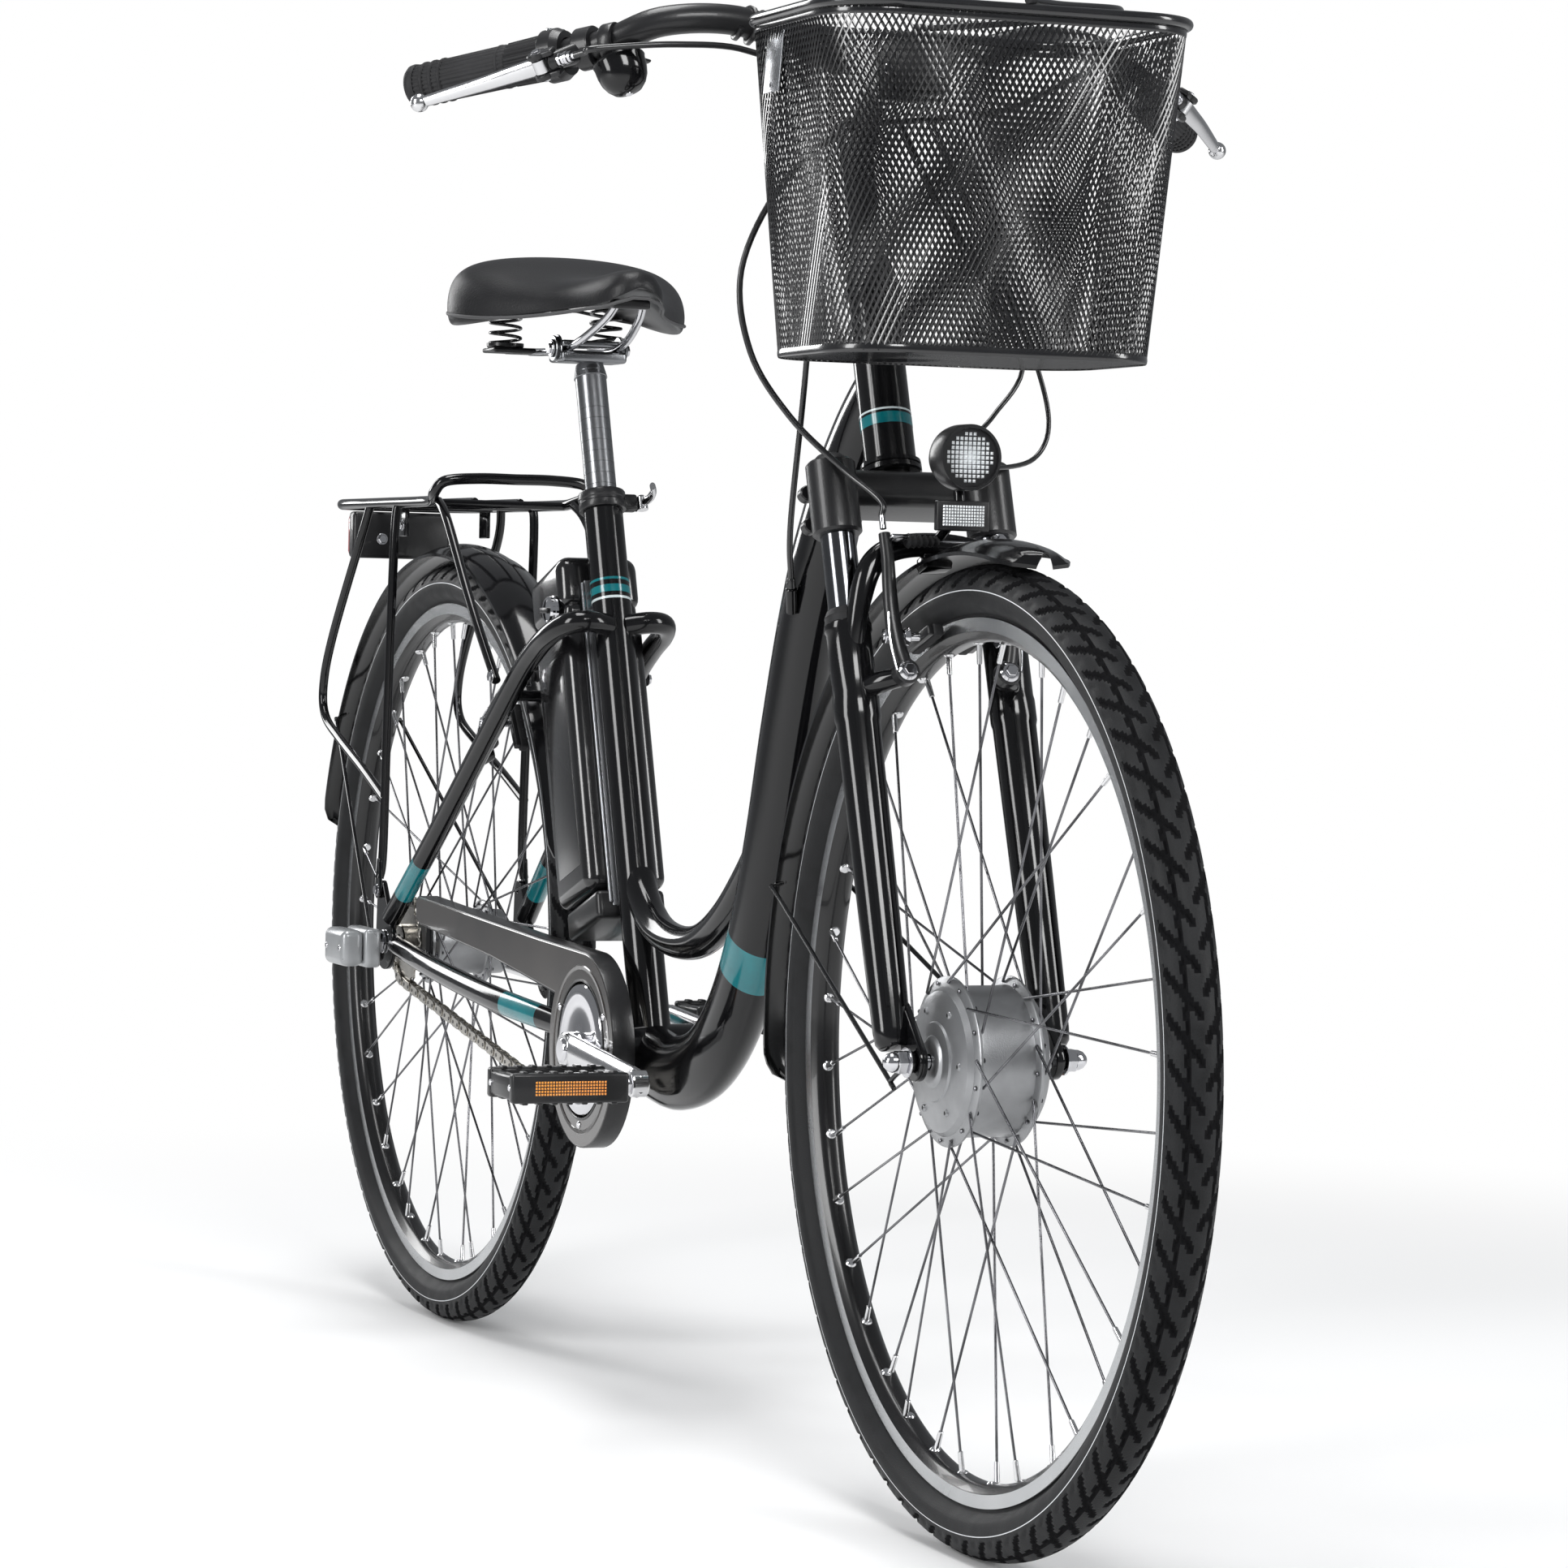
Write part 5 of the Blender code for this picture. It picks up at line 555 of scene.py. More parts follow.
def sweep(shape, path, section, sides=24, closed=False, look=0, side_way=None, caps=True):
    """Sweeps an oval along a path. Section gives (half width, half depth) in millimetres at
    each share, look a finish for each share, and side_way keeps the width one way."""
    count = len(path)
    rings = []
    carried = None
    for index in range(count):
        if closed:
            way = path[(index + 1) % count] - path[index - 1]
        else:
            way = path[min(index + 1, count - 1)] - path[max(index - 1, 0)]
        way = way.normalized()
        if side_way is not None:
            wide = side_way - way * side_way.dot(way)
        elif carried is None:
            wide = way.orthogonal()
        else:
            wide = carried - way * carried.dot(way)
        wide = wide.normalized()
        carried = wide
        deep = way.cross(wide)
        share = index / (count - 1)
        half_wide, half_deep = section(share) if callable(section) else (section, section)
        rings.append([shape.verts.new(path[index] + wide * cos(tau * k / sides) * half_wide * MM
                                      + deep * sin(tau * k / sides) * half_deep * MM)
                      for k in range(sides)])
    for index in range(count if closed else count - 1):
        near = rings[index]
        far = rings[(index + 1) % count]
        share = (index + 0.5) / (count - 1)
        finish = look(share) if callable(look) else look
        for k in range(sides):
            following = (k + 1) % sides
            face = shape.faces.new((near[k], near[following], far[following], far[k]))
            face.material_index = finish
    if caps and not closed:
        finish = look(0) if callable(look) else look
        shape.faces.new(rings[0][::-1]).material_index = finish
        shape.faces.new(rings[-1]).material_index = finish


def skin(shape, rings, around=False, look=0):
    """Faces between rings of vertices, and on to the first ring again when around is set."""
    for near, far in zip(rings, rings[1:] + rings[:1] if around else rings[1:]):
        for k in range(len(near)):
            following = (k + 1) % len(near)
            shape.faces.new((near[k], near[following], far[following], far[k])).material_index = look


def flat_plate(shape, outlines, thickness, placing, edge=0.5 * MM, look=0):
    """A plate cut to outlines, the later ones being holes, with softened edges."""
    curve = bpy.data.curves.new("cut_plate", "CURVE")
    curve.dimensions = "2D"
    curve.fill_mode = "BOTH"
    curve.extrude = thickness / 2 - edge
    curve.bevel_depth = edge
    curve.offset = -edge
    curve.bevel_resolution = 1
    for outline in outlines:
        spline = curve.splines.new("POLY")
        spline.points.add(len(outline) - 1)
        for index, point in enumerate(outline):
            spline.points[index].co = (point[0], point[1], 0, 1)
        spline.use_cyclic_u = True
    holder = bpy.data.objects.new("cut_plate", curve)
    bpy.context.scene.collection.objects.link(holder)
    mesh = bpy.data.meshes.new_from_object(holder)
    mesh.transform(placing)
    known = len(shape.faces)
    shape.from_mesh(mesh)
    shape.faces.ensure_lookup_table()
    for index in range(known, len(shape.faces)):
        shape.faces[index].material_index = look
    bpy.data.objects.remove(holder)
    bpy.data.curves.remove(curve)
    bpy.data.meshes.remove(mesh)


def side_place(left):
    """A placing for plates in side view, at a distance to the left."""
    return Matrix.Translation((0, left, 0)) @ Matrix.Rotation(pi / 2, 4, "X")


def two_circles(start, end, start_radius, end_radius, steps=16):
    """The outline round two circles and their tangents."""
    direction = atan2(end[1] - start[1], end[0] - start[0])
    length = hypot(end[0] - start[0], end[1] - start[1])
    lean = asin((start_radius - end_radius) / length)
    outline = []
    for step in range(steps + 1):
        angle = direction + pi / 2 - lean + (pi + 2 * lean) * step / steps
        outline.append((start[0] + cos(angle) * start_radius, start[1] + sin(angle) * start_radius))
    for step in range(steps + 1):
        angle = direction - pi / 2 + lean + (pi - 2 * lean) * step / steps
        outline.append((end[0] + cos(angle) * end_radius, end[1] + sin(angle) * end_radius))
    return outline


def ring_outline(centre, radius, steps=28):
    """A circle as an outline."""
    return [(centre[0] + cos(tau * k / steps) * radius, centre[1] + sin(tau * k / steps) * radius)
            for k in range(steps)]


def hex_head(shape, foot, way, radius, height, look=0):
    """A bolt head in millimetres: a thin washer under a chamfered hexagon."""
    way = way.normalized()
    rod(shape, foot, way, 0, height * 0.22, radius * 1.25, None, 28, look, 0.2)
    rod(shape, foot, way, height * 0.2, height, radius, None, 6, look, 0.6)


DOWN_TUBE = [(1.016, 0, 0.850), (0.972, 0, 0.812), (0.924, 0, 0.752), (0.880, 0, 0.670), (0.845, 0, 0.580),
             (0.815, 0, 0.490), (0.782, 0, 0.412), (0.737, 0, 0.348), (0.680, 0, 0.306), (0.612, 0, 0.288),
             (0.550, 0, 0.292)]
BRACE = [seat_point(0.168), (0.513, 0, 0.428), (0.552, 0, 0.404), (0.605, 0, 0.396), (0.660, 0, 0.402),
         (0.712, 0, 0.424), (0.758, 0, 0.456), (0.800, 0, 0.492)]
CHAIN_STAY = [(0.018, -0.0625, 0.352), (0.150, -0.0605, 0.337), (0.300, -0.0540, 0.323),
              (0.430, -0.0345, 0.311), (0.530, -0.0240, 0.303)]
SEAT_STAY = [(0.012, -0.0660, 0.378), (0.120, -0.0605, 0.457), (0.240, -0.0560, 0.545),
             (0.330, -0.0535, 0.609), (0.374, -0.0525, 0.634), (0.408, -0.0510, 0.648),
             (0.432, -0.0430, 0.657), (0.440, -0.0270, 0.659), (0.434, -0.0080, 0.656)]
STAY_UP = Vector((0.806, 0, 0.592)).normalized()
STAY_OUT = Vector((-STAY_UP.z, 0, STAY_UP.x))
STAY_BOSS = bike(0.2203, 0, 0.5306)
BRIDGE = bike(0.306, 0, 0.592)
DROPOUT_MIDDLE = 67.5 * MM
CABLE_PORT = bike(0.906, -0.0270, 0.690)
PORT_WAY = Vector((0.44, -0.22, 0.87)).normalized()
STAND_PIVOT = bike(0.070, 0.084, 0.322)
STAND_OPEN = Vector((-0.05, 0.36, -0.93)).normalized()
STAND_FOLDED = Vector((-1, 0, 0.02)).normalized()
STAND_OUT = STAND_OPEN.cross(STAND_FOLDED).normalized()


def down_tube_section(share):
    """Slim at the head tube, full by a quarter of the way down."""
    swell = 0.66 + 0.34 * min(1.0, share / 0.25)
    return 23 * swell, 31 * swell


def rear_boss(side, out):
    """A place on the axis of a rear brake arm's pin, a distance out from its stay."""
    return STAY_BOSS + STAY_OUT * out + LEFT * side * 0.040


shape = bmesh.new()
bar(shape, steer_point(10 * MM), steer_point(0.140), 19.5, None, 48)
for low in (0.0, 0.140):
    cup = [(14.8, 0), (21.6, 0), (23, 1.2), (23, 4.2), (21.8, 4.8), (21.8, 5.4), (23, 6.0), (22.6, 9.2),
           (20.4, 10), (14.8, 10)]
    turn(shape, cup, along(steer_point(low), STEER_UP), 64, True)
bar(shape, steer_point(0.036), steer_point(0.0445), 19.72, None, 48, 1, 0.05)
bar(shape, steer_point(0.0465), steer_point(0.048), 19.70, None, 48, 2, 0.05)
sweep(shape, smooth(DOWN_TUBE, 12), down_tube_section, 40, side_way=LEFT,
      look=lambda s: 1 if 0.600 < s < 0.645 else (2 if 0.646 < s < 0.652 else 0))
rod(shape, BB, LEFT, -34, 34, 21, None, 48)
bar(shape, BB, seat_point(0.4865), 17, None, 48)
bar(shape, seat_point(0.400), seat_point(0.4065), 17.25, None, 48, 1, 0.05)
bar(shape, seat_point(0.411), seat_point(0.4132), 17.22, None, 48, 1, 0.05)
bar(shape, seat_point(0.394), seat_point(0.3962), 17.2, None, 48, 2, 0.05)
sweep(shape, smooth(BRACE, 8), 14, 28)
for side in (-1, 1):
    sweep(shape, smooth(CHAIN_STAY, 10, -side), lambda s: (9, 9 + 2.2 * sin(pi * s)), 24, side_way=LEFT,
          look=lambda s: 1 if 0.52 < s < 0.66 else 0)
    sweep(shape, smooth(SEAT_STAY, 8, -side), 9.5, 24, look=lambda s: 1 if 0.045 < s < 0.10 else 0)
    hub_spot = (REAR_HUB.x, REAR_HUB.z)
    eye_spot = (REAR_AXLE_X - 0.014, 0.402)
    dropout = [two_circles(hub_spot, eye_spot, 26 * MM, 9 * MM), ring_outline(hub_spot, 5.4 * MM),
               ring_outline(eye_spot, 2.6 * MM)]
    flat_plate(shape, dropout, 5 * MM, side_place(side * DROPOUT_MIDDLE))
    bar(shape, STAY_BOSS + LEFT * side * 0.0565, rear_boss(side, 0.010), 7, None, 28)
    bar(shape, rear_boss(side, 0.008), rear_boss(side, 0.030), 4, None, 20, 3)
    hex_head(shape, rear_boss(side, 0.0295), STAY_OUT, 4.6, 3.4, 3)
rod(shape, BRIDGE, LEFT, -52, 52, 5, None, 20)
rod(shape, CABLE_PORT, PORT_WAY, -22, 0, 4.5, None, 24, 0, 0.8)
inner = STAND_PIVOT - STAND_OUT * 8.8 * MM
bar(shape, bike(0.078, 0.0610, 0.343), inner - STAND_OUT * 8 * MM, 7, None, 24)
rod(shape, inner, STAND_OUT, -14, 0, 9, None, 32)
bar(shape, inner - STAND_OUT * 4 * MM, STAND_PIVOT + STAND_OUT * 8 * MM, 4, None, 20, 3)
flat_plate(shape, [[(REAR_AXLE_X + 0.461, 0.303), (REAR_AXLE_X + 0.469, 0.303),
                    (REAR_AXLE_X + 0.469, 0.313), (REAR_AXLE_X + 0.461, 0.313)]],
           14.5 * MM, side_place(-37.3 * MM))
tail_tab = bike(0.1000, -0.0570, 0.3749)
bar(shape, tail_tab - Vector((0, 0, 0.030)), tail_tab, 3.5, None, 16)
piece(shape, "welded_frame", "frame", [PAINT, TEAL, TEAL_PALE, NIPPLE_STEEL],
      ["main_frame"])

# Fork crown: satin black alloy crown with pinch-bolted clamps round two dark chromed upper
# tubes, under the faceted nut that holds the headset.
SATIN_BLACK = surface("satin_black", (0.006, 0.006, 0.0065), 0.34, shine=0.36, grain=0.2, grain_size=700,
                      mottle=0.6, second=(0.022, 0.022, 0.024), coat=0.15)
DARK_CHROME = surface("dark_chrome", (0.15, 0.155, 0.165), 0.12, 1.0, grain=0.04, mottle=0.5,
                      second=(0.09, 0.09, 0.10))
SOFT_RUBBER = surface("soft_rubber", (0.009, 0.009, 0.010), 0.6, shine=0.3, grain=0.3, grain_size=900,
                      mottle=0.6, second=(0.025, 0.025, 0.027))
CHROME = surface("chrome", (0.62, 0.62, 0.64), 0.09, 1.0, grain=0.03, mottle=0.5,
                 second=(0.60, 0.60, 0.62))
STANCHION_FORE = 0.030
HALF_SPACING = 0.062


def placed(origin, ahead, up):
    """A placing with its X axis ahead and its Z axis up."""
    made = Matrix((ahead, up.cross(ahead), up)).transposed().to_4x4()
    made.translation = origin
    return made


def moved(placing, x, y, z):
    """A placing shifted along its own axes, in millimetres."""
    return placing @ Matrix.Translation(Vector((x, y, z)) * MM)


def block(shape, size, place, edge=1.5, look=0, segments=3):
    """A box with rounded edges, its size in millimetres, at a point or in a placing."""
    placing = Matrix.Translation(place) if isinstance(place, Vector) else place
    stretched = Matrix.Diagonal((*(Vector(size) * MM), 1))
    made = bmesh.ops.create_cube(shape, size=1, matrix=placing @ stretched)
    faces = {face for vert in made["verts"] for face in vert.link_faces}
    edges = list({side for face in faces for side in face.edges})
    for face in faces:
        face.material_index = look
    cut = bmesh.ops.bevel(shape, geom=edges, offset=edge * MM, segments=segments, affect="EDGES",
                          profile=0.5, material=look)
    for face in cut["faces"]:
        face.material_index = look


shape = bmesh.new()
block(shape, (50, 122, 28), placed(steer_point(-0.019, 0.007), STEER_FORE, STEER_UP), 11, 0, 6)
bar(shape, steer_point(-0.030), steer_point(0.163), 14)
bar(shape, steer_point(0.1503), steer_point(0.164), 19, None, 8, 0, 1.2)
for side in (-1, 1):
    left = side * HALF_SPACING
    bar(shape, steer_point(-0.003, STANCHION_FORE, left), steer_point(-0.060, STANCHION_FORE, left),
        18.5, None, 48, 0, 2)
    bar(shape, steer_point(-0.010, STANCHION_FORE, left), steer_point(-0.270, STANCHION_FORE, left),
        13, None, 48, 1)
    bar(shape, steer_point(-0.004, STANCHION_FORE, left), steer_point(0.002, STANCHION_FORE, left),
        14, 11, 40, 2, 1.5)
    for up in (-0.020, -0.045):
        lug = steer_point(up, 0.012, left + side * 12 * MM)
        rod(shape, lug, STEER_FORE, 0, -9, 6, None, 28, 0, 1)
        hex_head(shape, lug - STEER_FORE * 8.6 * MM, -STEER_FORE, 3.6, 3, 3)
piece(shape, "fork_crown_set", "steering",
      [SATIN_BLACK, DARK_CHROME, SOFT_RUBBER, CHROME], ["fork_crown"])

# Fork lowers: two gloss black cast legs tied by an arch in front of the crown. Each leg has
# a rubber wiper on top, a flat end for the axle and a boss for its brake arm.
shape = bmesh.new()
LEG_PROFILE = [(5, 0), (10.5, 1.2), (13, 5), (13.8, 14), (15.2, 120), (16.2, 243), (17.2, 247),
               (17.2, 262), (16.5, 266), (16.5, 312), (17.6, 314), (17.6, 319), (16.8, 320)]
for side in (-1, 1):
    left = side * HALF_SPACING
    leg = along(steer_point(-0.449, STANCHION_FORE, left), STEER_UP)
    turn(shape, LEG_PROFILE, leg, 48, False)
    wiper = [(16.6, 319.5), (16.9, 321), (16.2, 324), (16.6, 325.5), (14.4, 330), (13.2, 331)]
    turn(shape, wiper, leg, 48, False, 1)
    for back in (0, 1):
        crease = [steer_point(-0.200 - 0.022 * k, STANCHION_FORE + (15.2 - 0.16 * k) * MM,
                              left + (back * 2 - 1) * 6.5 * MM) for k in range(11)]
        sweep(shape, crease, 1.3, 8)
    leg_end = steer_point(-0.425, 0.032)
    plate_shape = two_circles((FRONT_HUB.x, FRONT_HUB.z), (leg_end.x, leg_end.z), 14 * MM, 11 * MM)
    flat_plate(shape, [plate_shape, ring_outline((FRONT_HUB.x, FRONT_HUB.z), 5.3 * MM)], 6 * MM,
               side_place(side * 0.053), 1 * MM)
    boss = [steer_point(-0.180, 0.034, left - side * 4 * MM),
            steer_point(-0.180, 0.052, left - side * 12 * MM), steer_point(-0.180, 0.064, side * 0.040)]
    sweep(shape, smooth(boss, 6), lambda s: (9 - 2 * s, 9 - 2 * s), 24)
    bar(shape, steer_point(-0.180, 0.062, side * 0.040), steer_point(-0.180, 0.082, side * 0.040),
        4, None, 20, 2)
arch = [steer_point(-0.150, 0.036, -0.062), steer_point(-0.118, 0.051, -0.0595),
        steer_point(-0.090, 0.058, -0.048), steer_point(-0.077, 0.058, -0.022)]
arch += [Vector((p.x, -p.y, p.z)) for p in arch[::-1]]
sweep(shape, smooth(arch, 8), lambda s: (9, 7.5), 28, side_way=STEER_UP)
lamp_foot = [steer_point(-0.076, 0.058), steer_point(-0.074, 0.078), (1.163, 0, 0.750), (1.163, 0, 0.762)]
sweep(shape, smooth(lamp_foot, 6), 4, 16)
piece(shape, "fork_leg_set", "fork_slider", [PAINT, SOFT_RUBBER, CHROME], ["fork_lowers"])

# Front axle: a steel axle that the motor turns on. Washers and chromed acorn nuts hold it in
# the flat ends of the fork's legs.
def acorn_nut(shape, foot, way, radius=9.0, look=0):
    """A washer, a chamfered hexagon and a domed end."""
    rod(shape, foot, way, 0, 1.6, radius * 1.22, None, 32, look, 0.3)
    rod(shape, foot, way, 1.4, 9.5, radius, None, 6, look, 1.1)
    dome = [(r * radius / 9, h) for r, h in ((7.6, 0), (7.4, 3), (6.2, 6.2), (3.6, 8.7), (0, 9.6))]
    turn(shape, dome, along(foot + way * 9 * MM, way), 28, False, look)


shape = bmesh.new()
rod(shape, FRONT_HUB, LEFT, -70, 70, 5, None, 24)
for side in (-1, 1):
    acorn_nut(shape, FRONT_HUB + LEFT * side * 60.4 * MM, LEFT * side)
piece(shape, "front_axle_nuts", "fork_slider", [CHROME], ["front_axle"], 30)

# Rear axle and shift box: a steel axle with two plated nuts, and the pale plastic cap over
# the hub gear's control, in two halves with two screws.
shape = bmesh.new()
rod(shape, REAR_HUB, LEFT, -79, 79, 5, None, 24)
for side in (-1, 1):
    nut = REAR_HUB + LEFT * side * 70.3 * MM
    rod(shape, nut, LEFT * side, 0, 1.8, 11, None, 32, 0, 0.3)
    rod(shape, nut, LEFT * side, 1.6, 10, 9, None, 6, 0, 1)
piece(shape, "rear_axle_nuts", "frame", [CHROME], ["rear_axle"], 30)
PALE_PLASTIC = surface("pale_plastic", (0.30, 0.31, 0.32), 0.28, 0.4, grain=0.2, grain_size=700,
                       mottle=0.6, mottle_size=40, second=(0.42, 0.43, 0.44))
shape = bmesh.new()
box_place = Matrix.Translation(bike(-0.003, -0.0996, 0.350))
block(shape, (62, 16, 36), moved(box_place, 0, 11, 0), 4)
block(shape, (60, 21.5, 34), moved(box_place, 0, -8.2, 0), 7, 0, 5)
for ahead in (-0.021, 0.021):
    screw = bike(-0.003 + ahead, -0.1180, 0.350)
    rod(shape, screw, LEFT, 0, -1.2, 3, 2.6, 20, 1)
piece(shape, "shift_cap", "frame", [PALE_PLASTIC, CHROME], ["shift_box"])

# Fenders: gloss black polymer blades with a thin metal core, a rolled bead along each edge
# and rounded ends, held by a tab and by black wire stays with an eye at the axle.
FENDER_RADIUS = TYRE_RADIUS + 17 * MM


def fender_blade(shape, axle, start, end):
    """An arched blade round an axle from one angle to another, drawn in at both tips."""
    across = [k / 9 for k in range(-9, 10)]
    steps = 90
    rings = []
    for step in range(steps + 1):
        share = step / steps
        angle = start + (end - start) * share
        reach = min(share, 1 - share) * (end - start) * FENDER_RADIUS / 0.030
        narrow = sqrt(max(0.0, 1 - max(0.0, 1 - reach) ** 2)) * 0.78 + 0.22
        out = Vector((cos(angle), 0, sin(angle)))
        ring = []
        for thick in (0.8 * MM, -0.8 * MM):
            row = []
            for s in across:
                bead = 1.2 * MM if abs(s) > 0.93 else 0.0
                radius = FENDER_RADIUS - 11 * MM * s * s + thick + (bead if thick > 0 else 0)
                row.append(axle + out * radius + LEFT * s * 29 * MM * narrow)
            ring += row if thick > 0 else row[::-1]
        rings.append([shape.verts.new(point) for point in ring])
    skin(shape, rings)
    shape.faces.new(rings[0][::-1])
    shape.faces.new(rings[-1])


def fender_stay(shape, axle, angle, eye, eye_left, side, detour):
    """A wire from a fender's edge, past a bend, to an eye at the axle."""
    out = Vector((cos(angle), 0, sin(angle)))
    edge = axle + out * (FENDER_RADIUS - 6 * MM) + LEFT * side * 20.9 * MM
    outside = axle + out * (FENDER_RADIUS - 18 * MM) + LEFT * side * 33 * MM
    bend = Vector((detour.x, side * eye_left, detour.z))
    middle = eye + LEFT * side * eye_left
    path = [edge, outside, outside.lerp(bend, 0.08), outside.lerp(bend, 0.96), bend,
            bend.lerp(middle, 0.3), middle]
    sweep(shape, smooth(path, 4), 1.8, 12)
    rod(shape, middle, LEFT, -1.9, 1.9, 8, None, 28, 0, 0.8)
    rod(shape, edge, out, 1, 9, 4, 2.6, 20, 1)


shape = bmesh.new()
fender_blade(shape, FRONT_HUB, radians(77), radians(188))
block(shape, (16, 22, 12), placed(steer_point(-0.0903, 0.058), STEER_FORE, STEER_UP), 2)
for side in (-1, 1):
    fender_stay(shape, FRONT_HUB, radians(163), FRONT_HUB, 58.2 * MM, side, steer_point(-0.466, 0.008))
piece(shape, "front_fender_blade", "fork_slider", [PAINT, CHROME], ["front_fender"])
shape = bmesh.new()
FENDER_EYE = bike(-0.018, 0, 0.343)
fender_blade(shape, REAR_HUB, radians(14), radians(166))
bridge_out = (BRIDGE - REAR_HUB).normalized()
block(shape, (14, 22, 14),
      placed(REAR_HUB + bridge_out * (FENDER_RADIUS + 3 * MM), bridge_out.cross(LEFT), bridge_out), 2)
for side in (-1, 1):
    fender_stay(shape, REAR_HUB, radians(146), FENDER_EYE, 72.2 * MM, side,
                FENDER_EYE + Vector((-0.0135, 0, 0.0104)))
piece(shape, "rear_fender_blade", "frame", [PAINT, CHROME], ["rear_fender"])

# Headlight: a stepped black barrel with a clear faceted lens sunk in its rim, and a clear
# prismatic reflector in a black holder below it.
# Painted reflection: the clear lens and reflector are drawn in an opaque pale white with brighter patches,
# standing in for the light that clear plastic reflects and lets through.
LENS_PAINTED_REFLECTION = surface("clear_lens_painted_reflection", (0.74, 0.77, 0.79), 0.16, 0.0, grain=0.03, mottle=0.8, mottle_size=90,
               second=(0.86, 0.88, 0.90), coat=1.0)
shape = bmesh.new()
lamp = along(bike(1.140, 0, 0.786), Vector((1, 0, 0)))
barrel = [(9, 0), (12, 1.5), (14, 5), (14, 8), (18, 11), (18, 13), (21.6, 17), (21.6, 19), (23.4, 22),
          (24, 26), (24, 44), (23.2, 46), (21.4, 46), (20.8, 43), (0, 42)]
turn(shape, barrel, lamp, 72, False)


def prisms(shape, placing, half_wide, half_tall, pitch, height, look, round_face):
    """A field of small four-sided prisms in a flat face."""
    for row in range(-int(half_tall / pitch), int(half_tall / pitch) + 1):
        for column in range(-int(half_wide / pitch), int(half_wide / pitch) + 1):
            across, up = column * pitch, row * pitch
            if round_face and hypot(across, up) > half_wide - pitch * 0.5:
                continue
            corners = [shape.verts.new(placing @ Vector((across + x * pitch / 2, up + y * pitch / 2, 0)))
                       for x, y in ((-1, -1), (1, -1), (1, 1), (-1, 1))]
            tip = shape.verts.new(placing @ Vector((across, up, height)))
            for k in range(4):
                shape.faces.new((corners[k], corners[(k + 1) % 4], tip)).material_index = look
            shape.faces.new(corners[::-1]).material_index = look


# The lens and reflector prisms take the pale lens finish: a painted reflection in place of clear plastic.
prisms(shape, moved(lamp, 0, 0, 42), 20 * MM, 20 * MM, 3.4 * MM, 2.4 * MM, 1, True)
ahead_place = Matrix(((0, 0, 1, 0), (1, 0, 0, 0), (0, 1, 0, 0), (0, 0, 0, 1)))
plate_place = Matrix.Translation(bike(1.170, 0, 0.7440)) @ ahead_place
block(shape, (41, 22, 7), plate_place, 1.2, 0)
prisms(shape, moved(plate_place, 0, 0, 3.2), 17.5 * MM, 8 * MM, 2.2 * MM, 1.3 * MM, 1, False)
piece(shape, "headlight_lamp", "fork_slider", [SATIN_BLACK, LENS_PAINTED_REFLECTION], ["headlight"], 30)

# Brake arms: long curved arms of satin black alloy on steel pins. Each carries a threaded
# black pad in a holder; the brake wire and its rubber boot lie between their tops.
PAD_RUBBER = surface("pad_rubber", (0.012, 0.012, 0.013), 0.7, shine=0.3, grain=0.4, grain_size=1200,
                     mottle=0.5)
PAD_IN = -19.5


def brake_arm(name, node, body, foot, up, out, side, lift):
    """One arm in its own axes: outward, up and away from its boss."""
    shape = bmesh.new()
    outward = LEFT * side
    facing = outward.cross(up)
    placing = Matrix((outward, up, facing)).transposed().to_4x4()
    placing.translation = foot
    away = facing.dot(out)

    def at(x, y, z=0.0):
        return placing @ (Vector((x, y, z)) * MM)

    bow = [at(x, y, z * away) for x, y, z in ((0, 2, 0), (4, 18, 1), (6.5, 40, 2), (6.2, 64, 2),
                                              (4.6, 86, 1), (4.6, 106, 0))]
    sweep(shape, smooth(bow, 6), lambda s: (6.8 - 2.4 * s, 5 - 0.8 * s), 20, side_way=outward)
    rod(shape, foot, out, -5, 5, 9.5, None, 36, 0, 1)
    rod(shape, foot, out, 4.8, 7, 7.5, 6.5, 32, 1)
    hex_head(shape, foot + out * 6.4 * MM, out, 4.6, 3.6, 1)
    pad_turn = placed(at(PAD_IN, lift, -away * 4), facing * away, outward)
    block(shape, (46, 9, 7.5), moved(pad_turn, 0, 0, -2.2), 1.5, 2)
    block(shape, (42, 7.5, 5), moved(pad_turn, 0, 0, 3.4), 1, 0)
    # The slots across each pad are thin dark blocks: painted shade for the grooves.
    for slot in (-15, -5, 5, 15):
        block(shape, (1.2, 9.3, 4), moved(pad_turn, slot, 0, -4), 0.2, 3)
    bar(shape, at(PAD_IN + 3, lift), at(15, lift), 3, None, 20, 1)
    bar(shape, at(-5, lift), at(-1, lift), 7, 5.5, 28, 1)
    bar(shape, at(10.5, lift), at(14, lift), 6, None, 6, 1)
    tip = at(4.6, 101)
    if side < 0:
        block(shape, (14, 22, 3), placed(tip - outward * 8 * MM, -outward, up), 1, 1)
        boot = [(4.2 + (k % 2) * 1.6 - k * 0.14, k * 2.2) for k in range(13)]
        turn(shape, boot, along(tip - outward * 16 * MM, -outward), 28, False, 2)
    else:
        rod(shape, tip, outward, -62, 5, 0.9, None, 12, 1, 0.1)
        rod(shape, tip, out, 3, 6, 5.6, None, 28, 1)
        hex_head(shape, tip + out * 5.6 * MM, out, 3.6, 3.4, 1)
    spring = [at(x, y, away * 5.5) for x, y in ((9, 0), (11, 14), (11.6, 30), (10.5, 44))]
    sweep(shape, smooth(spring, 5), 0.9, 10, look=1)
    piece(shape, name, body, [SATIN_BLACK, CHROME, PAD_RUBBER, HOLE_PAINTED_SHADE], [node])


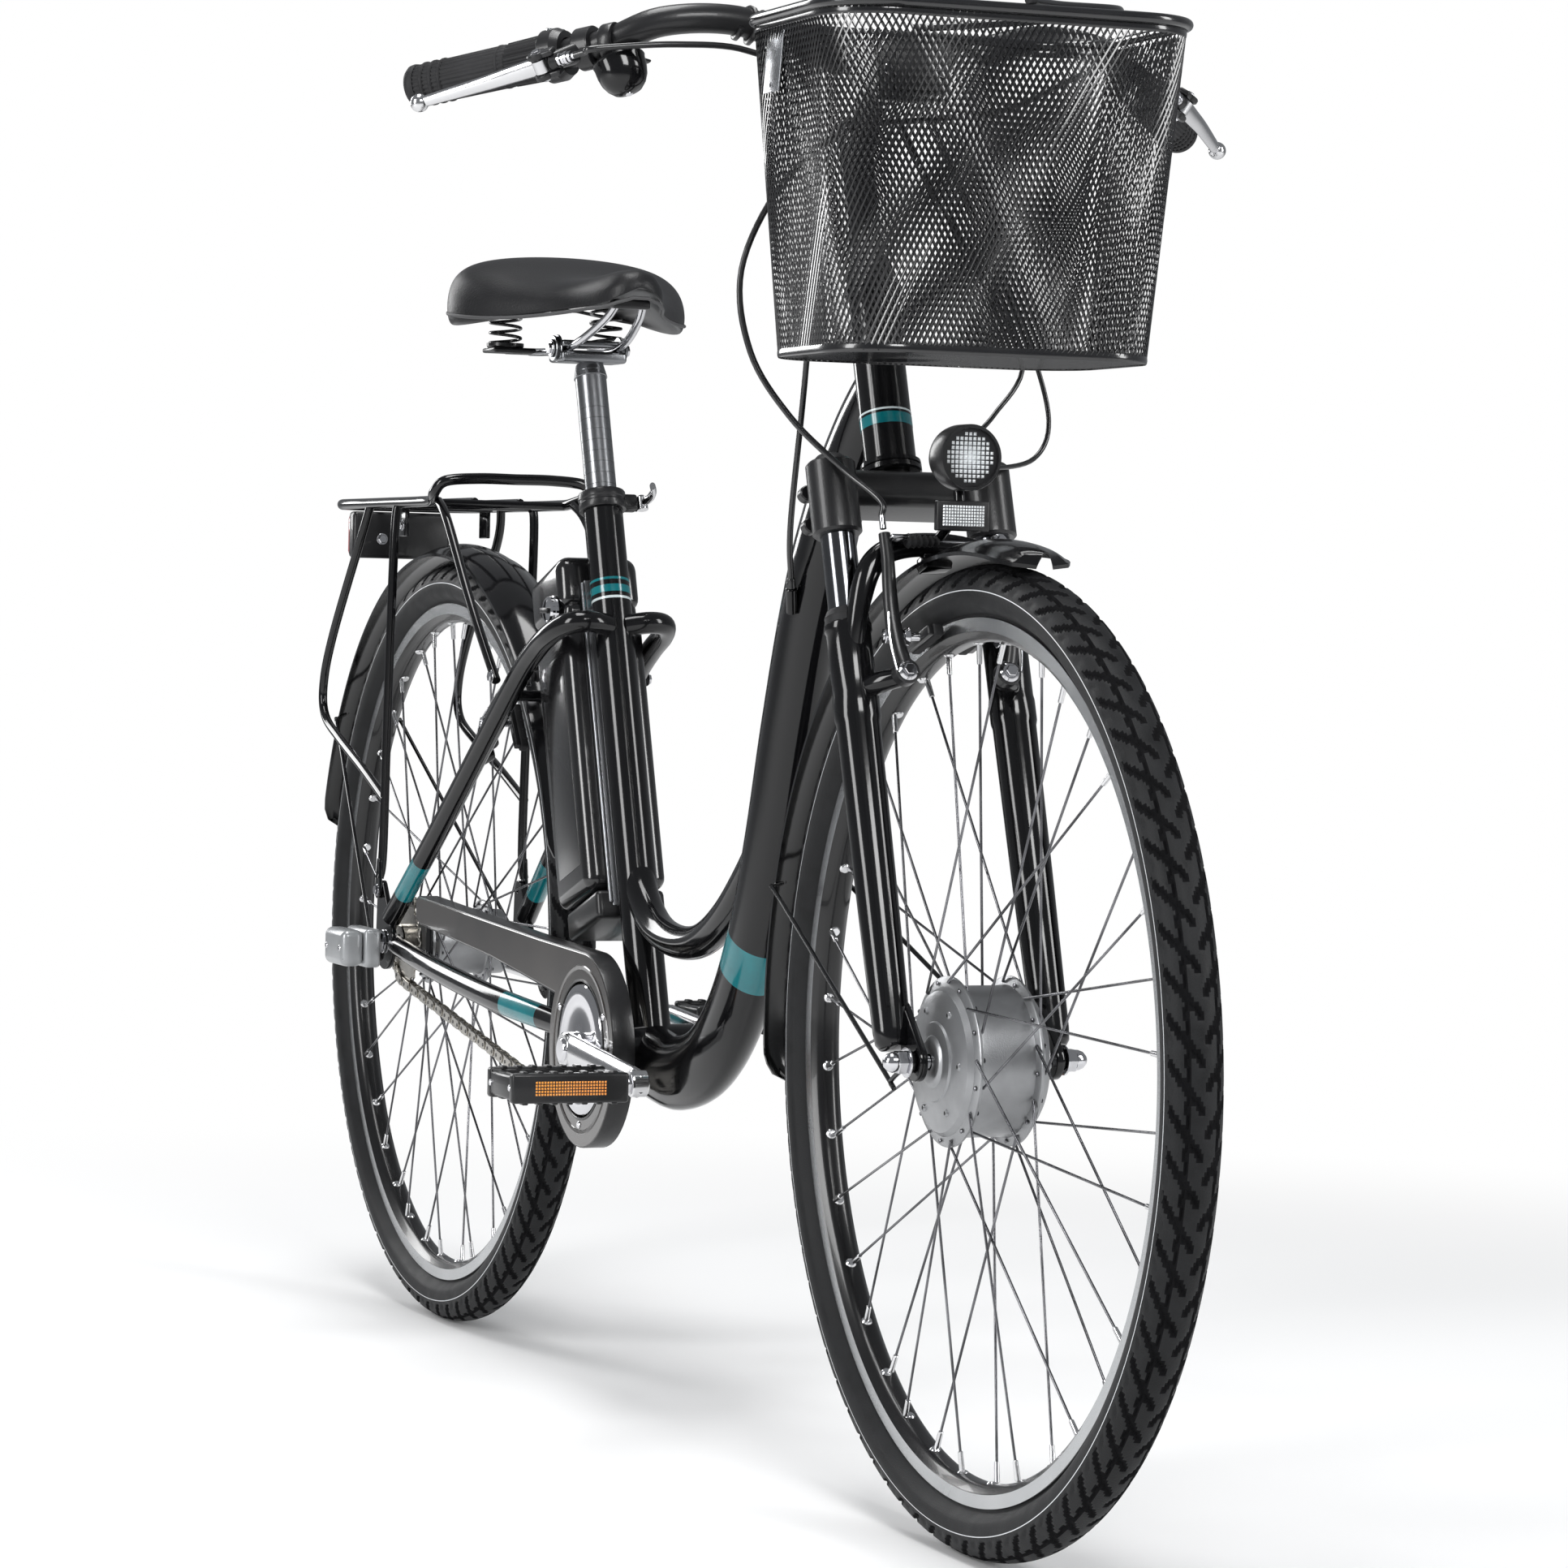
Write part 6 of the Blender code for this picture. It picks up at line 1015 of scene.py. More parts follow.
for side, word in ((-1, "right"), (1, "left")):
    brake_arm("front_" + word + "_arm", "front_" + word + "_brake_arm", "front_arm_" + word,
              steer_point(-0.180, 0.075, side * 0.040), STEER_UP, STEER_FORE, side, 27.4)
    brake_arm("rear_" + word + "_arm", "rear_" + word + "_brake_arm", "rear_arm_" + word,
              rear_boss(side, 0.023), STAY_UP, STAY_OUT, side, 27.5)

# Chain drive: a roller chain in pale plated steel with dark pins, round a toothed sprocket
# and the chainring that the right crank carries.
CHAIN_STEEL = surface("chain_steel", (0.52, 0.50, 0.46), 0.26, 1.0, grain=0.15, grain_size=1500,
                      mottle=0.7, mottle_size=60, second=(0.36, 0.34, 0.31))
PIN_DARK = surface("pin_dark", (0.05, 0.048, 0.045), 0.35, 0.9, grain=0.1, mottle=0.5)
SPROCKET_RADIUS = 38.6 * MM
RING_RADIUS = 66.8 * MM
CHAIN_LEFT = -47 * MM
CHAIN_PITCH = 12.7 * MM
CRANK_LENGTH = 0.170
belt = [Vector((x, CHAIN_LEFT, z)) for x, z in two_circles(
    (REAR_HUB.x, REAR_HUB.z), (BB.x, BB.z), SPROCKET_RADIUS, RING_RADIUS, 60)]
lengths = [(belt[(k + 1) % len(belt)] - belt[k]).length for k in range(len(belt))]
link_count = 2 * round(sum(lengths) / CHAIN_PITCH / 2)


def belt_point(share):
    """A place on the chain's path at a share of its length."""
    left_over = (share % 1.0) * sum(lengths)
    for k, length in enumerate(lengths):
        if left_over <= length:
            return belt[k].lerp(belt[(k + 1) % len(belt)], left_over / length)
        left_over -= length
    return belt[0]


shape = bmesh.new()
for index in range(link_count):
    here = belt_point(index / link_count)
    there = belt_point((index + 1) / link_count)
    spread = 2.3 * MM if index % 2 else 3.2 * MM
    side_shape = two_circles((here.x, here.z), (there.x, there.z), 4.15 * MM, 4.15 * MM, 5)
    for across in (-1, 1):
        for shift in (0.0, 0.8 * MM):
            rim_turn = [shape.verts.new((x, CHAIN_LEFT + across * (spread + shift), z))
                        for x, z in side_shape]
            shape.faces.new(rim_turn)
            if shift:
                for k in range(len(rim_turn)):
                    shape.faces.new((rim_turn[k - 1], rim_turn[k], last_turn[k], last_turn[k - 1]))
            last_turn = rim_turn
    rod(shape, here, LEFT, -2.2, 2.2, 3.6, None, 10, 0, 0.2)
    rod(shape, here, LEFT, -4.3, 4.3, 1.8, None, 8, 1, 0.2)
piece(shape, "roller_chain", "frame", [CHAIN_STEEL, PIN_DARK], ["chain"], 30)


def toothed(centre, radius, teeth):
    """The outline of a chain wheel."""
    outline = []
    for k in range(teeth * 6):
        reach = radius + (1.6 if k % 6 in (0, 1) else (-1.2 if k % 6 in (2, 5) else -2.6)) * MM
        outline.append((centre[0] + cos(tau * k / teeth / 6) * reach,
                        centre[1] + sin(tau * k / teeth / 6) * reach))
    return outline


shape = bmesh.new()
hub_spot = (REAR_HUB.x, REAR_HUB.z)
flat_plate(shape, [toothed(hub_spot, SPROCKET_RADIUS, 19), ring_outline(hub_spot, 16 * MM)], 2 * MM,
           side_place(CHAIN_LEFT), 0.3 * MM)
sprocket_body = [(7, -40.3), (18, -40.3), (18, -46), (16, -48), (16, -54), (14.5, -55), (7, -55)]
turn(shape, sprocket_body, wheel_place(REAR_HUB), 48)
piece(shape, "sprocket_wheel", "sprocket", [CHAIN_STEEL], ["rear_sprocket"], 30)

# Crankset: polished forged arms on a steel spindle. The right arm carries the chainring,
# with five cut-outs, and a chromed dished cover disc.
shape = bmesh.new()
rod(shape, BB, LEFT, -57.8, 57.8, 8.5, None, 28)
for side in (-1, 1):
    rod(shape, BB, LEFT * side, 34.3, 37, 19, None, 40, 1)
piece(shape, "spindle_bar", "crankset", [NIPPLE_STEEL, SATIN_BLACK], ["crank_spindle"], 30)
POLISHED = surface("polished_alloy", (0.66, 0.66, 0.67), 0.16, 1.0, grain=0.08, grain_size=900,
                   mottle=0.5, second=(0.50, 0.50, 0.51))


def crank(name, node, side, angle):
    """One arm, tapered, with a raised face, its boss and the pedal's axle."""
    shape = bmesh.new()
    way = Vector((cos(angle), 0, sin(angle)))
    tip = BB + way * CRANK_LENGTH
    arm_path = [BB.lerp(tip, share) + LEFT * side * 74.5 * MM
                for share in (-0.06, 0, 0.1, 0.5, 0.9, 1.0, 1.055)]
    sweep(shape, arm_path, lambda s: (6.2 * (0.55 if s in (0, 1) else 1),
                                      (16 - 5 * s) * (0.62 if s in (0, 1) else 1)), 28, side_way=LEFT)
    rod(shape, BB, LEFT * side, 58.3, 80.5, 16, 14.5, 40, 0, 1)
    rod(shape, BB, LEFT * side, 80, 82.5, 10.5, 9.5, 36, 1)
    rod(shape, tip, LEFT * side, 70, 185, 5.4, 4.2, 24, 1)
    rod(shape, tip, LEFT * side, 81, 84.5, 8.2, None, 6, 1)
    rod(shape, tip, LEFT * side, 67.5, 81.2, 11, None, 36, 0, 1)
    if side < 0:
        disc = [(9, 58), (20, 58), (20, 61.4), (47, 61.8), (54.4, 63), (55, 64), (54.2, 65), (48, 66.6),
                (44, 66), (30, 64.6), (17, 67.4), (9, 67.6)]
        turn(shape, [(r, -h) for r, h in disc], wheel_place(BB), 96, True, 1)
        centre = (BB.x, BB.z)
        windows = []
        for k in range(5):
            spot = (centre[0] + cos(tau * k / 5) * 42 * MM, centre[1] + sin(tau * k / 5) * 42 * MM)
            windows.append(ring_outline(spot, 11 * MM))
        flat_plate(shape, [toothed(centre, RING_RADIUS, 33), ring_outline(centre, 9 * MM), *windows],
                   2 * MM, side_place(CHAIN_LEFT), 0.3 * MM, 2)
        rod(shape, BB, LEFT, -46, -60, 20, None, 40, 2)
    piece(shape, name, "crankset", [POLISHED, CHROME, CHAIN_STEEL], [node])


crank("right_crank_arm", "right_crank", -1, radians(-4))
crank("left_crank_arm", "left_crank", 1, radians(176))

# Pedals: black plastic cages with ribbed treads, bright screws and an amber reflector in
# each long edge, turning on the crank's axle.
AMBER = surface("amber_reflector", (0.80, 0.26, 0.02), 0.18, 0.1, grain=0.1, mottle=0.6,
                second=(0.95, 0.45, 0.06), coat=0.9)
for word, side, tip in (("right", -1, bike(0.7146, 0, 0.2901)), ("left", 1, bike(0.3754, 0, 0.3139))):
    shape = bmesh.new()
    middle = tip + LEFT * side * 0.142
    for ahead in (-1, 1):
        block(shape, (10, 98, 24), middle + Vector((ahead * 0.028, 0, 0)), 2.5)
        for k in range(7):
            for up in (-1, 1):
                block(shape, (10, 5, 3), middle + Vector((ahead * 0.0265, (k - 3) * 0.0125, up * 0.0118)),
                      0.8, 0, 1)
        edge_turn = Matrix(((0, 0, ahead, 0), (1, 0, 0, 0), (0, 1, 0, 0), (0, 0, 0, 1)))
        edge_spot = Matrix.Translation(middle + Vector((ahead * 0.0327, 0, 0))) @ edge_turn
        prisms(shape, edge_spot, 0.030, 0.006, 2.4 * MM, 1.0 * MM, 1, False)
    for end in (-1, 1):
        block(shape, (60, 11, 20), middle + LEFT * end * 0.0430, 3)
        for ahead in (-1, 1):
            screw = middle + Vector((ahead * 0.024, end * 0.0480, 0))
            rod(shape, screw, LEFT * end, 0, 1.4, 2.6, None, 18, 2)
    turn(shape, [(5.8, -48), (9.5, -48), (9.5, 40), (7, 48), (5.8, 48)], along(middle, LEFT * side), 32)
    piece(shape, word + "_pedal_cage", "pedal_" + word, [SATIN_BLACK, AMBER, CHROME],
          [word + "_pedal"])

# Chain case: a moulded shell in smoked brown-grey plastic with a black outer band round the
# disc and a recessed ring about its opening.
SMOKE = surface("smoked_plastic", (0.018, 0.016, 0.015), 0.16, shine=0.4, grain=0.06, mottle=0.6,
                mottle_size=9, second=(0.060, 0.052, 0.046), coat=0.5)
CASE_RADIUS = 82 * MM
CASE_OPENING = 57 * MM


def case_outline(inset):
    """The case in side view: a disc with a tapering arm over the upper run."""
    radius = CASE_RADIUS - inset
    points = []
    for step in range(49):
        angle = radians(84 - 296 * step / 48)
        points.append((BB.x + cos(angle) * radius, BB.z + sin(angle) * radius))
    arm = [(0.300, 0.362 + inset), (0.090 + inset, 0.3765 + inset), (0.080 + inset, 0.381 + inset),
           (0.078 + inset, 0.3985 - inset), (0.086 + inset, 0.4025 - inset), (0.300, 0.393 - inset),
           (0.430, 0.3875 - inset)]
    return points + [(x + REAR_AXLE_X, z) for x, z in arm]


shape = bmesh.new()
opening = ring_outline((BB.x, BB.z), CASE_OPENING, 72)
flat_plate(shape, [case_outline(0.0), case_outline(2 * MM)], 19 * MM, side_place(-54.5 * MM), 0.8 * MM, 1)
flat_plate(shape, [case_outline(1 * MM), opening], 2.4 * MM, side_place(-63 * MM), 0.8 * MM)
turn(shape, [(57, -58), (59, -58), (59, -64.6), (57.6, -65), (57, -64.4)], wheel_place(BB), 96, True, 1)
turn(shape, [(66, -63), (67.4, -64.8), (70, -65), (71.5, -63.6)], wheel_place(BB), 96, True, 0)
for angle in (30, 150, 270):
    screw = BB + Vector((cos(radians(angle)) * 63 * MM, -64 * MM, sin(radians(angle)) * 63 * MM))
    rod(shape, screw, LEFT, 0, -1.6, 3.2, 2.6, 20, 2)
piece(shape, "chain_case_shell", "frame", [SMOKE, SATIN_BLACK, CHROME], ["chain_case"])

# Side stand: a polished alloy leg on a bolted knuckle, folded back along the stay, with a
# black rubber shoe.
shape = bmesh.new()
foot = STAND_PIVOT + STAND_FOLDED * 0.332
rod(shape, STAND_PIVOT, STAND_OUT, -8.5, 8.5, 11, None, 36, 0, 1)
hex_head(shape, STAND_PIVOT + STAND_OUT * 8.4 * MM, STAND_OUT, 5, 3.2, 0)
bar(shape, STAND_PIVOT + STAND_FOLDED * 6 * MM, foot, 8, 6, 32)
rod(shape, foot, STAND_FOLDED, -30, 4, 8.5, None, 28, 1, 2.5)
for k in range(4):
    groove = foot - STAND_FOLDED * (0.024 - 0.006 * k)
    rod(shape, groove, STAND_FOLDED, 0, 2, 8.9, None, 28, 1, 0.4)
piece(shape, "stand_leg", "stand", [POLISHED, SOFT_RUBBER], ["kickstand"], 30)

# Battery: a gloss black moulded case that slides down behind the seat tube, with a groove
# all round, raised panels, a charge display window and a rubber grip on top.
SHELL = surface("battery_shell", (0.006, 0.006, 0.0065), 0.17, grain=0.08, grain_size=500,
                mottle=0.5, mottle_size=8, second=(0.012, 0.012, 0.013), coat=0.4)
WINDOW = surface("dark_window", (0.02, 0.03, 0.035), 0.05, grain=0.02, mottle=0.4, coat=1.0)


def seat_place(*spot):
    """A placing in line with the seat tube, at a place given as for seat_point."""
    return placed(seat_point(*spot), SEAT_FORE, SEAT_UP)


pack = seat_place(0.2955, -0.0645)
shape = bmesh.new()
block(shape, (86.5, 73.5, 250), moved(pack, 0, 0, -24.5), 12, 0, 6)
block(shape, (86.5, 73.5, 48.5), moved(pack, 0, 0, 126.2), 12, 0, 6)
block(shape, (80, 67, 20), moved(pack, 0, 0, 101.5), 8, 0)
for side in (-1, 1):
    block(shape, (56, 1.2, 190), moved(pack, 2, side * 36.6, -30), 0.5)
block(shape, (2, 30, 12), moved(pack, -42.8, 0, 118), 0.6, 1)
block(shape, (2, 40, 180), moved(pack, -42.8, 0, -30), 0.8)
block(shape, (50, 18, 3), moved(pack, -4, 0, 149.5), 1.2, 2)
piece(shape, "battery_case", "battery_pack", [SHELL, WINDOW, SOFT_RUBBER], ["battery"])

# Battery dock: a black plastic foot with its socket, and a satin silver rail screwed to the
# seat tube that guides the case.
SATIN_SILVER = surface("satin_silver", (0.38, 0.39, 0.41), 0.24, 0.9, grain=0.15, grain_size=900,
                       mottle=0.5, second=(0.36, 0.37, 0.39))
shape = bmesh.new()
block(shape, (82, 62, 25.5), seat_place(0.1317, -0.0588), 5)
block(shape, (81.5, 58, 4), seat_place(0.1360, -0.0590), 1, 2)
block(shape, (3, 34, 291), seat_place(0.2752, -0.0188), 1, 1)
for up in (0.17, 0.26, 0.36):
    screw = seat_point(up, -0.0200)
    rod(shape, screw, SEAT_FORE, 0, -0.4, 4, None, 24, 3, 0.1)
for side in (-1, 1):
    block(shape, (4, 3.5, 286), seat_place(0.2752, -0.0175, side * 0.0185), 1.2, 1)
piece(shape, "battery_dock_set", "frame", [SATIN_BLACK, SATIN_SILVER, SOFT_RUBBER, CHROME],
      ["battery_dock"])

# Battery lock: a plated steel barrel with a turned rim, set in the right face of the case.
# A small black grip lies across it, where the key turns.
shape = bmesh.new()
face = seat_point(0.401, -0.043, -0.0373)
rings = [(4, 0), (13, 0), (13, 2), (12.2, 2.6), (12.2, 5.2), (11, 7), (9.4, 7), (9.2, 6), (0, 6)]
turn(shape, rings, along(face, -LEFT), 48, False)
block(shape, (20, 4.5, 5), face - LEFT * 8 * MM, 1.2, 1)
piece(shape, "battery_lock_barrel", "lock_barrel", [CHROME, SATIN_BLACK], ["battery_lock"],
      30)

# Seat collar and its lever: a black split collar with an ear on the left, closed by a
# polished cam lever that lies forward along the tube.
shape = bmesh.new()
collar = [(17.35, 0), (20, 0), (20.6, 1), (20.6, 6), (19.9, 7), (19.9, 9), (20.6, 10), (20.6, 15),
          (20, 16), (17.35, 16)]
turn(shape, collar, along(seat_point(0.478), SEAT_UP), 56)
block(shape, (12, 13.5, 14), seat_place(0.486, 0, 0.0243), 2.5)
# The split in the collar's ear is a thin dark slab: painted shade for the gap.
block(shape, (1.5, 14, 14.5), seat_place(0.486, 0, 0.0246), 0.2, 1)
hex_head(shape, seat_point(0.486, -0.0058, 0.0250), -SEAT_FORE, 3.4, 2.6, 2)
piece(shape, "seat_collar_ring", "frame", [SATIN_BLACK, HOLE_PAINTED_SHADE, CHROME], ["seat_collar"])
shape = bmesh.new()
cam = seat_point(0.486, 0, 0.0366)
rod(shape, cam, SEAT_UP, -6, 6, 5, None, 32)
hex_head(shape, cam + SEAT_UP * 5.8 * MM, SEAT_UP, 2.8, 1.8)
handle = [cam, cam + SEAT_FORE * 14 * MM + LEFT * 2 * MM, cam + SEAT_FORE * 30 * MM,
          cam + SEAT_FORE * 45 * MM - LEFT * 6 * MM]
sweep(shape, smooth(handle, 8), lambda s: (4.6 - 1.2 * abs(2 * s - 1), 2.6), 20, side_way=SEAT_UP)
piece(shape, "seat_cam_lever", "post_lever", [POLISHED], ["seat_lever"])

# Seat post: satin alloy tube with engraved height lines and a two-bolt cradle of the same
# metal that grips the saddle's rails.
POST_GREY = surface("post_grey", (0.22, 0.225, 0.235), 0.26, 0.95, grain=0.15, grain_size=900,
                    mottle=0.4, second=(0.15, 0.155, 0.16), stretch=(1, 1, 0.1))
shape = bmesh.new()
post_top = seat_point(0.6152)
bar(shape, seat_point(0.200), seat_point(0.606), 13.6, None, 48)
# The engraved height lines are thin dark bands: painted shade for their grooves.
for k in range(8):
    bar(shape, seat_point(0.500 + 0.010 * k), seat_point(0.5003 + 0.010 * k), 13.66, None, 48, 1, 0.02)
bar(shape, seat_point(0.600), seat_point(0.613), 14.6, 12, 40)
cradle = Matrix.Translation((post_top.x - 4 * MM, 0, 0.8885))
block(shape, (38, 60, 10), cradle, 3)
block(shape, (34, 58, 6), moved(cradle, 0, 0, 11.2), 2)
for side in (-1, 1):
    stack = Vector((post_top.x - 4 * MM, side * 0.0285, 0.8955))
    for step, radius in enumerate((12, 10.4, 11.2, 8)):
        washer = stack + LEFT * side * (step * 1.9 - 1.5) * MM
        rod(shape, washer, LEFT * side, 0, 1.8, radius, None, 36, 0, 0.5)
    hex_head(shape, stack + LEFT * side * 6.0 * MM, LEFT * side, 5.2, 3, 2)
piece(shape, "seat_post_tube", "seat", [POST_GREY, HOLE_PAINTED_SHADE, CHROME], ["seat_post"])

# Saddle springs and undercarriage: chromed rails that run from the nose to a pressed plate
# over the post, and a black coil on each side of it between steel cups.
shape = bmesh.new()
PLATE_X = 0.254
COIL_TURNS = 4
COIL_STEPS = 28
COIL_RADIUS = 13.5 * MM
COIL_LEFT = 47 * MM
RAIL = [(0.250, 0.0220, 0.8960), (0.290, 0.0220, 0.8945), (0.340, 0.0220, 0.8945), (0.385, 0.0205, 0.9020),
        (0.430, 0.0150, 0.9180), (0.448, 0.0120, 0.9300)]
for side in (-1, 1):
    sweep(shape, smooth(RAIL, 8, side), 3.5, 20)
block(shape, (34, 126, 4.2), bike(PLATE_X, 0, 0.8961), 1.8, 1)
block(shape, (26, 90, 5.2), bike(PLATE_X, 0, 0.8961), 2.2, 1)
block(shape, (10, 34, 8), bike(0.448, 0, 0.930), 2, 1)
for side in (-1, 1):
    cup = bike(PLATE_X, side * COIL_LEFT, 0.8984)
    turn(shape, [(0, 0), (15.5, 0), (16.4, 1.4), (16.4, 4.2), (15.6, 4.2), (15.4, 1.6), (0, 1.4)],
         Matrix.Translation(cup), 40, False, 1)
piece(shape, "saddle_rails", "seat", [CHROME, SATIN_BLACK], ["saddle_frame"])


def mirrored(point, side):
    """A point given on the left, or its image on the right."""
    return Vector((point.x, side * point.y, point.z))


SPRING_BLACK = surface("spring_black", (0.02, 0.02, 0.021), 0.22, 0.6, grain=0.1, mottle=0.5, coat=0.4)
for side, word in ((-1, "right"), (1, "left")):
    shape = bmesh.new()
    coil = []
    for step in range(COIL_TURNS * COIL_STEPS + 1):
        round_and_up = spun(tau * step / COIL_STEPS, COIL_RADIUS,
                            35.4 * MM * step / COIL_TURNS / COIL_STEPS)
        middle = bike(PLATE_X, COIL_LEFT, 0.8988 + 1.3 * MM)
        coil.append(mirrored(middle + round_and_up, side))
    sweep(shape, coil, 1.45, 12)
    piece(shape, word + "_saddle_coil", "seat", [SPRING_BLACK], [word + "_saddle_spring"],
          38, False)

# Saddle: a padded cushion in black synthetic leather over a moulded base, with a piped seam
# round its edge.
LEATHER = surface("synthetic_leather", (0.008, 0.008, 0.009), 0.40, grain=0.7, grain_size=620,
                  mottle=0.7, mottle_size=18, second=(0.014, 0.014, 0.015), wear=0.1, shine=0.3)
THREAD = surface("seam_thread", (0.05, 0.05, 0.052), 0.6, grain=0.3, mottle=0.5)
SADDLE_REAR = 0.226
SLICE = 0.0085
SECTIONS = [(0.000, 0.088, 0.9790, 0.9150), (0.050, 0.121, 0.9850, 0.8930), (0.118, 0.090, 0.9570, 0.9080),
            (0.182, 0.038, 0.9560, 0.9220), (0.256, 0.027, 0.9660, 0.9220)]
shape = bmesh.new()
rings = []
for ahead, half, top, edge in SECTIONS:
    under = max(0.9385, edge)
    right = [(0.0, top), (half * 0.62, top - 4 * MM), (half, top - 20 * MM), (half * 0.97, edge),
             (half * 0.74, under), (0.0, under + 2 * MM)]
    ring = right + [(-across, height) for across, height in right[-2:0:-1]]
    rings.append([shape.verts.new(bike(SADDLE_REAR + ahead, across, height)) for across, height in ring])
skin(shape, rings)
shape.faces.new(rings[0][::-1])
shape.faces.new(rings[-1])
bmesh.ops.recalc_face_normals(shape, faces=shape.faces)
cage_mesh = bpy.data.meshes.new("saddle_cage")
shape.to_mesh(cage_mesh)
shape.free()
cage = bpy.data.objects.new("saddle_cage", cage_mesh)
bpy.context.scene.collection.objects.link(cage)
rounding = cage.modifiers.new("rounding", "SUBSURF")
rounding.levels = 4
rounding.render_levels = 4
full = bpy.data.meshes.new_from_object(cage.evaluated_get(bpy.context.evaluated_depsgraph_get()))
bpy.data.objects.remove(cage)
shape = bmesh.new()
shape.from_mesh(full)
for face in shape.faces:
    face.material_index = 1 if face.normal.z < -0.55 else 0
outer = {}
for vert in shape.verts:
    key = round((vert.co.x - REAR_AXLE_X - SADDLE_REAR) / SLICE)
    for side in (-1, 1):
        known = outer.get((key, side))
        if vert.co.y * side > 0 and (known is None or abs(vert.co.y) > abs(known.y)):
            outer[key, side] = vert.co.copy()
keys = sorted({key for key, side in outer})
welt = [outer[k, -1] for k in keys if (k, -1) in outer]
welt += [outer[k, 1] for k in keys[::-1] if (k, 1) in outer]
welt_path = []
for k, here in enumerate(welt):
    after = welt[(k + 1) % len(welt)]
    welt_path.append((welt[k - 1] + here * 2 + after) / 4 - Vector((0, 0, 6 * MM)))
sweep(shape, welt_path, 1.6, 10, True, 2)
saddle = piece(shape, "saddle_cushion", "seat", [LEATHER, SATIN_BLACK, THREAD], ["saddle"],
               40, False)

# Rear rack: gloss black steel tube welded into a deck with a raised hoop, struts to the
# seat stays and side guards. Under the deck sit two small plates with bright bolts.
shape = bmesh.new()
RACK_Z = 0.764
RACK_RAIL = [(-0.205, 0.0, RACK_Z), (-0.205, 0.022, RACK_Z), (-0.201, 0.050, RACK_Z),
             (-0.175, 0.066, RACK_Z), (-0.100, 0.066, RACK_Z), (-0.020, 0.066, RACK_Z),
             (0.070, 0.066, RACK_Z), (0.110, 0.0665, RACK_Z + 0.001), (0.138, 0.073, RACK_Z + 0.008),
             (0.149, 0.066, RACK_Z + 0.018), (0.152, 0.035, RACK_Z + 0.021), (0.152, 0.0, RACK_Z + 0.021)]
FRONT_STAY = [(0.004, 0.065, 0.762), (0.003, 0.0683, 0.735), (-0.008, 0.0685, 0.560),
              (-0.013, 0.0685, 0.440), (-0.0135, 0.0714, 0.413)]
GUARD_STAY = [(-0.087, 0.065, 0.762), (-0.108, 0.0683, 0.728), (-0.190, 0.0685, 0.640),
              (-0.220, 0.0685, 0.592), (-0.213, 0.0685, 0.560), (-0.160, 0.0685, 0.538),
              (-0.080, 0.0685, 0.512), (-0.010, 0.0685, 0.487)]
STRUT = [(0.125, 0.065, 0.764), (0.160, 0.067, 0.745), (0.240, 0.0695, 0.672), (0.316, 0.0695, 0.605)]
for side in (-1, 1):
    sweep(shape, smooth(RACK_RAIL, 8, side), 5, 20)
    for run in (FRONT_STAY, GUARD_STAY, STRUT):
        sweep(shape, smooth(run, 7, side), 4.2, 18)
    eye = [two_circles((REAR_AXLE_X - 0.014, 0.402), (REAR_AXLE_X - 0.0133, 0.428), 8 * MM, 4 * MM),
           ring_outline((REAR_AXLE_X - 0.014, 0.402), 2.4 * MM)]
    flat_plate(shape, eye, 3 * MM, side_place(side * 71.8 * MM), 0.4 * MM)
    hex_head(shape, bike(-0.014, side * 0.0732, 0.402), LEFT * side, 4.4, 3, 1)
    hex_head(shape, bike(0.312, side * 0.0725, 0.6085), LEFT * side, 4.6, 3, 1)
    block(shape, (26, 3, 30), bike(-0.060, side * 0.040, 0.7485), 1)
    hex_head(shape, bike(-0.060, side * 0.0415, 0.744), LEFT * side, 4.2, 2.6, 1)
    bar(shape, bike(-0.204, side * 0.022, 0.7647), bike(0.099, side * 0.022, 0.7647), 4.2, None, 18)
for ahead in (-0.110, 0.004, 0.100):
    bar(shape, bike(ahead, -0.065, 0.763), bike(ahead, 0.065, 0.763), 3.8, None, 18)
block(shape, (30, 80, 3), bike(-0.060, 0, 0.7595), 1)
piece(shape, "rear_rack_tubes", "frame", [PAINT, CHROME], ["rear_rack"])

# Rear light: a black housing bolted under the rack's end, with a ribbed red lens across its
# rear face and a silver bolt on its front.
LIGHT_Z = 0.7357
LENS_RED = surface("lens_red", (0.42, 0.008, 0.010), 0.10, grain=0.05, mottle=0.5,
                   second=(0.62, 0.02, 0.02), coat=1.0)
shape = bmesh.new()
block(shape, (18.5, 98, 45), bike(-0.2035, 0, LIGHT_Z), 4)
block(shape, (14, 94, 41), bike(-0.2165, 0, LIGHT_Z), 5, 1)
for k in range(11):
    rib = bike(-0.2233, (k - 5) * 0.0078, LIGHT_Z)
    block(shape, (1.6, 4.5, 34), rib, 0.7, 1, 2)
# The pale window in the middle of the lens takes the same pale lens finish, a painted reflection.
block(shape, (2.5, 30, 12), bike(-0.2232, 0, LIGHT_Z), 1, 2)
hex_head(shape, bike(-0.1945, -0.020, 0.732), Vector((1, 0, 0)), 4.4, 3, 3)
piece(shape, "rear_lamp", "frame", [SATIN_BLACK, LENS_RED, LENS_PAINTED_REFLECTION, CHROME], ["rear_light"])

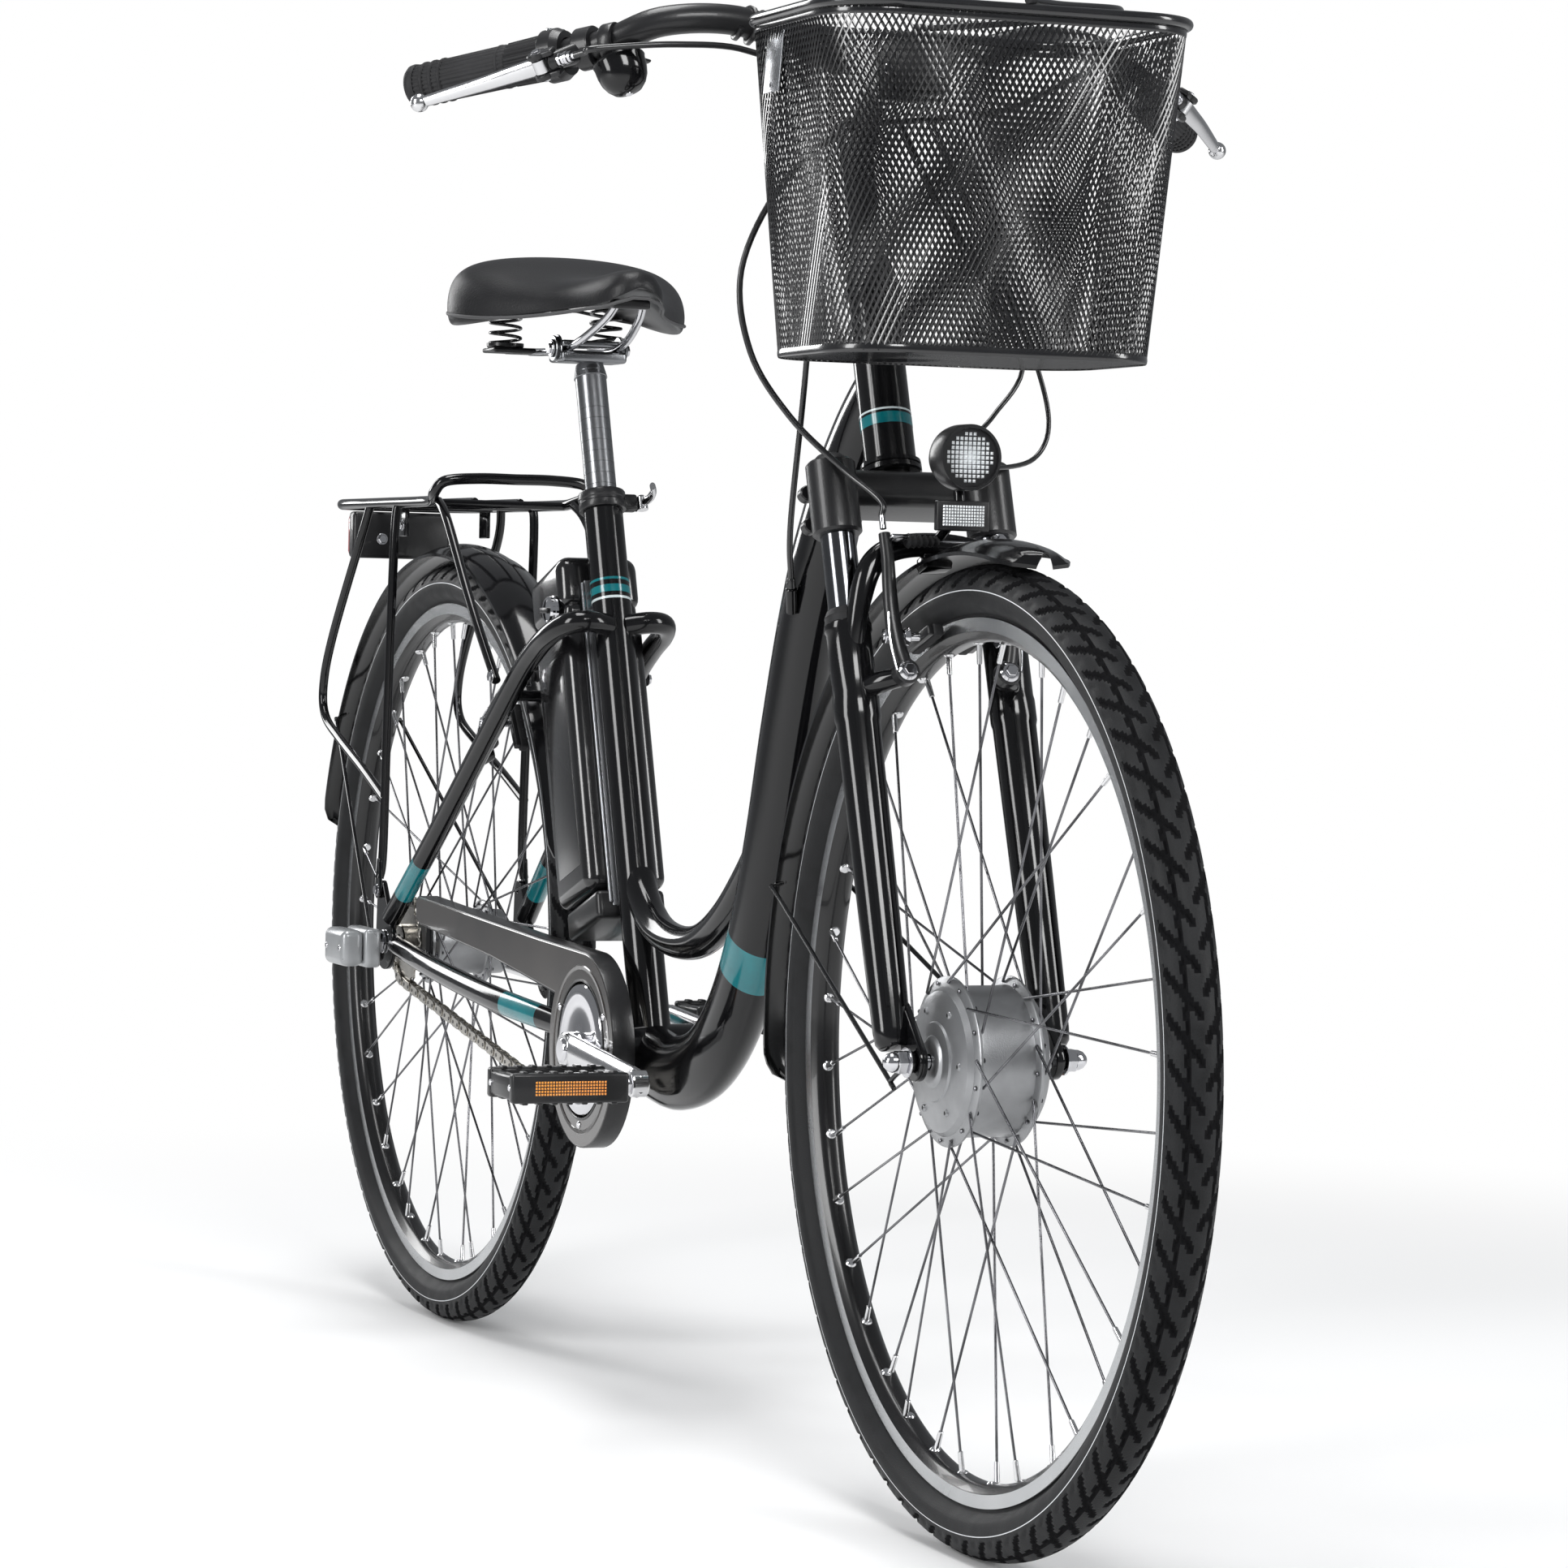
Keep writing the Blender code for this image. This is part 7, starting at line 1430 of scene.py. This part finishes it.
# Stem: a quill stem in satin black alloy that stands in the fork's steerer. Its clamp round
# the bar is pinched by two chromed bolts.
shape = bmesh.new()
bar(shape, steer_point(0.045), steer_point(0.170), 11.1, None, 32)
stem_body = [(11, 0), (13.6, 0), (14.6, 1.5), (14.6, 5), (13, 8), (13, 106), (13.8, 110), (13.8, 117),
             (11, 120), (4, 121)]
turn(shape, stem_body, along(steer_point(0.1655), STEER_UP), 48, False)
bar(shape, steer_point(0.286), steer_point(0.288), 5, None, 6, 1, 0.3)
CLAMP = bike(1.000, 0, 1.086)
reach = [steer_point(0.262), steer_point(0.267, 0.016), CLAMP - Vector((0.012, 0, 0.003)), CLAMP]
sweep(shape, smooth(reach, 6), lambda s: (12.4 - 1.5 * sin(pi * s), 12.6 - 1.2 * sin(pi * s)), 28,
      side_way=LEFT)
for start, end in ((-0.021, -0.0008), (0.0008, 0.021)):
    bar(shape, CLAMP + LEFT * start, CLAMP + LEFT * end, 17.8, None, 56, 0, 1.4)
for side in (-1, 1):
    lug = CLAMP + Vector((0.006, side * 0.0105, -0.018))
    bar(shape, lug, lug + Vector((0, 0, 0.007)), 5.5, None, 28)
    hex_head(shape, lug, Vector((0, 0, -1)), 3.8, 3, 1)
piece(shape, "quill_stem", "steering", [SATIN_BLACK, CHROME, HOLE_PAINTED_SHADE], ["stem"])

# Handlebar: one tube of steel with a satin black coat, held at its middle by the stem. It
# rises a little to each side and sweeps back to the grips.
GRIP_END = bike(0.852, 0.318, 1.062)
GRIP_WAY = Vector((-0.766, 0.643, -0.16)).normalized()


def bar_point(side, back):
    """A place on the bar's axis, a distance in from a grip's end."""
    return mirrored(GRIP_END - GRIP_WAY * back, side)


def bar_place(side, back):
    """A placing on the bar whose Z axis runs in along it."""
    return along(bar_point(side, back), -mirrored(GRIP_WAY, side))


shape = bmesh.new()
half_bar = [(1.000, 0.0, 1.086), (1.0005, 0.030, 1.0862), (1.004, 0.072, 1.096), (1.009, 0.122, 1.1085),
            (1.000, 0.177, 1.1052), bar_point(1, 0.160), bar_point(1, 0.080), GRIP_END]
run = smooth(half_bar, 8)
sweep(shape, [mirrored(point, -1) for point in run[:0:-1]] + run, 11.1, 32)
piece(shape, "handlebar_tube", "steering", [SATIN_BLACK], ["handlebar"], 40)

# Spiral wrap: a flexible black strip wound round the right half of the bar, which holds the
# gear cable and the display lead against it.
shape = bmesh.new()
WRAP_PITCH = 11 * MM
WRAP_STEPS = 12
wrap_line = smooth(half_bar[1:4], 8, -1)
gone = 0.0
wrap_path = []
for near, far in zip(wrap_line, wrap_line[1:]):
    way = (far - near).normalized()
    over = (Vector((0, 0, 1)) - way * way.z).normalized()
    ahead = way.cross(over)
    stretch_steps = max(1, round((far - near).length / WRAP_PITCH * WRAP_STEPS))
    for step in range(stretch_steps):
        spin = tau * (gone + step) / WRAP_STEPS
        wrap_path.append(near.lerp(far, step / stretch_steps)
                         + (over * cos(spin) + ahead * sin(spin)) * 12.6 * MM)
    gone += stretch_steps
sweep(shape, wrap_path, 2.2, 8)
piece(shape, "bar_spiral_wrap", "steering", [SATIN_BLACK], (), 40)

# Grips and gear control: soft black rubber grips with fine ribs and a capped end. On the
# right a ribbed twist sleeve turns against a plastic housing with a small gear window.
GRIP_RUBBER = surface("grip_rubber", (0.009, 0.009, 0.010), 0.6, shine=0.3, grain=0.5, grain_size=1100,
                      mottle=0.6, mottle_size=40, second=(0.030, 0.030, 0.032))


def ribbed(shape, side, outer, inner, low, high, ribs, deep, bore, look=0):
    """A sleeve round the bar whose skin carries ribs along it."""
    start = bar_point(side, outer)
    way = bar_point(side, inner) - start
    length = way.length
    placing = along(start, way)
    count = ribs * 4
    loops = []
    for share, swell in ((0.0, 0.94), (0.03, 1.0), (0.97, 1.0), (1.0, 0.95)):
        radius = low + (high - low) * share
        loop = []
        for k in range(count):
            tall = radius * swell - (deep if k % 4 in (0, 1) and 0.02 < share < 0.98 else 0.0)
            loop.append(shape.verts.new(placing @ spun(tau * k / count, tall, length * share)))
        loops.append(loop)
    for share in (1.0, 0.0):
        loops.append([shape.verts.new(placing @ spun(tau * k / count, bore, length * share))
                      for k in range(count)])
    skin(shape, loops, True, look)


for side, word, length in ((-1, "right", 0.085), (1, "left", 0.115)):
    shape = bmesh.new()
    ribbed(shape, side, -0.001, length, 15.6 * MM, 16.2 * MM, 30, 0.7 * MM, 11.3 * MM)
    for back in (0.010, 0.018, 0.026, length - 0.008):
        start = bar_point(side, back)
        bar(shape, start, bar_point(side, back + 0.003), 16.6, None, 48, 0, 1)
    cap = [(0, -6.0), (9, -5.8), (14, -4.4), (16.2, -1.5), (16.6, 1.5), (16, 4), (11.4, 4.2)]
    turn(shape, cap, along(GRIP_END if side > 0 else mirrored(GRIP_END, -1),
                           bar_point(side, 0.1) - bar_point(side, 0)), 48, False)
    piece(shape, word + "_grip_rubber", "steering", [GRIP_RUBBER], [word + "_grip"])
shape = bmesh.new()
ribbed(shape, -1, 0.0853, 0.1153, 16.6 * MM, 17.4 * MM, 22, 1.4 * MM, 11.6 * MM)
piece(shape, "twist_sleeve_rubber", "gear_sleeve", [GRIP_RUBBER], ["twist_sleeve"], 28)
shape = bmesh.new()
housing = [(11.6, 0), (18.6, 0), (20, 1.4), (20, 12), (18.2, 15), (16.8, 18), (11.6, 18)]
turn(shape, housing, bar_place(-1, 0.1156), 56)
window_place = along(bar_point(-1, 0.1205) + Vector((0.003, 0, 0.0186)), Vector((0.15, 0, 1)))
block(shape, (14, 7, 3), window_place, 1.2, 1)
piece(shape, "gear_housing", "steering", [SATIN_BLACK, WINDOW], ["shifter_housing"], 30)

# Brake levers: a black bracket clamps round the bar with a knurled silver cable adjuster,
# and a long polished lever with a ball end turns on its steel pin.
LEVER_PIVOT = bike(0.976, 0.262, 1.070)
LEVER_TIP = bike(0.898, 0.331, 1.045)
LEVER_AXIS = Vector((0.171712, 0.501366, 0.848026))
for side, word in ((-1, "right"), (1, "left")):
    pin = mirrored(LEVER_PIVOT, side)
    tip = mirrored(LEVER_TIP, side)
    axis = Vector((LEVER_AXIS.x, side * LEVER_AXIS.y, LEVER_AXIS.z)) * (1 if side > 0 else -1)
    outward = (pin - tip).normalized()
    shape = bmesh.new()
    band = [(11.4, 0), (15.4, 0), (16, 0.8), (16, 13.2), (15.4, 14), (11.4, 14)]
    turn(shape, band, bar_place(side, 0.144), 48)
    root = bar_point(side, 0.151)
    neck = pin + outward * 5 * MM
    off_bar = (neck - root).normalized()
    sweep(shape, [root + off_bar * 13 * MM, root.lerp(neck, 0.7), neck], lambda s: (8 - 1.5 * s, 6.5 - s),
          20, side_way=axis)
    for end in (-1, 1):
        cheek = pin + axis * end * 5.9 * MM
        rod(shape, cheek, axis * end, 0, 4.6, 8, None, 32, 0, 1)
        block(shape, (16, 10, 4.5), placed(cheek + axis * end * 2.3 * MM + outward * 6 * MM, outward,
                                           axis), 1.5)
        hex_head(shape, cheek + axis * end * 4.4 * MM, axis * end, 3.2, 2.2, 1)
    rod(shape, pin, axis, -9, 9, 2.5, None, 20, 1)
    rod(shape, pin, outward, 9, 15, 6.5, 5.5, 28)
    for k in range(4):
        knurl = pin + outward * (15 + k * 2.8) * MM
        rod(shape, knurl, outward, 0, 2.5, 4.9 - (k % 2) * 0.7, None, 16, 1, 0.3)
    bolt = root - off_bar * 15 * MM
    hex_head(shape, bolt, -off_bar, 3.4, 2.6, 1)
    piece(shape, word + "_lever_bracket", "steering", [SATIN_BLACK, CHROME],
          [word + "_lever_clamp"])
    shape = bmesh.new()
    middle = pin.lerp(tip, 0.45)
    middle -= (bar_point(side, 0.07) - middle) * 0.06
    rod(shape, pin, axis, -5.4, 5.4, 6.5, None, 32)
    blade = [pin, pin.lerp(middle, 0.5), middle, middle.lerp(tip, 0.6), tip]
    sweep(shape, smooth(blade, 6), lambda s: (7.4 - 3.4 * s, 3.8 - 0.6 * s), 20, side_way=axis)
    bmesh.ops.create_uvsphere(shape, u_segments=28, v_segments=18, radius=7 * MM,
                              matrix=Matrix.Translation(tip))
    piece(shape, word + "_lever_blade", "lever_" + word, [POLISHED],
          [word + "_brake_lever"])

# Bell: a black lacquered steel dome hung from a band on the right of the bar, with a
# plastic thumb lever.
bell_middle = bar_point(-1, 0.172)
bell_down = Vector((0.35, 0.20, -0.90)).normalized()
bell_aside = bell_down.cross(bar_point(-1, 0) - bell_middle).normalized()
shape = bmesh.new()
along_bar = (bar_point(-1, 0.2) - bar_point(-1, 0.1)).normalized()
band = [(11.4, 0), (14.6, 0), (15, 0.8), (15, 9.2), (14.6, 10), (11.4, 10)]
turn(shape, band, along(bell_middle - along_bar * 5 * MM, along_bar), 40, True, 0)
dome = [(2, 28), (5, 27.6), (11, 25.2), (15, 21), (17.6, 16), (19, 10), (19.5, 3), (20, 1.4), (19.5, 0),
        (18.4, 0), (17, 12), (2, 24)]
turn(shape, dome, along(bell_middle + bell_down * 14 * MM, bell_down), 56, True, 1)
rod(shape, bell_middle, bell_down, 11, 42.8, 3, None, 24, 2)
rod(shape, bell_middle, bell_aside, 13, 25, 4, None, 24)
piece(shape, "bell_dome", "steering", [SATIN_BLACK, PAINT, CHROME], ["bell"])
shape = bmesh.new()
thumb = bell_middle + bell_aside * 21 * MM + bell_down * 4.3 * MM
rod(shape, thumb, bell_down, 0, 4.5, 4, None, 24)
reach = [thumb + bell_down * 2.2 * MM + bell_aside * d * MM for d in (0, 8, 16, 24)]
sweep(shape, reach, lambda s: (2 + 2.2 * s, 1.8), 16, side_way=along_bar)
piece(shape, "bell_thumb_lever", "bell_striker", [SATIN_BLACK], ["bell_lever"])

# Basket: expanded steel mesh in gloss black on a welded tub with rounded corners, a tubular
# top rim, a folded band round the floor, and a moulded hook at the back.
WIRE_BLACK = surface("wire_black", (0.006, 0.006, 0.007), 0.20, grain=0.08, grain_size=600,
                     mottle=0.5, mottle_size=30, second=(0.012, 0.012, 0.013), coat=0.5)
BASKET_X = REAR_AXLE_X + 1.163
BASKET_TOP = 1.099
BASKET_FLOOR = 0.856
BASKET_FOOT = Vector((BASKET_X, 0, BASKET_FLOOR))
FLOOR_HALF = (0.087, 0.125)
TOP_HALF = (0.1035, 0.143)
CORNER = 0.050
FLOOR_PITCH = 0.0062
STRANDS = 168
ROWS = 52


def wall_point(around, height, out=0.0):
    """A place on the basket's wall: a share round it and a share of its height."""
    half_x, half_y = (low + (top - low) * height - CORNER for low, top in zip(FLOOR_HALF, TOP_HALF))
    straight_x, straight_y, bend = 2 * half_x, 2 * half_y, pi / 2 * CORNER
    reach = (around % 1.0) * (2 * straight_x + 2 * straight_y + 4 * bend)
    radius = CORNER + out
    spot = Vector((half_x, -half_y, 0))
    for side, length in enumerate((straight_y, straight_x, straight_y, straight_x)):
        way = Vector(((0, 1), (-1, 0), (0, -1), (1, 0))[side] + (0,))
        normal = Vector((way.y, -way.x, 0))
        if reach <= length:
            spot = spot + way * reach + normal * radius
            break
        reach -= length
        spot = spot + way * length
        if reach <= bend:
            angle = reach / CORNER
            spot = spot + (normal * cos(angle) + way * sin(angle)) * radius
            break
        reach -= bend
    return BASKET_FOOT + spot + Vector((0, 0, (BASKET_TOP - BASKET_FLOOR) * height))


shape = bmesh.new()
for lean in (-1, 1):
    for strand in range(STRANDS):
        path = [wall_point((strand + lean * row * 0.5) / STRANDS, row / ROWS, -1 * MM + lean * 0.25 * MM)
                for row in range(ROWS + 1)]
        sweep(shape, path, lambda s: (0.5, 1.0), 4,
              side_way=Vector((path[26].x - BASKET_X, path[26].y, 0)).normalized(), caps=False)
ring_steps = 160
rim_ring = [wall_point(k / ring_steps, 1.0) for k in range(ring_steps)]
sweep(shape, rim_ring, 4, 16, True)
for height, wide, tall in ((0.975, 0.8, 3.2), (0.012, 0.9, 3.4)):
    band = [wall_point(k / ring_steps, height, -0.8 * MM) for k in range(ring_steps)]
    sweep(shape, band, lambda s: (tall, wide), 8, True, side_way=Vector((0, 0, 1)))
for wires, level, (half, far) in ((13, 1.2, FLOOR_HALF), (19, 1.9, FLOOR_HALF[::-1])):
    for k in range(-wires, wires + 1):
        across = k * FLOOR_PITCH
        into_corner = max(0.0, abs(across) - (half - CORNER))
        end = far - (CORNER - sqrt(max(0.0, CORNER ** 2 - into_corner ** 2)))
        spots = [Vector((across, side * end, level * MM)) for side in (-1, 1)]
        if level > 1.5:
            spots = [Vector((spot.y, spot.x, spot.z)) for spot in spots]
        bar(shape, BASKET_FOOT + spots[0], BASKET_FOOT + spots[1], 0.9, None, 6)
block(shape, (14, 60, 46), bike(1.057, 0, 1.074), 3, 1)
block(shape, (4, 34, 30), bike(1.0655, 0, 1.074), 1.5, 1)
for side in (-1, 1):
    screw = bike(1.0638, side * 0.022, 1.074)
    bar(shape, screw, screw + Vector((0.0018, 0, 0)), 4, None, 24, 2)
badge_out = Vector((0, -1, 0.07)).normalized()
badge_turn = placed(wall_point(0.826, 0.865, 1.2 * MM), Vector((1, 0, 0)), badge_out)
block(shape, (30, 46, 1.2), badge_turn, 0.4, 3)
for end in (-1, 1):
    rivet = badge_turn @ Vector((0, end * 0.018, 0.0004))
    bar(shape, rivet, rivet + Vector((0, -0.0008, 0)), 1.8, None, 16, 2, 0.2)
piece(shape, "mesh_basket", "front_basket", [WIRE_BLACK, SATIN_BLACK, CHROME, SATIN_SILVER],
      ["basket"])

# Basket bracket and button: a ribbed black plastic bracket under the bar that the basket
# hooks on to, with a red release button on its top.
shape = bmesh.new()
block(shape, (27, 44, 8), bike(1.0320, 0, 1.0715), 2)
block(shape, (27, 18.5, 19.5), bike(1.0320, -0.0125, 1.0780), 2)
block(shape, (26.5, 4, 19.5), bike(1.0320, 0.0198, 1.0780), 1)
for ahead in (1.0200, 1.0400):
    block(shape, (4.5, 20, 17.5), bike(ahead, 0.0115, 1.0770), 1)
block(shape, (7.8, 64, 44), bike(1.0457, 0, 1.074), 2)
for k in (-2, -1, 0, 1, 2):
    block(shape, (20, 3, 10), bike(1.0340, k * 0.010, 1.0635), 1)
piece(shape, "basket_bracket_shell", "steering", [SATIN_BLACK], ["basket_bracket"])
BUTTON_RED = surface("button_red", (0.45, 0.012, 0.012), 0.3, grain=0.15, mottle=0.5,
                     second=(0.34, 0.01, 0.01), coat=0.3)
shape = bmesh.new()
button = [(0, 7.0), (2.2, 6.7), (3.8, 6.9), (4.8, 6.4), (5, 5.6), (5, 0), (0, 0)]
root_length = 1.0457 - 1.0183
turn(shape, button[::-1], Matrix.Translation(bike(1.0183 + root_length / 2 - 0.002, 0.013, 1.0835)), 36,
     False)
piece(shape, "button_cap", "basket_button", [BUTTON_RED], ["release_button"], 30)

# Basket handle: a sprung black wire bail that lies round the left half of the rim, with a
# plastic sleeve at its middle.
shape = bmesh.new()
bail = [(1.0595, 0, 1.1055), (1.0895, 0.038, 1.1075), (1.129, 0.100, 1.1125), (1.163, 0.112, 1.1135),
        (1.197, 0.100, 1.1125), (1.2365, 0.038, 1.1075), (1.2665, 0, 1.1055)]
bail_path = smooth(bail, 10)
sweep(shape, bail_path, 2.8, 16)
sweep(shape, bail_path[24:37], 3.1, 16, look=1)
for end, way in ((bail_path[0], bail_path[1] - bail_path[0]),
                 (bail_path[-1], bail_path[-2] - bail_path[-1])):
    rod(shape, end, way.normalized(), -1, 8, 3.1, None, 20, 1)
piece(shape, "basket_bail_wire", "basket_bail", [WIRE_BLACK, SOFT_RUBBER],
      ["basket_handle"])

# Brake cables: black plastic-coated outers with silver ferrules. The front one loops round
# the head tube into a bent steel pipe; the rear one enters the down tube through a plug.
CABLE_SKIN = surface("cable_skin", (0.010, 0.010, 0.011), 0.28, grain=0.15, grain_size=900, mottle=0.5,
                     second=(0.018, 0.018, 0.019), coat=0.3)
lever_out = (LEVER_PIVOT - LEVER_TIP).normalized()


def barrel_way(side, reach):
    """A place straight on from the end of a lever's barrel."""
    return mirrored(LEVER_PIVOT + lever_out * (0.026 + reach), side)


shape = bmesh.new()
front_run = [barrel_way(1, 0.0003), barrel_way(1, 0.012), barrel_way(1, 0.024), (1.040, 0.160, 1.086),
             (1.040, 0.085, 1.052), (1.036, 0.020, 1.041), (1.039, -0.045, 1.029), (1.047, -0.098, 0.985),
             (1.050, -0.129, 0.922), (1.054, -0.122, 0.862), (1.070, -0.096, 0.815),
             (1.095, -0.064, 0.778), steer_point(-0.0482, 0.075, -0.045),
             steer_point(-0.0602, 0.075, -0.045), steer_point(-0.0702, 0.075, -0.045)]
sweep(shape, smooth(front_run, 8), 2.4, 14, look=lambda s: 1 if s > 0.93 or s < 0.02 else 0)
piece(shape, "front_cable_outer", "steering", [CABLE_SKIN, CHROME], ["front_brake_cable"],
      40, True, ("fork_slider", bike(1.050, -0.129, 0.900), steer_point(-0.0602, 0.075, -0.045)))
shape = bmesh.new()
rear_run = [barrel_way(-1, 0.0003), barrel_way(-1, 0.011), barrel_way(-1, 0.022), (1.018, -0.172, 1.087),
            (1.016, -0.115, 1.086), (1.009, -0.066, 1.064), (0.994, -0.048, 0.985), (0.972, -0.045, 0.860),
            (0.935, -0.040, 0.742), CABLE_PORT + PORT_WAY * 0.012, CABLE_PORT + PORT_WAY * 0.0003]
sweep(shape, smooth(rear_run, 8), 2.4, 14, look=lambda s: 1 if s < 0.02 else 0)
rod(shape, CABLE_PORT, PORT_WAY, 0.5, 9, 3.8, 3, 20, 0)
piece(shape, "rear_cable_outer", "steering", [CABLE_SKIN, CHROME], ["rear_brake_cable"], 40,
      True, ("frame", bike(0.994, -0.048, 0.985), CABLE_PORT + PORT_WAY * 0.012))

# Headlight lead: two thin black wires from under the basket's bracket. They loop out beside
# the head tube, so that the bar can turn and the fork can spring, and end in the lamp.
shape = bmesh.new()
lamp_back = bike(1.139, 0.0, 0.786)
for points in (
        [(1.030, 0.016, 1.066), (1.040, 0.040, 1.010), (1.048, 0.075, 0.940), (1.056, 0.102, 0.875),
         (1.064, 0.115, 0.820), (1.076, 0.098, 0.790), (1.104, 0.050, 0.781), (1.130, 0.012, 0.783)],
        [(1.030, -0.010, 1.066), (1.036, 0.020, 1.000), (1.046, 0.070, 0.920), (1.056, 0.096, 0.862),
         (1.074, 0.066, 0.822), (1.098, 0.034, 0.800), (1.124, 0.010, 0.790)]):
    sweep(shape, smooth(points + [lamp_back], 8), 1.9, 12)
piece(shape, "headlight_leads", "steering", [CABLE_SKIN], (), 40, True,
      ("fork_slider", bike(1.050, 0.090, 0.900), lamp_back))
